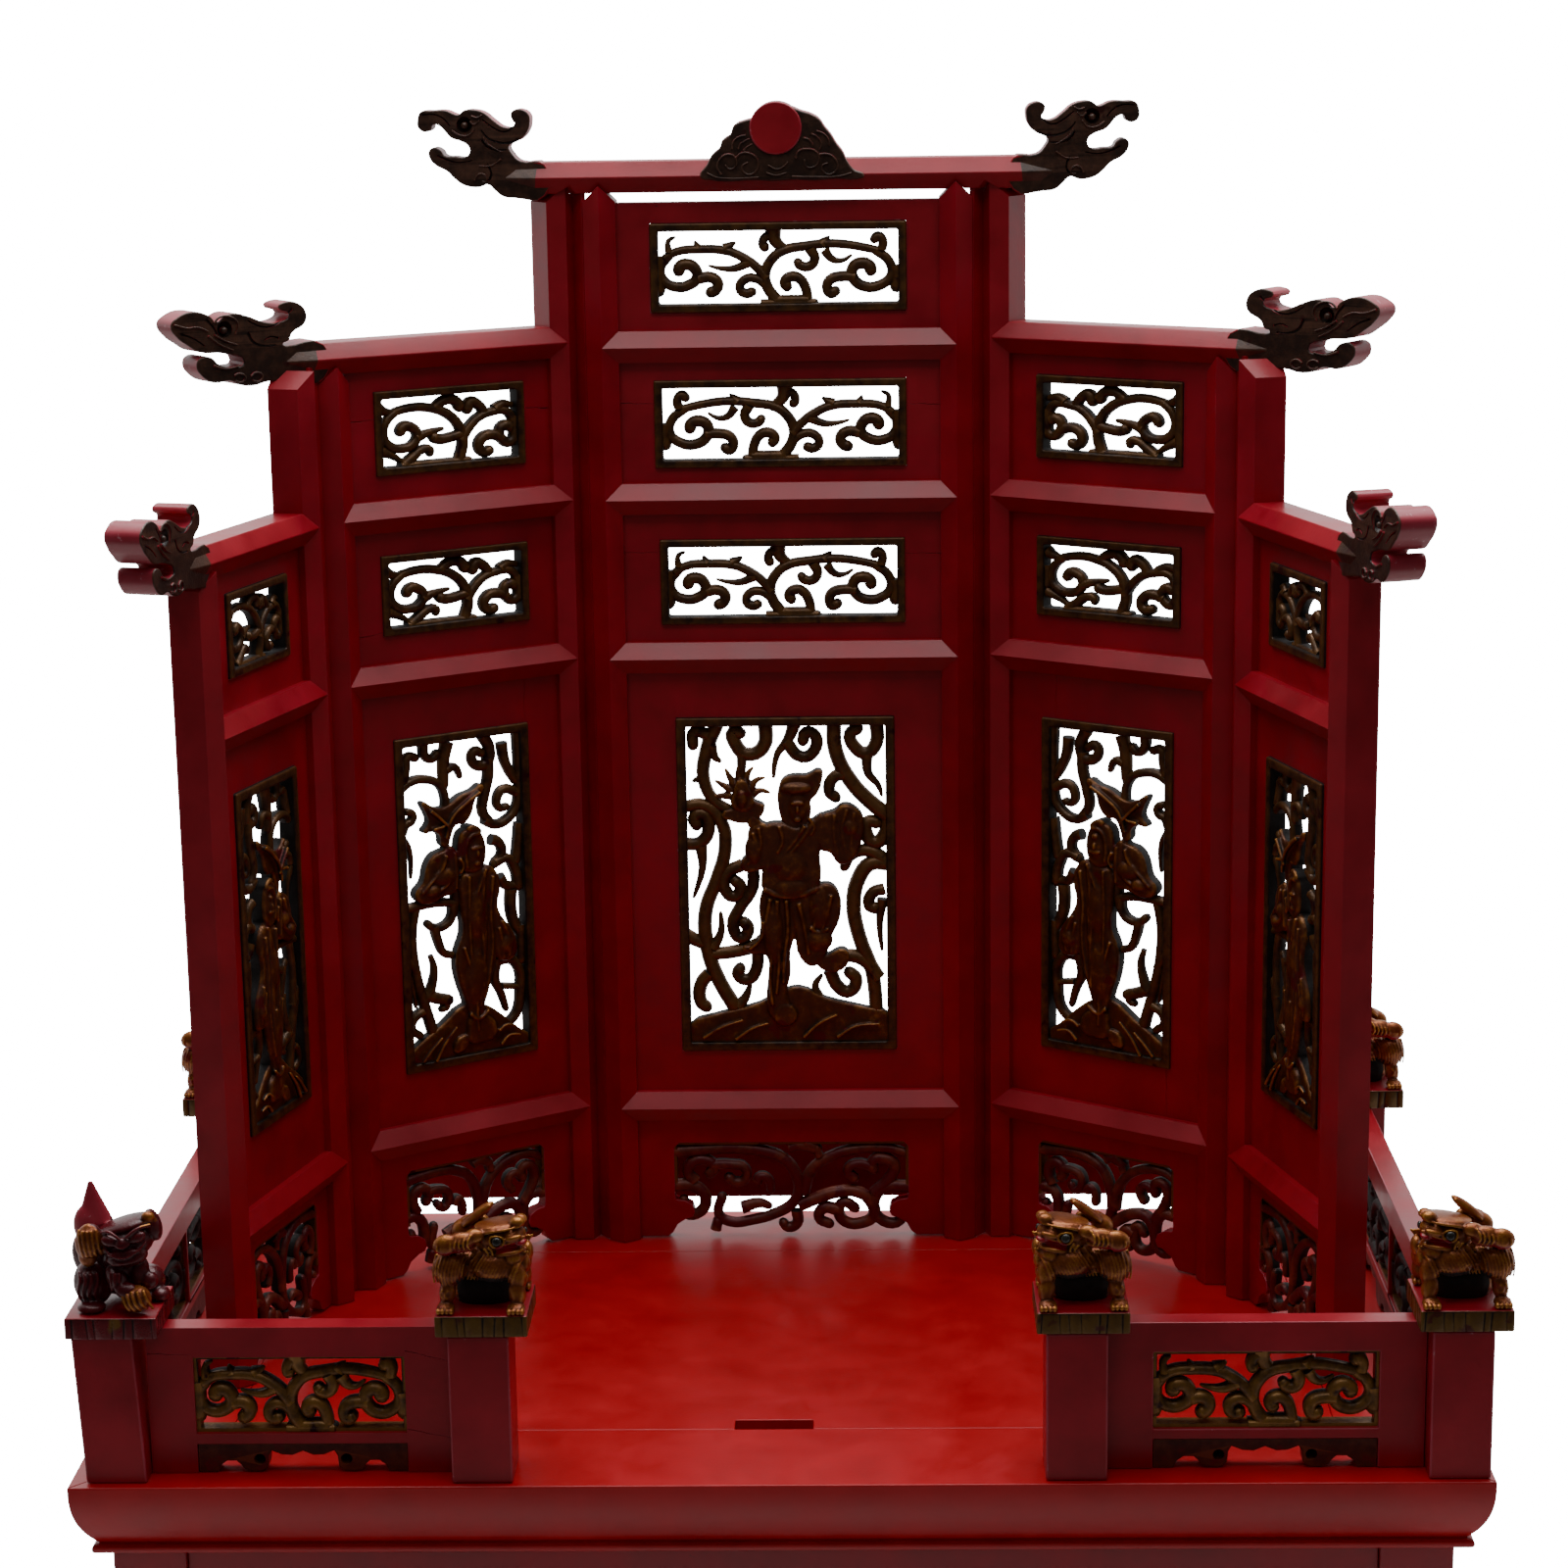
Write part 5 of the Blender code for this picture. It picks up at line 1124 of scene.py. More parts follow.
# %% Drawings of the lowest boards
ARCH_STEMS = drawing([
    (4.6, 3.6, [(-100, 78), (-78, 82), (-50, 85), (-25, 78), (-6, 60), (4, 25), (6, -8), (0, -36),
        (-14, -56), (-34, -70), (-53, -74), (-63, -58), (-60, -20)]),
    (4.2, 4, [(-83, 14), (-89, 36), (-84, 56), (-72, 58), (-66, 44), (-70, 30)]),
    (3.6, 3.4, [(-68, 50), (-52, 50), (-40, 42), (-40, 18), (-48, 12), (-54, 22)]),
    (3.4, 3, [(-30, 12), (-27, 24), (-20, 18), (-18, -6)]),
    (5, 3, [(-43, -44), (-28, -34), (-20, -40)]),
    (4.4, 3.4, [(10, -10), (17, 36), (34, 66), (60, 82), (82, 82), (100, 70)]),
    (4.2, 4, [(70, -14), (85, 22), (88, 46), (80, 60), (70, 56), (70, 36)]),
    (3.4, 3.4, [(70, 42), (56, 50), (48, 36), (54, 18)]),
    (5, 4, [(6, -40), (22, -24), (38, -12), (57, -12), (68, -34), (70, -62), (60, -78), (46, -76),
        (40, -54), (44, -34), (54, -46)]),
    (4.6, 3.6, [(40, -50), (27, -46), (23, -66), (32, -80)]),
    (4, 4, [(-2, 84), (6, 90), (22, 82)]),
    (3, 3, [(24, 66), (20, 86), (12, 96)]),
    (4, 3.6, [(-66, -90), (-64, -70)]),
    (4.6, 3.8, [(-100, 6), (-84, 4), (-74, -24), (-82, -56), (-94, -50), (-93, -26)]),
    (4.6, 3.8, [(100, 0), (80, -2), (70, -36), (78, -74), (93, -72), (92, -44)]),
    (4.2, 3.4, [(4, -50), (4, -78), (-4, -86), (-8, -76)]),
])
print(len(ARCH_STEMS), "stems")

# %% [markdown]
# The arch, its stems and its border are made leaf by leaf. Its feet stop just above the platform.

# %% Lowest boards
APRON_FOOT = 0.0008
# The inner edge of a leg with its scrolled foot, in tenths of a millimetre from the window's edge
SCROLLED_FOOT = [(15, 35), (-12, 85), (-62, 118), (-102, 128), (-118, 160), (-105, 205), (-60, 232),
                 (-6, 240), (0, 262)]


def arch_board(half, side_margin, top_margin):
    """The red arch: a top strip, two legs with scrolled feet, cut from one board."""
    inner = half - side_margin
    high = LOW - RAIL + 0.0007
    top = high - top_margin
    leg = [(half, high), (half, APRON_FOOT), (inner + 0.0045, APRON_FOOT)]
    leg += [(inner + x / 10000, z / 10000) for x, z in SCROLLED_FOOT]
    leg += [(inner, top - 0.003), (inner - 0.003, top)]
    outline = leg + [(-x, z) for x, z in leg[::-1]]
    return drawn("arch", [outline], BOARD_FRONT, BOARD_BACK), (-inner, inner, APRON_FOOT, top)


# Beside and above the window, and the weight of the stems
APRONS = {"centre": (0.0220, 0.0162, 1.7), "middle": (0.0187, 0.0122, 1.5),
          "outer": (0.0155, 0.0082, 1.3)}
for leaf, side, name in PLACES:
    side_margin, top_margin, weight = APRONS[leaf]
    arch, area = arch_board(LEAVES[leaf]["half"] - SIDE_GAP + 0.001, side_margin, top_margin)
    paint(arch, LACQUER, WORN_AND_HIGHLIGHT)
    soften(arch, 0.0005, worn=1)
    seat(arch, leaf, side)
    finish(arch, "red_lacquer", "apron_" + name)
    lines = on_window(area, ARCH_STEMS, side if leaf == "outer" else 1, weight)
    stems = strokes("apron_carving_" + name, lines, 0.0085, 0.0143)
    # Walls of the stems painted near black as painted shade.
    two_tone(stems, RED_BROWN, SAWN_AND_SHADE)
    seat(stems, leaf, side)
    finish(stems, "carved_board")
    x0, x1, z0, z1 = area
    lip = block_ring("apron_bead_" + name, (x0, x1, 0.03, z1), (x0 + 0.0016, x1 - 0.0016, 0.02, z1 - 0.0016),
                     BOARD_FRONT + 0.0006, BOARD_BACK - 0.0006)
    paint(lip, BRONZE)
    seat(lip, leaf, side)
    finish(lip, "carved_board", smooth=30)
print("lowest boards stand", APRON_FOOT * 1000, "mm clear of the platform")

# %% [markdown]
# The tall windows hold robed figures on a mound, with vines round them. A figure is built up from
# overlapping pieces as a carver sees it (skirt, coat, sleeves, head, hair), each with its own
# depth, then fused by a fine remesh and eased, so that all edges look cut by hand. The faces are
# small, calm and general.

# %% Figures: building and fusing
def fuse(pieces, name, voxel, easing, keep):
    """Fuses overlapping pieces into one skin, smooths it and thins its faces."""
    whole = join(pieces, name)
    finish_modifier(whole, "REMESH", mode="VOXEL", voxel_size=voxel)
    finish_modifier(whole, "SMOOTH", factor=0.5, iterations=easing)
    finish_modifier(whole, "DECIMATE", ratio=keep)
    return whole


def in_area(area, points):
    """Window shares, -1 to 1 across and up, to metres."""
    x0, x1, z0, z1 = area
    return [((x0 + x1) / 2 + u * (x1 - x0) / 2, (z0 + z1) / 2 + v * (z1 - z0) / 2) for u, v in points]


# The striding figure, from the bottom up: front of the piece and its rounding (mm), its outline
STRIDER = drawing([
    (10.2, 1.4, [(-97, -100), (-97, -87), (-73, -81), (-29, -74), (-8, -67), (10, -64), (36, -71),
        (74, -77), (99, -82), (99, -100)]),
    (8.4, 2.2, [(-21, -2), (8, -5), (10, -25), (2, -42), (2, -56), (-2, -68), (4, -80), (-4, -87),
        (-17, -83), (-22, -72), (-20, -56), (-22, -44), (-36, -43), (-46, -39), (-32, -36), (-27, -25),
        (-28, -13)]),
    (7.8, 2.4, [(4, -5), (25, -1), (41, 1), (50, -5), (51, -21), (43, -32), (39, -41), (25, -51), (12, -46),
        (7, -30)]),
    (8.2, 1.4, [(28, -48), (41, -43), (55, -40), (60, -45), (53, -53), (37, -54)]),
    (7.8, 1.4, [(-13, -78), (-2, -74), (8, -81), (2, -87), (-11, -87)]),
    (7.2, 2.6, [(-23, 36), (-4, 39), (10, 36), (26, 41), (37, 44), (36, 32), (32, 18), (33, 4), (27, -5),
        (1, -8), (-22, -5), (-24, 11), (-20, 24)]),
    (7.4, 2, [(-18, 37), (-28, 39), (-38, 32), (-36, 22), (-46, 13), (-42, 9), (-29, 9), (-18, 14),
        (-15, 27)]),
    (7, 2.2, [(34, 43), (46, 46), (55, 50), (67, 48), (75, 41), (73, 27), (63, 15), (51, 13), (42, 20),
        (33, 22)]),
    (8, 1.4, [(-34, 43), (-25, 40), (-23, 34), (-32, 34), (-38, 39)]),
    (8.6, 1.3, [(-63, 44), (-48, 48), (-22, 50), (-24, 43), (-35, 39), (-54, 40)]),
    (7.8, 2, [(-52, 48), (-51, 58), (-43, 66), (-35, 59), (-32, 48)]),
    (8.4, 1.6, [(-8, 50), (-7, 60), (-2, 66), (8, 68), (20, 68), (34, 71), (35, 64), (30, 56), (24, 52),
        (24, 44), (18, 37), (0, 37)]),
])
STRIDER_FOLDS = drawing([
    (2.2, 1.4, [(26, 39), (15, 29), (0, 18), (-12, 11)]),
    (2, 1.4, [(18, 37), (8, 28), (-8, 16)]),
    (1.8, 1.4, [(-7, 37), (-4, 28), (-9, 21)]),
    (3, 2.6, [(-23, -2), (-7, -6), (11, -6), (29, -2)]),
    (2, 1.4, [(-17, -8), (-21, -25), (-17, -42), (-18, -60), (-16, -74)]),
    (2, 1.4, [(-10, -9), (-11, -28), (-9, -46), (-12, -67)]),
    (2, 1.4, [(-1, -9), (0, -28), (-4, -46), (-5, -60)]),
    (1.8, 1.2, [(-24, -22), (-26, -32), (-37, -39)]),
    (2.2, 1.4, [(11, -11), (16, -25), (20, -42)]),
    (2.2, 1.4, [(43, -6), (37, -21), (27, -39)]),
    (1.8, 1.2, [(30, -4), (28, -18), (23, -32)]),
    (1.8, 1.2, [(22, -26), (30, -29), (39, -27)]),
    (2, 1.4, [(59, 47), (54, 35), (58, 21)]),
    (2, 1.4, [(66, 45), (64, 35), (63, 24)]),
    (1.8, 1.2, [(47, 44), (46, 32), (50, 20)]),
    (1.8, 1.2, [(-27, 36), (-25, 26), (-32, 15)]),
    (1.8, 1.2, [(-33, 33), (-29, 24), (-38, 14)]),
    (1.6, 1.4, [(22, 42), (27, 37), (24, 32)]),
    (1.4, 1, [(-85, -95), (-66, -88), (-46, -84)]),
    (1.4, 1, [(-53, -96), (-36, -89), (-21, -86)]),
    (1.4, 1, [(14, -95), (30, -86), (47, -81)]),
    (1.4, 1, [(47, -95), (66, -88), (89, -87)]),
])
# Where cloth swells over the body: its place, then half its width and half its height
STRIDER_SWELLS = [(0.03, 0.12, 0.2, 0.2), (0.04, -0.02, 0.2, 0.12), (0.32, -0.14, 0.12, 0.24),
                  (-0.14, -0.3, 0.1, 0.34), (0.3, -0.34, 0.14, 0.12), (-0.32, 0.22, 0.09, 0.16),
                  (0.62, 0.36, 0.1, 0.1), (0.1, 0.6, 0.16, 0.06), (-0.43, 0.54, 0.06, 0.1)]
STANDER_SWELLS = [(0.14, -0.1, 0.2, 0.4), (0.1, -0.5, 0.2, 0.5), (0.6, -0.32, 0.14, 0.16),
                  (-0.36, 0.16, 0.22, 0.14), (-0.56, 0.08, 0.14, 0.1)]
# Seven leaves round the thing that the striding figure holds up
RAYS = [(5.6, 1.6, [(-0.44 + 0.1 * math.cos(a), 0.55 + 0.06 * math.sin(a)),
                    (-0.44 + 0.19 * math.cos(a + 0.12), 0.56 + 0.13 * math.sin(a + 0.12)),
                    (-0.44 + 0.28 * math.cos(a + 0.05), 0.55 + 0.19 * math.sin(a + 0.05))])
        for a in (math.radians(d) for d in (2, 32, 62, 90, 118, 148, 178))]
CENTRE_VINES = drawing([
    (3.6, 4.4, [(-100, 48), (-80, 49), (-64, 39), (-60, 24), (-69, 3), (-80, -15), (-81, -34), (-72, -56),
        (-54, -77)]),
    (4.2, 3.2, [(-65.5, 100), (-77, 82), (-80, 65), (-69, 51), (-56, 46)]),
    (3.6, 3.4, [(-75, 92), (-88, 94), (-90, 86)]),
    (3, 1.2, [(-72, 86), (-68, 78), (-64, 76)]),
    (3, 1, [(-80, 66), (-90, 64)]),
    (4.2, 3.8, [(-19, 100), (-22, 84), (-38, 80), (-48, 86), (-50, 94), (-44, 93)]),
    (3.2, 2, [(-42, 82), (-43, 72), (-43, 66)]),
    (4, 1, [(10, 100), (2, 88), (-8, 80), (-12, 66)]),
    (3.6, 3.4, [(0, 88), (16, 78), (28, 82), (29, 91), (20, 93), (17, 88)]),
    (4.2, 4.6, [(47, 100), (48.5, 82), (63, 63), (82, 50), (100, 41)]),
    (3.6, 3.4, [(58, 67), (48, 66), (42, 57), (48, 53)]),
    (4, 3.6, [(88, 100), (88, 86), (78, 80), (67, 84), (63, 92), (70, 95)]),
    (3.4, 0.9, [(79, 80), (80, 68), (90, 60), (93, 54)]),
    (4.4, 3.6, [(100, 42), (96, 30), (86, 25), (78, 30), (80, 38), (88, 37)]),
    (4.6, 4, [(100, 12), (82, 12), (70, 3), (64.5, -13), (70, -34), (82, -55), (86, -80)]),
    (4.4, 3, [(95, 14), (80, 20), (62, 17), (56, 10)]),
    (3.4, 3.6, [(95, -4), (84, -6), (80, -14), (86, -16)]),
    (3.2, 0.9, [(93, -10), (90, -25), (92, -42)]),
    (4.6, 3.6, [(88, -60), (74, -48), (50, -46), (36, -50)]),
    (4, 3.8, [(40, -54), (50, -66), (60, -68), (66, -60), (60, -56)]),
    (3.8, 3.6, [(-43, 12), (-60, 6), (-62, -2), (-52, -8), (-46, -2), (-51, 2)]),
    (3.6, 3.6, [(-35, 16), (-34, -2), (-48, -16), (-54, -26), (-46, -34), (-39, -28), (-43, -24)]),
    (3.4, 1, [(-74, -40), (-66, -30), (-66, -18)]),
    (3.8, 4.2, [(-77, -44), (-50, -42), (-30, -38), (-22, -34)]),
    (3.6, 3.6, [(-30, -42), (-32, -54), (-40, -60), (-50, -57), (-48, -53)]),
    (3.8, 1.2, [(-50, -77), (-42, -70), (-38, -63)]),
    (4, 3.8, [(-78, -56), (-86, -62), (-87, -74), (-82, -77)]),
    (3.8, 3.8, [(-100, 25), (-84, 26), (-76, 36), (-83, 44), (-90, 41), (-88, 37)]),
    (3.6, 0.9, [(-84, 24), (-83, 10), (-92, -8)]),
    (4.4, 3.4, [(-100, -32), (-82, -38)]),
    (3, 1.2, [(30, -72), (26, -64), (32, -58)]),
])
print(len(STRIDER), "pieces,", len(CENTRE_VINES), "vines")

# %% [markdown]
# Two standing figures, mirror images but for small things, fill the middle windows, and the outer
# windows repeat them narrower. They look to the side, hold one sleeve out on a pillow-like bag and
# let the other hang.

# %% Standing figure and its vines
STANDER = drawing([
    (10.4, 1.4, [(-98, -100), (-100, -93), (-82, -86), (-46, -77), (-8, -67), (25, -69), (56, -78),
        (79, -87), (105, -96), (105, -101)]),
    (7.8, 2.6, [(-8, 15), (10, 16), (32, 19), (46, 16), (55, 8), (48, -7), (48, -25), (45, -40), (39, -49),
        (30, -61), (23, -70), (25, -80), (26, -89), (-6, -89), (-4, -75), (-8, -65), (-18, -52), (-22, -40),
        (-18, -31), (-9, -22), (-11, -4)]),
    (7.4, 2.2, [(45, 10), (54, 5), (49, -7), (55, -14), (72, -24), (79, -32), (75, -41), (61, -43),
        (47, -41), (42, -32), (42, -17), (41, -3)]),
    (8, 2.2, [(-18, 32), (-14, 22), (-12, 11), (-18, 5), (-38, 3), (-62, 0), (-80, 3), (-83, 8), (-70, 14),
        (-64, 23), (-52, 30), (-37, 32), (-28, 33)]),
    (7.2, 1.8, [(-28, 34), (-18, 32), (-14, 25), (-14, 13), (-21, 8), (-27, 16), (-30, 25)]),
    (7.6, 2, [(-14, 22), (-13, 33), (-7, 41), (2, 43), (11, 44), (23, 41), (31, 35), (33, 27), (29, 20),
        (19, 16), (3, 16), (-7, 18)]),
    (7, 1.4, [(2, 43), (6, 45), (13, 45), (23, 43), (26, 40), (17, 40), (8, 41)]),
    (9.6, 1.6, [(-65, 63), (-51, 60), (-37, 58), (-20, 60), (-3, 64), (17, 66), (33, 69), (35, 66),
        (21, 60), (13, 51), (0, 46), (-12, 46), (-21, 39), (-28, 33), (-37, 35), (-39, 41), (-51, 44),
        (-65, 44), (-56, 50), (-61, 57)]),
    (7.6, 2, [(-1, -74), (29, -76), (41, -82), (39, -89), (18, -92), (-6, -90), (-7, -82)]),
    (8, 1.4, [(-31, -93), (-13, -85), (-4, -88), (-25, -96)]),
])
STANDER_FOLDS = drawing([
    (1.6, 1.1, [(2, 14), (0, -20), (4, -50), (10, -70)]),
    (1.5, 1, [(20, -15), (22, -42), (14, -68)]),
    (1.8, 1.4, [(-4, -72), (10, -76), (26, -72)]),
    (1.5, 1, [(-10, -30), (2, -48), (6, -66)]),
    (1.6, 1.2, [(30, 17), (20, 8), (10, -2)]),
    (2, 1.4, [(22, 40), (6, 38), (-2, 30), (0, 20)]),
    (2, 1.4, [(27, 15), (23, -5), (25, -24), (21, -42), (12, -64)]),
    (1.8, 1.2, [(41, 12), (35, -10), (37, -28), (31, -47), (21, -63)]),
    (1.8, 1.2, [(13, -35), (12, -49), (8, -68), (9, -83)]),
    (2, 1.4, [(53, -17), (64, -28), (64, -39)]),
    (1.8, 1.2, [(48, -21), (53, -31), (55, -40)]),
    (2, 1.4, [(-20, 30), (-19, 19), (-19, 8)]),
    (1.8, 1.2, [(-33, 29), (-43, 20), (-61, 13), (-73, 8)]),
    (1.8, 1.2, [(-25, 15), (-37, 10), (-57, 6)]),
    (1.6, 1.2, [(-56, 58), (-38, 51), (-25, 45)]),
    (1.6, 1.2, [(25, 65), (0, 59), (-23, 51), (-32, 40)]),
    (1.6, 1.2, [(-53, 46), (-36, 47)]),
    (1.6, 1.2, [(-12, 26), (-7, 21), (-11, 17)]),
    (1.4, 1, [(-83, -97), (-70, -91), (-51, -84)]),
    (1.4, 1, [(-62, -98), (-49, -89), (-27, -79)]),
    (1.4, 1, [(45, -95), (60, -90), (78, -91)]),
    (1.4, 1, [(42, -86), (56, -83), (71, -85)]),
])
SIDE_VINES = drawing([
    (3.9, 2.8, [(-92, 76), (-87, 84), (-82, 91), (-69, 90)]),
    (4.7, 3.7, [(-18, 97), (-24, 87), (-26, 71)]),
    (3.2, 2.6, [(-57, 98), (-55, 91), (-44, 88), (-35, 91)]),
    (2.8, 2.6, [(-100, 71), (-78, 76), (-55, 76), (-34, 72), (-25, 63), (-26, 56)]),
    (3.2, 1.9, [(-23, 80), (-7, 81), (1, 75)]),
    (4.1, 3, [(40, 98), (50, 90), (46, 81), (30, 80), (21, 85), (27, 89), (38, 87)]),
    (3.7, 3.2, [(47, 84), (47, 73), (40, 62), (36, 51), (47, 44)]),
    (3.2, 2.8, [(37, 46), (56, 42), (75, 44), (91, 51), (95, 60)]),
    (3.2, 2.4, [(93, 60), (72, 63), (61, 59), (63, 52), (76, 52)]),
    (3.7, 2.8, [(71, 92), (74, 82), (83, 73), (92, 67)]),
    (3.2, 3, [(96, 98), (97, 80), (97, 60)]),
    (3, 2.4, [(-96, 45), (-90, 50), (-80, 52), (-78, 56), (-87, 58)]),
    (2.6, 0.9, [(-100, 44), (-88, 37), (-83, 28), (-84, 17)]),
    (3.7, 3, [(47, 33), (59, 31), (65, 24), (51, 17)]),
    (3.2, 3.2, [(52, 18), (72, 20), (86, 12), (90, 1)]),
    (2.8, 2.8, [(95, 41), (91, 28), (87, 17)]),
    (3.7, 2.8, [(60, 9), (70, 3), (89, 2)]),
    (4.1, 3.7, [(79, 0), (77, -10), (82, -21), (93, -29)]),
    (3, 3, [(91, -23), (91, -38), (90, -46)]),
    (3.7, 2.2, [(51, -42), (47, -55), (56, -64), (64, -75)]),
    (3.4, 3, [(49, -44), (72, -44), (87, -51), (88, -64), (82, -78), (65, -85)]),
    (1.9, 1.7, [(57, -60), (83, -62)]),
    (2.8, 2.8, [(-97, -2), (-71, -1), (-38, -1), (-15, -3)]),
    (3.2, 3.7, [(-78, -1), (-86, -17), (-85, -34), (-79, -49), (-68, -66), (-57, -82)]),
    (3, 2.6, [(-19, -2), (-21, -11), (-34, -16), (-51, -16), (-60, -13)]),
    (3, 2.4, [(-50, -15), (-44, -25), (-35, -33), (-23, -35)]),
    (3.2, 3, [(-108, -29), (-93, -35), (-80, -43)]),
    (1.7, 3.7, [(-57, -33), (-52, -41), (-56, -51), (-64, -59)]),
    (3.9, 3.7, [(-63, -58), (-46, -61), (-30, -63)]),
    (3, 2.2, [(-46, -60), (-34, -66), (-42, -68)]),
    (3, 2.6, [(-72, -67), (-89, -71), (-92, -77), (-79, -82)]),
    (2.2, 0.9, [(-100, -35), (-91, -48), (-83, -64)]),
    (3.2, 2.8, [(-14, 7), (-14, -2), (-18, -9)]),
])
print(len(STANDER), "pieces,", len(SIDE_VINES), "vines")

# %% [markdown]
# Each figure and its vines are built in the place of their window. The head is a ball with a small
# ball each for nose, brow and chin.

# %% Figures in their windows
def stems_in(area, lines, weight=1):
    """Stems of a drawing laid on an area, their widths in millimetres made heavier."""
    return [(a * weight / 1000, b * weight / 1000, in_area(area, points)) for a, b, points in lines]


def figure(area, pieces, folds, swells, face):
    """All the overlapping pieces of one figure."""
    made = []
    for front, rounding, outline in pieces:
        made.append(drawn("robe", [in_area(area, outline)], front / 1000, BOARD_BACK - 0.0006,
                          rounding / 1000, smooth=True, steps=3))
    half_x = (area[1] - area[0]) / 2
    made.append(strokes("folds", stems_in(area, folds, 1.2), 0.0032, 0.0078))
    for u, v, wide, tall in swells:
        (x, z) = in_area(area, [(u, v)])[0]
        made.append(ball("swell", (x, 0.0094, z), (abs(wide * half_x), 0.0038, abs(tall * half_x))))
    (x, z), wide, tall = in_area(area, [face[:2]])[0], face[2] * half_x, face[3] * half_x
    made.append(ball("face", (x, 0.0098, z), (wide, 0.0034, tall)))
    made.append(ball("nose", (x, 0.0064, z - tall * 0.05), (wide * 0.18, 0.0013, tall * 0.22), 12, 8))
    made.append(ball("brow", (x, 0.0066, z + tall * 0.3), (wide * 0.66, 0.001, tall * 0.12), 12, 8))
    made.append(ball("chin", (x, 0.0070, z - tall * 0.66), (wide * 0.34, 0.0012, tall * 0.16), 12, 8))
    return made


# Pieces, folds, swellings, vines, the face (its place and half sizes) and the weight of the vines
FIGURES = {"centre": (STRIDER, STRIDER_FOLDS, STRIDER_SWELLS, CENTRE_VINES, (0.11, 0.48, 0.1, 0.17), 2.1),
           "middle": (STANDER, STANDER_FOLDS, STANDER_SWELLS, SIDE_VINES, (0.16, 0.28, 0.15, 0.24), 1.9)}
FIGURES["outer"] = FIGURES["middle"][:5] + (1.7,)
for name, window in WINDOWS.items():
    if not name.startswith("figure"):
        continue
    leaf, side = PANELS[name][:2]
    pieces, folds, swells, vines, face, weight = FIGURES[leaf]
    turn = -side if leaf == "middle" else side
    x0, x1, z0, z1 = shrink(window, 0.0034)
    area = (x0, x1, z0, z1) if turn > 0 else (x1, x0, z0, z1)
    built = figure(area, pieces, folds, swells, face)
    if leaf == "centre":
        built.append(strokes("rays", stems_in(area, RAYS), 0.006, 0.013))
    body = fuse(built, "figure_carving_" + name, 0.00055, 3, 0.30)
    # Sawn faces of the figure and its vines are painted near black as painted shade.
    two_tone(body, ROBE, SAWN_AND_SHADE, -0.12)
    stems = strokes("vines_" + name, stems_in(area, vines, weight), 0.0080, 0.0146)
    two_tone(stems, BRONZE, SAWN_AND_SHADE)
    for piece in (body, stems):
        seat(piece, leaf, side)
        finish(piece, "carved_board", smooth=60)
    print(body.name, len(body.data.polygons), "faces,", stems.name, len(stems.data.polygons))

# %% [markdown]
# A low fence runs round the platform and leaves a gate in front. Its posts are square blocks that
# stand on the platform. The left front post leans a little, as the old glue let it.

# %% Fence posts
POST = 0.031
# Middle of the post across, its front, and how far its top leans
POSTS = {"gate_left": (-0.1495, 0.0035, 0.0), "gate_right": (0.150, 0.0035, 0.0),
         "front_left": (-0.3355, 0.0055, -0.0037), "front_right": (0.342, 0.0035, 0.0),
         "rear_left": (-0.342, 0.373, 0.0), "rear_right": (0.342, 0.373, 0.0)}
for name, (x, front, lean) in POSTS.items():
    post = block("fence_post_" + name, (x - POST / 2, FRONT + front, TOP + 0.0003),
                 (x + POST / 2, FRONT + front + POST, TOP + 0.0785))
    if lean:
        pick(post, lambda corner: corner.z > TOP + 0.05)
        shift_picked((lean, 0, 0))
    paint(post, LACQUER, WORN_AND_HIGHLIGHT)
    soften(post, 0.0011, worn=1)
    finish(post, "red_lacquer", "post_" + name)
print("posts are", round(POST * 1000), "mm square and 78 mm high")

# %% [markdown]
# Between the posts stand boards with a pierced window, the same scroll as the screen's wide windows,
# seen here from above so that its dark walls show, painted near black as painted shade. Its gilding
# is painted brighter than the screen's, as painted light. A thin red strip runs under the window and a
# sawn skirt with two curls and shallow lobes fills the gap down to the platform.

# %% Fence boards
FENCE_DEPTH = 0.0125
WINDOW_LOW, WINDOW_HIGH, STRIP, FENCE_TOP = 0.0215, 0.0627, 0.016, 0.0787
# Half of the skirt's lower edge: share of the half width, height in millimetres
SKIRT_EDGE = [(-1.0, 0.4), (-0.82, 0.4), (-0.79, 4.0), (-0.73, 6.4), (-0.64, 6.4), (-0.6, 4.4),
              (-0.57, 2.0), (-0.5, 0.5), (-0.4, 0.6), (-0.34, 3.0), (-0.33, 9.0), (-0.3, 11.8),
              (-0.2, 9.6), (-0.1, 9.3), (0.0, 11.6)]


def skirt(half, count):
    """A sawn skirt with, for each window, brackets, curls and lobes; x runs over the opening."""
    wide = half / count
    outline, curls = [], []
    for i in range(count):
        x = -half + wide * (2 * i + 1)
        edge = SKIRT_EDGE + [(-u, v) for u, v in SKIRT_EDGE[-2::-1]]
        outline += [(x + u * wide, v / 1000) for u, v in edge]
        curls += [x - 0.415 * wide, x + 0.415 * wide]
    outline += [(half, STRIP - 0.0002), (-half, STRIP - 0.0002)]
    board = drawn("skirt", [outline], 0.0008, FENCE_DEPTH - 0.0008, 0.0005)
    for x in curls:
        cut(board, ball("hole", (x, 0.0008, 0.0072), (0.0030, 0.0075, 0.0030), 16, 8))
    return board


# Cracks in the fence boards: start and end in x and z, in mm
FENCE_CRACKS = {"low_fence_front_left": [(54.2, 23.4, 77.0, 18.6), (54.2, 65.8, 77.0, 60.0),
                                         (-77.0, 64.8, -54.2, 64.2)]}


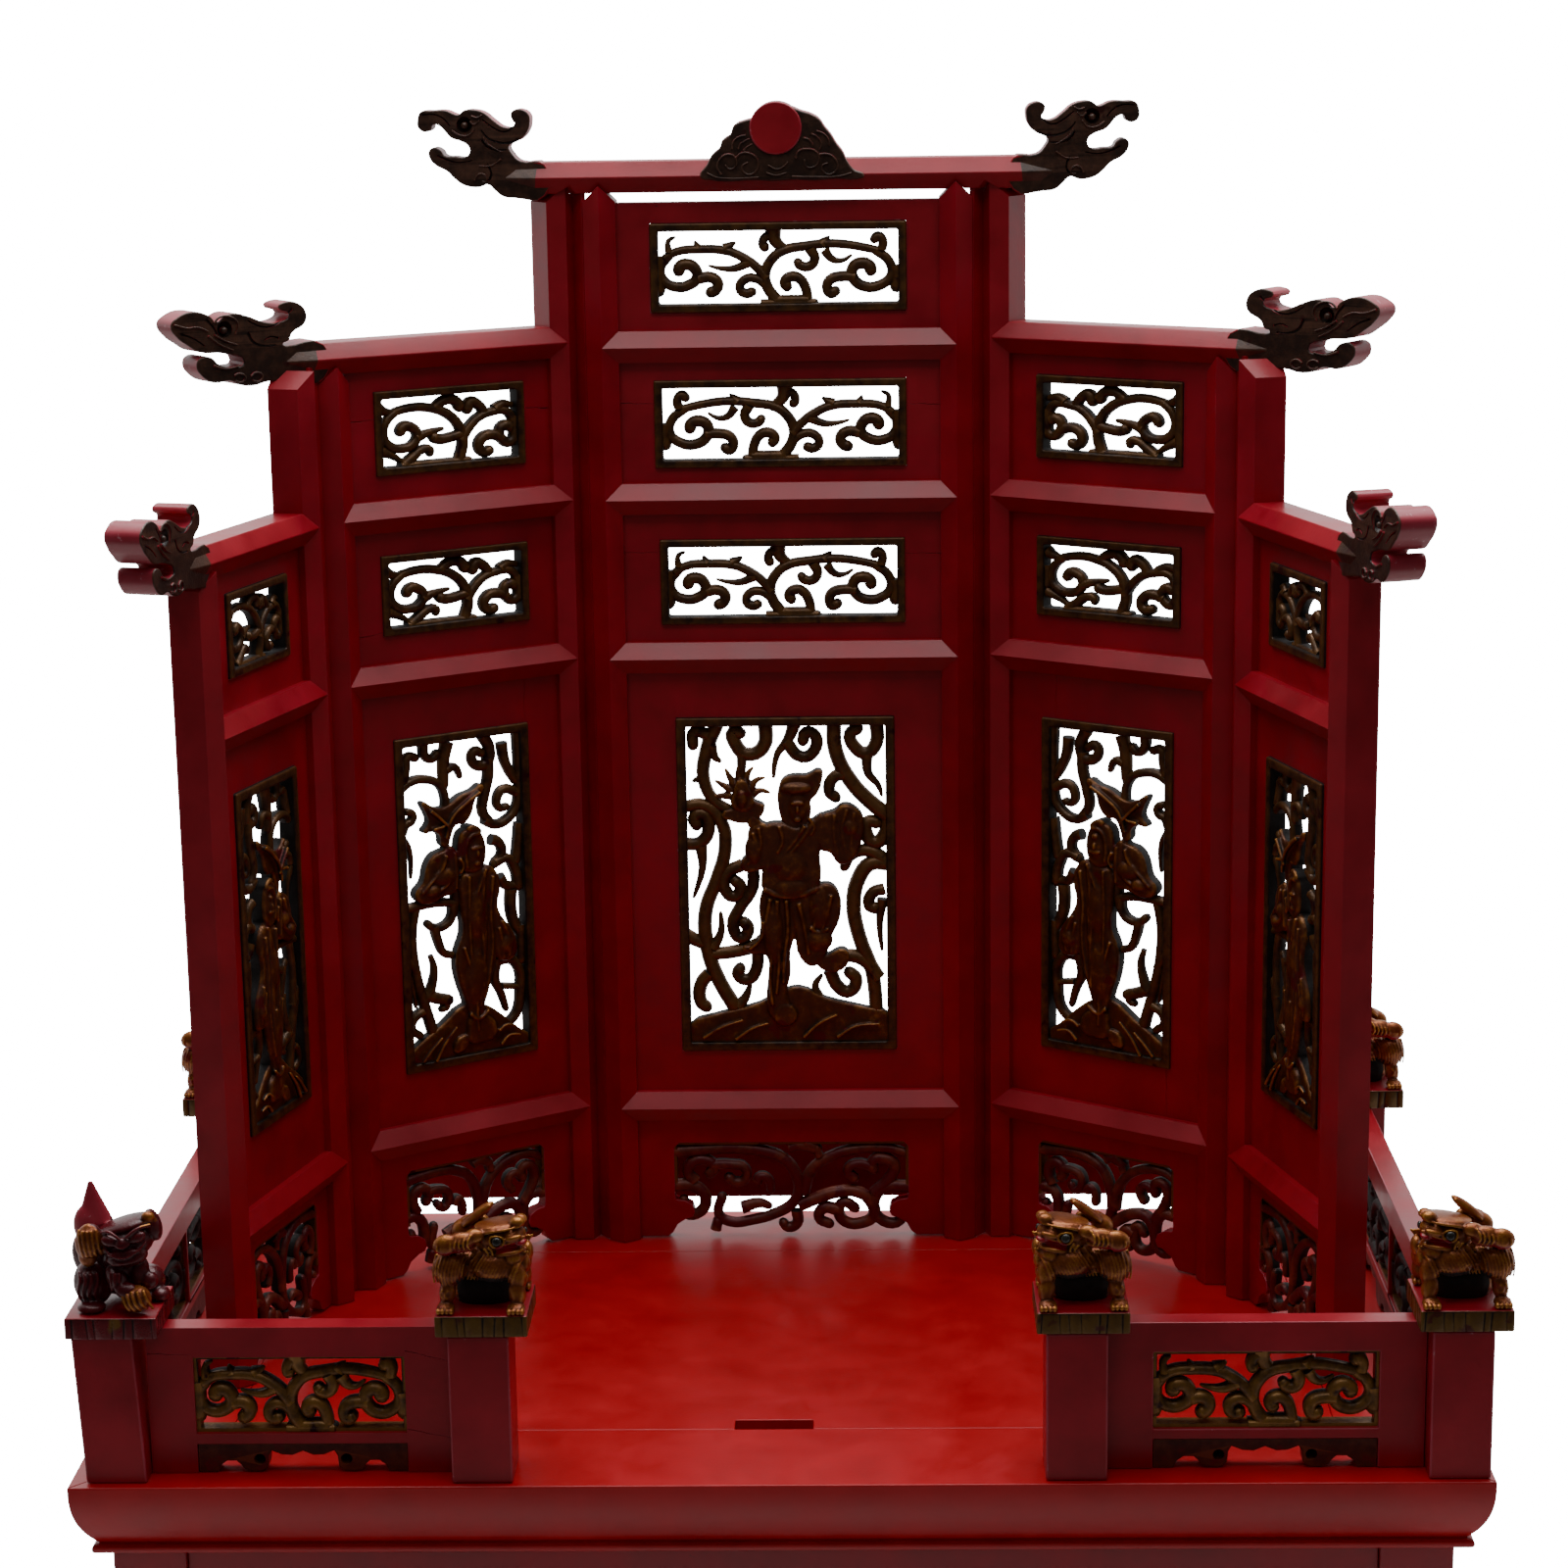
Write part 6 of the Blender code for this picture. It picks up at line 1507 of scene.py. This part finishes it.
def fence(name, half, count, at, turn, weight):
    """A fence board with its pierced windows, their scrollwork and the skirt below."""
    inner = half - 0.0235
    outline = [(-half, JOINT), (-inner, JOINT), (-inner, STRIP), (inner, STRIP), (inner, JOINT),
               (half, JOINT), (half, FENCE_TOP), (-half, FENCE_TOP)]
    wide = inner / count
    areas = []
    for i in range(count):
        x = -inner + wide * (2 * i + 1)
        gap = 0.0015 if count > 1 else 0.0
        areas.append((x - wide + gap * (i > 0), x + wide - gap * (i < count - 1), WINDOW_LOW, WINDOW_HIGH))
    holes = [[(x0, z0), (x0, z1), (x1, z1), (x1, z0)] for x0, x1, z0, z1 in areas]
    board = drawn(name, [outline] + holes, 0, FENCE_DEPTH)
    paint(board, LACQUER, WORN_AND_HIGHLIGHT)
    for sizes in FENCE_CRACKS.get(name, ()):
        split = crack(*(value / 1000 for value in sizes), 0.0004)
        split.location = (0, -BOARD_FRONT, 0)
        cut(board, split)
    soften(board, 0.0007, worn=1)
    pieces = []
    for i, area in enumerate(areas):
        stems = strokes("stems", on_window(area, WIDE_SCROLL, -1 if i % 2 else 1, weight), 0.0100, 0.0064)
        # Fronts in the brighter gilding (painted light), walls painted near black (painted shade).
        two_tone(stems, FENCE_BRONZE_PAINTED_LIT, SAWN_AND_SHADE)
        edge = block_ring("edge", area, shrink(area, 0.0019), 0.0026, FENCE_DEPTH - 0.002)
        paint(edge, FENCE_BRONZE_PAINTED_LIT)
        pieces += [stems, edge]
    lower = skirt(inner - JOINT, count)
    paint(lower, SKIRT_BROWN)
    pieces.append(lower)
    carving = join(pieces, "carving_" + name)
    for piece in (board, carving):
        settle(piece, at, math.radians(turn))
    finish(board, "red_lacquer", name[4:])
    finish(carving, "carved_board", smooth=45)
    return board


for label, low, high in (("left", 0.1653, 0.3197), ("right", 0.1658, 0.3262)):
    made = fence("low_fence_front_" + label, (high - low) / 2, 1,
                 (SIDES[label] * (low + high) / 2, FRONT + 0.018, TOP), 0, 1.75)
    print(made.name, [round(v * 1000) for v in made.dimensions], "mm")
SIDE_FROM, SIDE_TO = 0.0368, 0.3727
for label, side in SIDES.items():
    made = fence("low_fence_side_" + label, (SIDE_TO - SIDE_FROM) / 2, 2,
                 (side * 0.3475, FRONT + (SIDE_FROM + SIDE_TO) / 2, TOP), side * 90, 1.55)
    print(made.name, [round(v * 1000) for v in made.dimensions], "mm")

# %% [markdown]
# Behind the screen a plain board joins the two rear posts.

# %% Rear board
rear = block("rear_fence_board", (-0.3262, FRONT + 0.388, TOP + 0.017),
             (0.3262, FRONT + 0.4005, TOP + 0.062))
paint(rear, LACQUER, WORN_AND_HIGHLIGHT)
soften(rear, 0.0007, worn=1)
finish(rear, "red_lacquer", "fence_rear")
print("rear board", [round(v * 1000) for v in rear.dimensions], "mm")

# %% [markdown]
# Small gilded lions stand on the posts. One is modelled, in millimetres from the top of its plinth:
# body, haunches, legs and head as swollen balls, fur locks, brows, lips and toes as cords laid on
# them. A fine remesh melts all that into one carved skin. The others are copies, mirrored where
# they look the other way.

# %% The standing lion
def lump(x, y, z, rx, ry, rz, tilt=0.0, turn=0.0):
    """A swollen ball, in millimetres; tilt in the side view, turn in plan, in degrees."""
    obj = ball("lump", (0, 0, 0), (rx / 1000, ry / 1000, rz / 1000), 20, 12)
    obj.rotation_euler = (0, math.radians(-tilt), math.radians(turn))
    obj.location = (x / 1000, y / 1000, z / 1000)
    bpy.ops.object.transform_apply(location=True, rotation=True, scale=True)
    return obj


def paw(x, y):
    """A broad paw with four toes."""
    toes = [lump(x, y, 2.4, 4.6, 4.6, 2.8)]
    for i in range(4):
        toes.append(lump(x - 3.3 + 2.2 * i, y - 3.6, 1.9, 1.3, 3.0, 1.9))
    return toes


# The swellings that the fur lies on: place and radii
SWELLS = [(0, 0, 22, 19, 13.5, 8), (13, 0, 23, 9, 14, 9), (-14, 0, 22, 9, 15.5, 9),
          (7, 12, 22, 11, 6, 7.5), (-15.5, 12.5, 21.5, 8.4, 6.6, 9), (18, 13.5, 18, 5, 5, 8),
          (18, 15, 9.5, 4.4, 4.2, 7.5), (-17, 14, 10, 4.2, 4.2, 8)]


def flank(x, z):
    """How far the body swells sideways at a place in the side view, in millimetres."""
    reach = [12]
    for cx, cy, cz, rx, ry, rz in SWELLS:
        inside = 1 - ((x - cx) / rx) ** 2 - ((z - cz) / rz) ** 2
        if inside > 0:
            reach.append(cy + ry * math.sqrt(inside))
    return max(reach)


def locks_on(side, lines):
    """Fur locks on the flank: a width, the first and the last point in x and z, bowed a little."""
    made = []
    for width, (x0, z0), (x1, z1) in lines:
        points = []
        for i in range(6):
            t = i / 5
            x = x0 + (x1 - x0) * t - 1.2 * math.sin(math.pi * t)
            z = z0 + (z1 - z0) * t
            points.append((x, side * (flank(x, z) + 0.15), z))
        made.append((width, width * 0.7, points))
    return cords("locks", made)


body = [lump(0, 0, 22, 19, 13.5, 8), lump(13, -2, 23, 9, 14, 9), lump(-14, 0, 22, 9, 15.5, 9),
        lump(16, -8, 27, 6.5, 9, 6), lump(0, 0, 8, 17, 8.5, 13)]
for side in (-1, 1):
    body += [lump(7, side * 12, 22, 11, 6, 7.5, 10), lump(-15.5, side * 12.5, 21.5, 8.4, 6.6, 9, 20),
             lump(-17, side * 14, 10, 4.2, 4.2, 8, -8), lump(18, side * 13.5, 18, 5, 5, 8, 8),
             lump(18, side * 15, 9.5, 4.4, 4.2, 7.5, 4), lump(21.5, side * 9, 23, 2.8, 4.4, 5)]
    body += paw(-18, side * 16.5) + paw(17.5, side * 17.5)
    lines = [(1.5, (-22.0 + 1.75 * i, 29.2), (-23.8 + 1.6 * i, 14.0 + 0.25 * i)) for i in range(10)]
    lines += [(1.4, (1.7 * i, 30.4), (-9.0 + 1.75 * i, 15.6 - 0.6 * math.sin(0.22 * i)))
              for i in range(15)]
    lines += [(1.2, (-19.0 + 2.6 * i, 12), (-19.6 + 2.6 * i, 7.5)) for i in range(2)]
    body.append(locks_on(side, lines))
body.append(cords("back_locks", [
    (3.4, 1.4, [(x, y, 29.8), (x - 5, y * 1.12, 30.6), (x - 10, y * 1.2, 27.6)])
    for x in (-2, 5) for y in (-9, -4.5, 0, 4.5, 9)]))
head = [lump(9, -6, 36.5, 12.5, 9.5, 6.6, 5), lump(15.5, -8, 37.6, 7.2, 8.2, 5.4, 8),
        lump(6, -4, 33, 10, 10, 6), lump(9.5, -5.2, 42.8, 13.5, 9.6, 2, 7),
        lump(18.6, -10.5, 45.2, 4, 3.8, 2.9), lump(19.5, -3.5, 44.4, 3.4, 3.4, 2.6),
        lump(16.4, -15, 38.4, 4.6, 2.4, 1.5, 14), lump(20.5, -13.4, 35.6, 3, 3, 1.5, 18),
        lump(13.5, -12.6, 30.2, 8.2, 4.2, 1.7, 9), lump(12, -8.5, 30.6, 9, 6.4, 3, 6)]
head.append(cords("face", [
    (1.7, 1.2, [(1.6, -13.6, 40.2), (7, -15.2, 41.6), (13, -15.4, 42.6), (20, -13.6, 43.8)]),
    (1.5, 1.2, [(12, -15.4, 34.8), (15, -16, 36), (19, -15.4, 37.4), (22.2, -12.6, 38.4)]),
    (1.5, 0.8, [(4, -15.2, 33.6), (6.2, -16, 31.2), (6, -15.2, 28.2)]),
    (1.5, 0.8, [(1.8, -14.6, 32.8), (4, -15.4, 30.2), (3.8, -14.8, 27)]),
    (1.3, 1.2, [(5.6, -15.6, 39), (5.2, -16.2, 36.2), (8, -16.8, 33.8), (11.4, -16.6, 35),
                (12, -16.2, 38), (8.8, -16.4, 39.6), (5.6, -15.6, 39)]),
]))
ear = [lump(-3, -13.4, 38.8, 5.5, 3.8, 3.8, 8), lump(-10, -15.2, 36.8, 8, 4, 4.6, 10),
       lump(-17, -16, 35.2, 6.6, 4.4, 5.4, 14), lump(-9.5, -14.4, 32.8, 8, 3.4, 2, 8)]
ear.append(cords("ear_hair", [(1.4, 0.9, [(x, -17, 41.8 + 0.22 * x), (x - 1.6, -20, 37.6 + 0.16 * x),
                                          (x - 0.6, -18.4, 33.6 + 0.1 * x)])
                              for x in (-4, -6.2, -8.4, -10.6, -12.8, -15, -17.2, -19.4)]))
far_ear = [lump(-2, 7, 40, 4.5, 3.4, 3.2, 10), lump(-8, 9, 38.6, 6, 3.4, 3.6, 16)]
tail = [lump(-3, 3, 44.5, 11, 3.4, 2.6, 38), lump(-11, 6, 36, 6, 5.6, 5, 40)]
tail.append(cords("tail_rib", [(1.2, 0.8, [(-10, 0.2, 39), (-4, -0.2, 44), (4, 0.6, 50)])]))
lion = fuse(body + head + ear + far_ear + tail, "lion", 0.0005, 1, 0.32)
print("lion", [round(v * 1000) for v in lion.dimensions], "mm,", len(lion.data.polygons), "faces")

# %% [markdown]
# The lion on the left front post sits, holds a pearl under its paw and has a tall leaf for a tail.
# Its lines lie on the swellings, at places worked out from each swelling's radii.

# %% The seated lion
def on_ball(centre, radii, x, z, lift=0.2):
    """A place on the front of a swelling, seen from the front, in millimetres."""
    inside = 1 - ((x - centre[0]) / radii[0]) ** 2 - ((z - centre[2]) / radii[2]) ** 2
    return x, centre[1] - radii[1] * math.sqrt(max(inside, 0.02)) - lift, z


HAUNCH = (-11.5, -4, 12.4), (10, 10.5, 12)
SHIN = (3, -13, 17), (5, 5.4, 8.5)
EAR = (-11.8, -11, 39.5), (7.2, 5, 9.8)
seated = [lump(-2, 4, 20, 12, 12, 17, 8), lump(4, -4, 23, 10, 9, 10), lump(0, 10, 12, 15, 11, 11),
          lump(*HAUNCH[0], *HAUNCH[1], 8), lump(15, 9, 8.5, 7, 9, 8, 8),
          lump(21, 3, 3.4, 4.6, 6, 3.6), lump(-11, -13, 2.6, 7.4, 6.5, 3), lump(14, 4, 2.6, 7, 6.5, 3),
          lump(13, -8, 18, 5, 4.8, 10, -8), lump(18, -9, 15, 4.6, 4.4, 4.6), lump(*SHIN[0], *SHIN[1], 30),
          lump(8, -17, 12.5, 6, 4.4, 4.4, -10)]
head = [lump(6, -6, 38, 14, 11, 9.4, 10), lump(7, -12, 32, 11, 6.5, 5.4, 10),
        lump(6.5, -17.6, 41, 3.6, 2.9, 2.8), lump(0, -16.2, 41.6, 4.8, 2.8, 3, -12),
        lump(13.5, -16.2, 43.6, 4.8, 2.8, 2.8, 24), lump(6, -4, 46.6, 15, 11, 3.4, 15),
        lump(6.5, -16.2, 35.6, 9, 3, 1.8, 10), lump(7, -15.4, 30.6, 8, 3.6, 2, 10),
        lump(*EAR[0], *EAR[1], -10), lump(-13, -10, 32, 5, 4, 6, -6),
        lump(19.6, -5.5, 46.5, 4.4, 5, 8.6, 14), lump(18, -9, 52, 3.4, 3, 2.6)]
ear_lines = [(1.7, 1.3, [on_ball(*EAR, -16.4 + 2.2 * i + 0.5 * j, 46.5 - 3.4 * j) for j in range(5)])
             for i in range(5)]
head.append(cords("face_lines", ear_lines + [
    (2.2, 1.6, [(-5, -14, 45), (0, -17.6, 46.8), (5, -19, 43.6)]),
    (2.2, 1.6, [(20, -13, 49), (14, -17.2, 48.2), (8.6, -19, 44.4)]),
    (1.6, 1.2, [(-3.6, -14.4, 39), (-1, -17.2, 35.6), (6, -19.4, 33.6), (13.6, -17.8, 36.8),
                (17.4, -14.6, 40.6)]),
    (1.6, 1.2, [(-2, -14.6, 34), (6, -18.6, 30.4), (15, -15.2, 35.4)]),
    (1.4, 1, [(3, -18.6, 40), (6.5, -20.6, 39.2), (10, -18.8, 40.8)])]))
seated += [settle(piece, (0.001, 0, -0.0032)) for piece in head]
haunch_locks = [(1.8, 1.4, [on_ball(*HAUNCH, -17 + 3.0 * i + 0.9 * math.sin(1.6 * j), 20 - 3.6 * j)
                            for j in range(5)]) for i in range(4)]
shin_locks = [(1.7, 1.3, [on_ball(*SHIN, 0.5 + 2.2 * i, 22 - 3.2 * j) for j in range(4)])
              for i in range(3)]
seated.append(cords("seated_locks", haunch_locks + shin_locks))
bpy.ops.object.select_all(action="DESELECT")
bpy.ops.mesh.primitive_cone_add(vertices=24, radius1=0.0095, radius2=0.0012, depth=0.022,
                                location=(-0.0118, 0.006, 0.0515),
                                rotation=(0, math.radians(-4), 0), scale=(1, 0.55, 1))
leaf_tail = alone(bpy.context.object)
bpy.ops.object.transform_apply(location=True, rotation=True, scale=True)
seated += [leaf_tail, lump(-14, 8, 24, 10.5, 6, 14), lump(-12.8, 6, 39, 9.6, 5.2, 12, 4)]
seated_lion = fuse(seated, "seated_lion", 0.00058, 2, 0.42)
PEARL = (12.5, -16.5, 8), (7.8, 6.4, 7)
ribbons = [(1.9, 1.4, [on_ball(*PEARL, 7.6 + 2.8 * i + 1.4 * (j - 1.5), 13.4 - 3.4 * j)
                       for j in range(4)]) for i in range(5)]
pearl = fuse([lump(*PEARL[0], *PEARL[1]), cords("ribbons", ribbons)], "pearl", 0.0005, 1, 0.6)
print("seated lion", [round(v * 1000) for v in seated_lion.dimensions], "mm")

# %% [markdown]
# Under each lion is a square plinth. Its sides are cut with upright flutes and gilded, its top is
# red. Eyes are small dark beads, and the open lips and the under side of the ears are red. Between
# the legs and under the belly the lion is painted near black as painted shade.

# %% Plinths and paint
PLINTH, PLINTH_HEIGHT = 0.0465, 0.0112


def plinth(name, side_finish):
    """A square block with seven upright flutes in each side, its top red."""
    half = PLINTH / 2
    base = block(name, (-half, -half, -PLINTH_HEIGHT), (half, half, 0))
    soften(base, 0.0009)
    cutters = []
    for turn in range(4):
        for i in range(7):
            x = -half + PLINTH * (i + 0.6 + 0.25 * math.sin(2.3 * i + turn)) / 7.2
            lean = math.radians(4 * math.sin(5.1 * i + turn))
            bpy.ops.object.select_all(action="DESELECT")
            bpy.ops.mesh.primitive_cylinder_add(vertices=10, radius=0.0007, depth=0.0108,
                                                location=(x, -half - 0.0003, -0.0062),
                                                rotation=(0, lean, 0))
            bpy.ops.object.transform_apply(location=True, rotation=True, scale=True)
            cutters.append(settle(bpy.context.object, (0, 0, 0), turn * math.pi / 2))
    cut(base, join(cutters, "flutes"))
    paint(base, side_finish, LACQUER)
    for face in base.data.polygons:
        face.material_index = 1 if face.normal.z > 0.7 else 0
    return base


def paint_lion(obj, gilt, red, dark):
    """Gilding, red on the lips and under the ear, and near-black painted shade between the legs and under
    the belly.
    """
    paint(obj, gilt, red, dark)
    for face in obj.data.polygons:
        x, y, z = (v * 1000 for v in face.center)
        rise = 0.24 * (x - 14)
        lips = 31.4 + rise < z < 35.4 + rise and x > 8 and y < -11.5
        under = face.normal.z < -0.45 and y < -9 and 28 < z < 36 and x < 4
        # Painted shade: near black between the legs and on the downward faces of the belly.
        shaded_hollow = z < 15.5 and -13 < x < 13.5 and abs(y) < 13
        shaded_belly = face.normal.z < -0.35 and z < 18 and -12 < x < 13
        face.material_index = 2 if shaded_hollow or shaded_belly else 1 if lips or under else 0


plain = plinth("plinth", PLINTH_GILT)
paint_lion(lion, LION_GILT, LACQUER, SAWN_AND_SHADE)
eyes = [lump(8.6, -16.3, 36.7, 2.5, 1.9, 2.5), lump(21.6, -2.0, 37.6, 1.3, 2.0, 2.0)]
eye = join(eyes, "eye")
paint(eye, EYE)
gilded = join([lion, plain, eye], "lion")
paint(seated_lion, LION_RED, LION_GILT, WORN_AND_HIGHLIGHT)
for face in seated_lion.data.polygons:
    x, y, z = (v * 1000 for v in face.center)
    near_ear = ((x + 11.5) / 8.6) ** 2 + ((z - 34.5) / 11.5) ** 2 < 1 and y < -8
    far_ear = x > 16.5 and y < -8 and z > 46
    tail_leaf = y > 0.5 and x < -3 and z > 30
    face.material_index = 2 if tail_leaf else 1 if near_ear or far_ear else 0
red_plinth = plinth("red_plinth", LION_RED)
paint(pearl, LION_GILT)
seated_whole = join([seated_lion, red_plinth, pearl], "seated_lion")
print("lion with its plinth", len(gilded.data.polygons), "faces, seated", len(seated_whole.data.polygons))

# %% [markdown]
# Each post gets its own copy. Those on the right look inwards, so they are mirrored.

# %% Lions on their posts
# Place across, place behind the front edge, and True where the lion is mirrored
LIONS = {"gate_left": (-0.1475, 0.0255, False), "gate_right": (0.153, 0.0255, True),
         "front_right": (0.34325, 0.0255, True), "rear_left": (-0.34325, 0.38525, False),
         "rear_right": (0.34325, 0.38525, True), "front_left": (-0.3335, 0.0255, False)}
for name, (x, depth, turned) in LIONS.items():
    model, slot = (seated_whole, "dark_red_lacquer") if name == "front_left" else (gilded, "lion_gilding")
    made = (mirrored if turned else copy_of)(model, "lion_on_post_" + name)
    settle(made, (x, FRONT + depth, TOP + 0.0788 + PLINTH_HEIGHT))
    finish(made, slot, "lion_" + name, smooth=60)
    print(made.name, len(made.data.polygons), "faces")
for model in (gilded, seated_whole):
    bpy.data.objects.remove(model)

# %% [markdown]
# The altar was photographed on white with the light above and behind it: tops are bright, fronts
# are deep, and whatever slopes up or away takes a pale sheen from the white surroundings. A large
# soft light hangs over it, a weaker one lifts the fronts, and the surroundings grow brighter from
# the lens towards the back. The pale floor looks white to the lens.

# %% Floor and light
def lamp(name, place, aim, size, power):
    """A rectangular soft light that points at a place."""
    bpy.ops.object.select_all(action="DESELECT")
    bpy.ops.object.light_add(type="AREA", location=place)
    made = bpy.context.object
    made.name = name
    made.data.shape = "RECTANGLE"
    made.data.size, made.data.size_y = size
    made.data.energy = power
    made.rotation_euler = (Vector(aim) - Vector(place)).to_track_quat("-Z", "Y").to_euler()
    return made


lamp("overhead_softbox", (0, 0.36, 1.95), (0, -0.1, 0.2), (1.8, 1.1), 35)
lamp("high_front_panel", (0, -0.62, 1.85), (0, 0.1, 0.75), (1.8, 0.45), 8)
fill = lamp("front_fill", (-0.3, -2.6, 1.6), (0, 0, 0.35), (2.0, 1.6), 6)
fill.visible_glossy = False

bpy.ops.object.select_all(action="DESELECT")
bpy.ops.mesh.primitive_circle_add(vertices=64, radius=6, fill_type="NGON", location=(0, 0, -0.0005))
floor = bpy.context.object
floor.name = "pale_floor"
bpy.ops.object.transform_apply(location=True, rotation=True, scale=True)
WHITE_GLOW = 18.0
material, tree, shader = new_finish("pale_floor", Roughness=0.8)
place = node(tree, "ShaderNodeSeparateXYZ", {"Vector": node(tree, "ShaderNodeTexCoord").outputs["Object"]})
near = node(tree, "ShaderNodeMapRange", {"Value": place.outputs["Y"], "From Min": -0.46, "From Max": -0.28})
shade = node(tree, "ShaderNodeMix", {"Factor": near.outputs["Result"], "A": linear("#545050"),
                                     "B": linear("#d4d2d0")}, data_type="RGBA")
tree.links.new(shade.outputs["Result"], shader.inputs["Base Color"])
seen = node(tree, "ShaderNodeLightPath").outputs["Is Camera Ray"]
glow = node(tree, "ShaderNodeEmission", {"Strength": WHITE_GLOW})
blend = node(tree, "ShaderNodeMixShader", {"Fac": seen, 1: shader.outputs["BSDF"],
                                           2: glow.outputs["Emission"]})
tree.links.new(blend.outputs["Shader"], tree.nodes["Material Output"].inputs["Surface"])
floor.data.materials.append(material)

world = bpy.data.worlds.new("studio")
bpy.context.scene.world = world
world.use_nodes = True
tree = world.node_tree
seen = node(tree, "ShaderNodeLightPath").outputs["Is Camera Ray"]
way = node(tree, "ShaderNodeSeparateXYZ", {"Vector": node(tree, "ShaderNodeTexCoord").outputs["Generated"]})
behind = node(tree, "ShaderNodeMapRange", {"Value": way.outputs["Y"], "From Min": -0.2, "From Max": 0.7,
                                           "To Min": 0.03, "To Max": 1.3})
strength = node(tree, "ShaderNodeMix", {"Factor": seen, "A": behind.outputs["Result"], "B": WHITE_GLOW},
                data_type="FLOAT")
tree.links.new(strength.outputs["Result"], tree.nodes["Background"].inputs["Strength"])
tree.nodes["Background"].inputs["Color"].default_value = (1, 1, 1, 1)
print("stage ready")
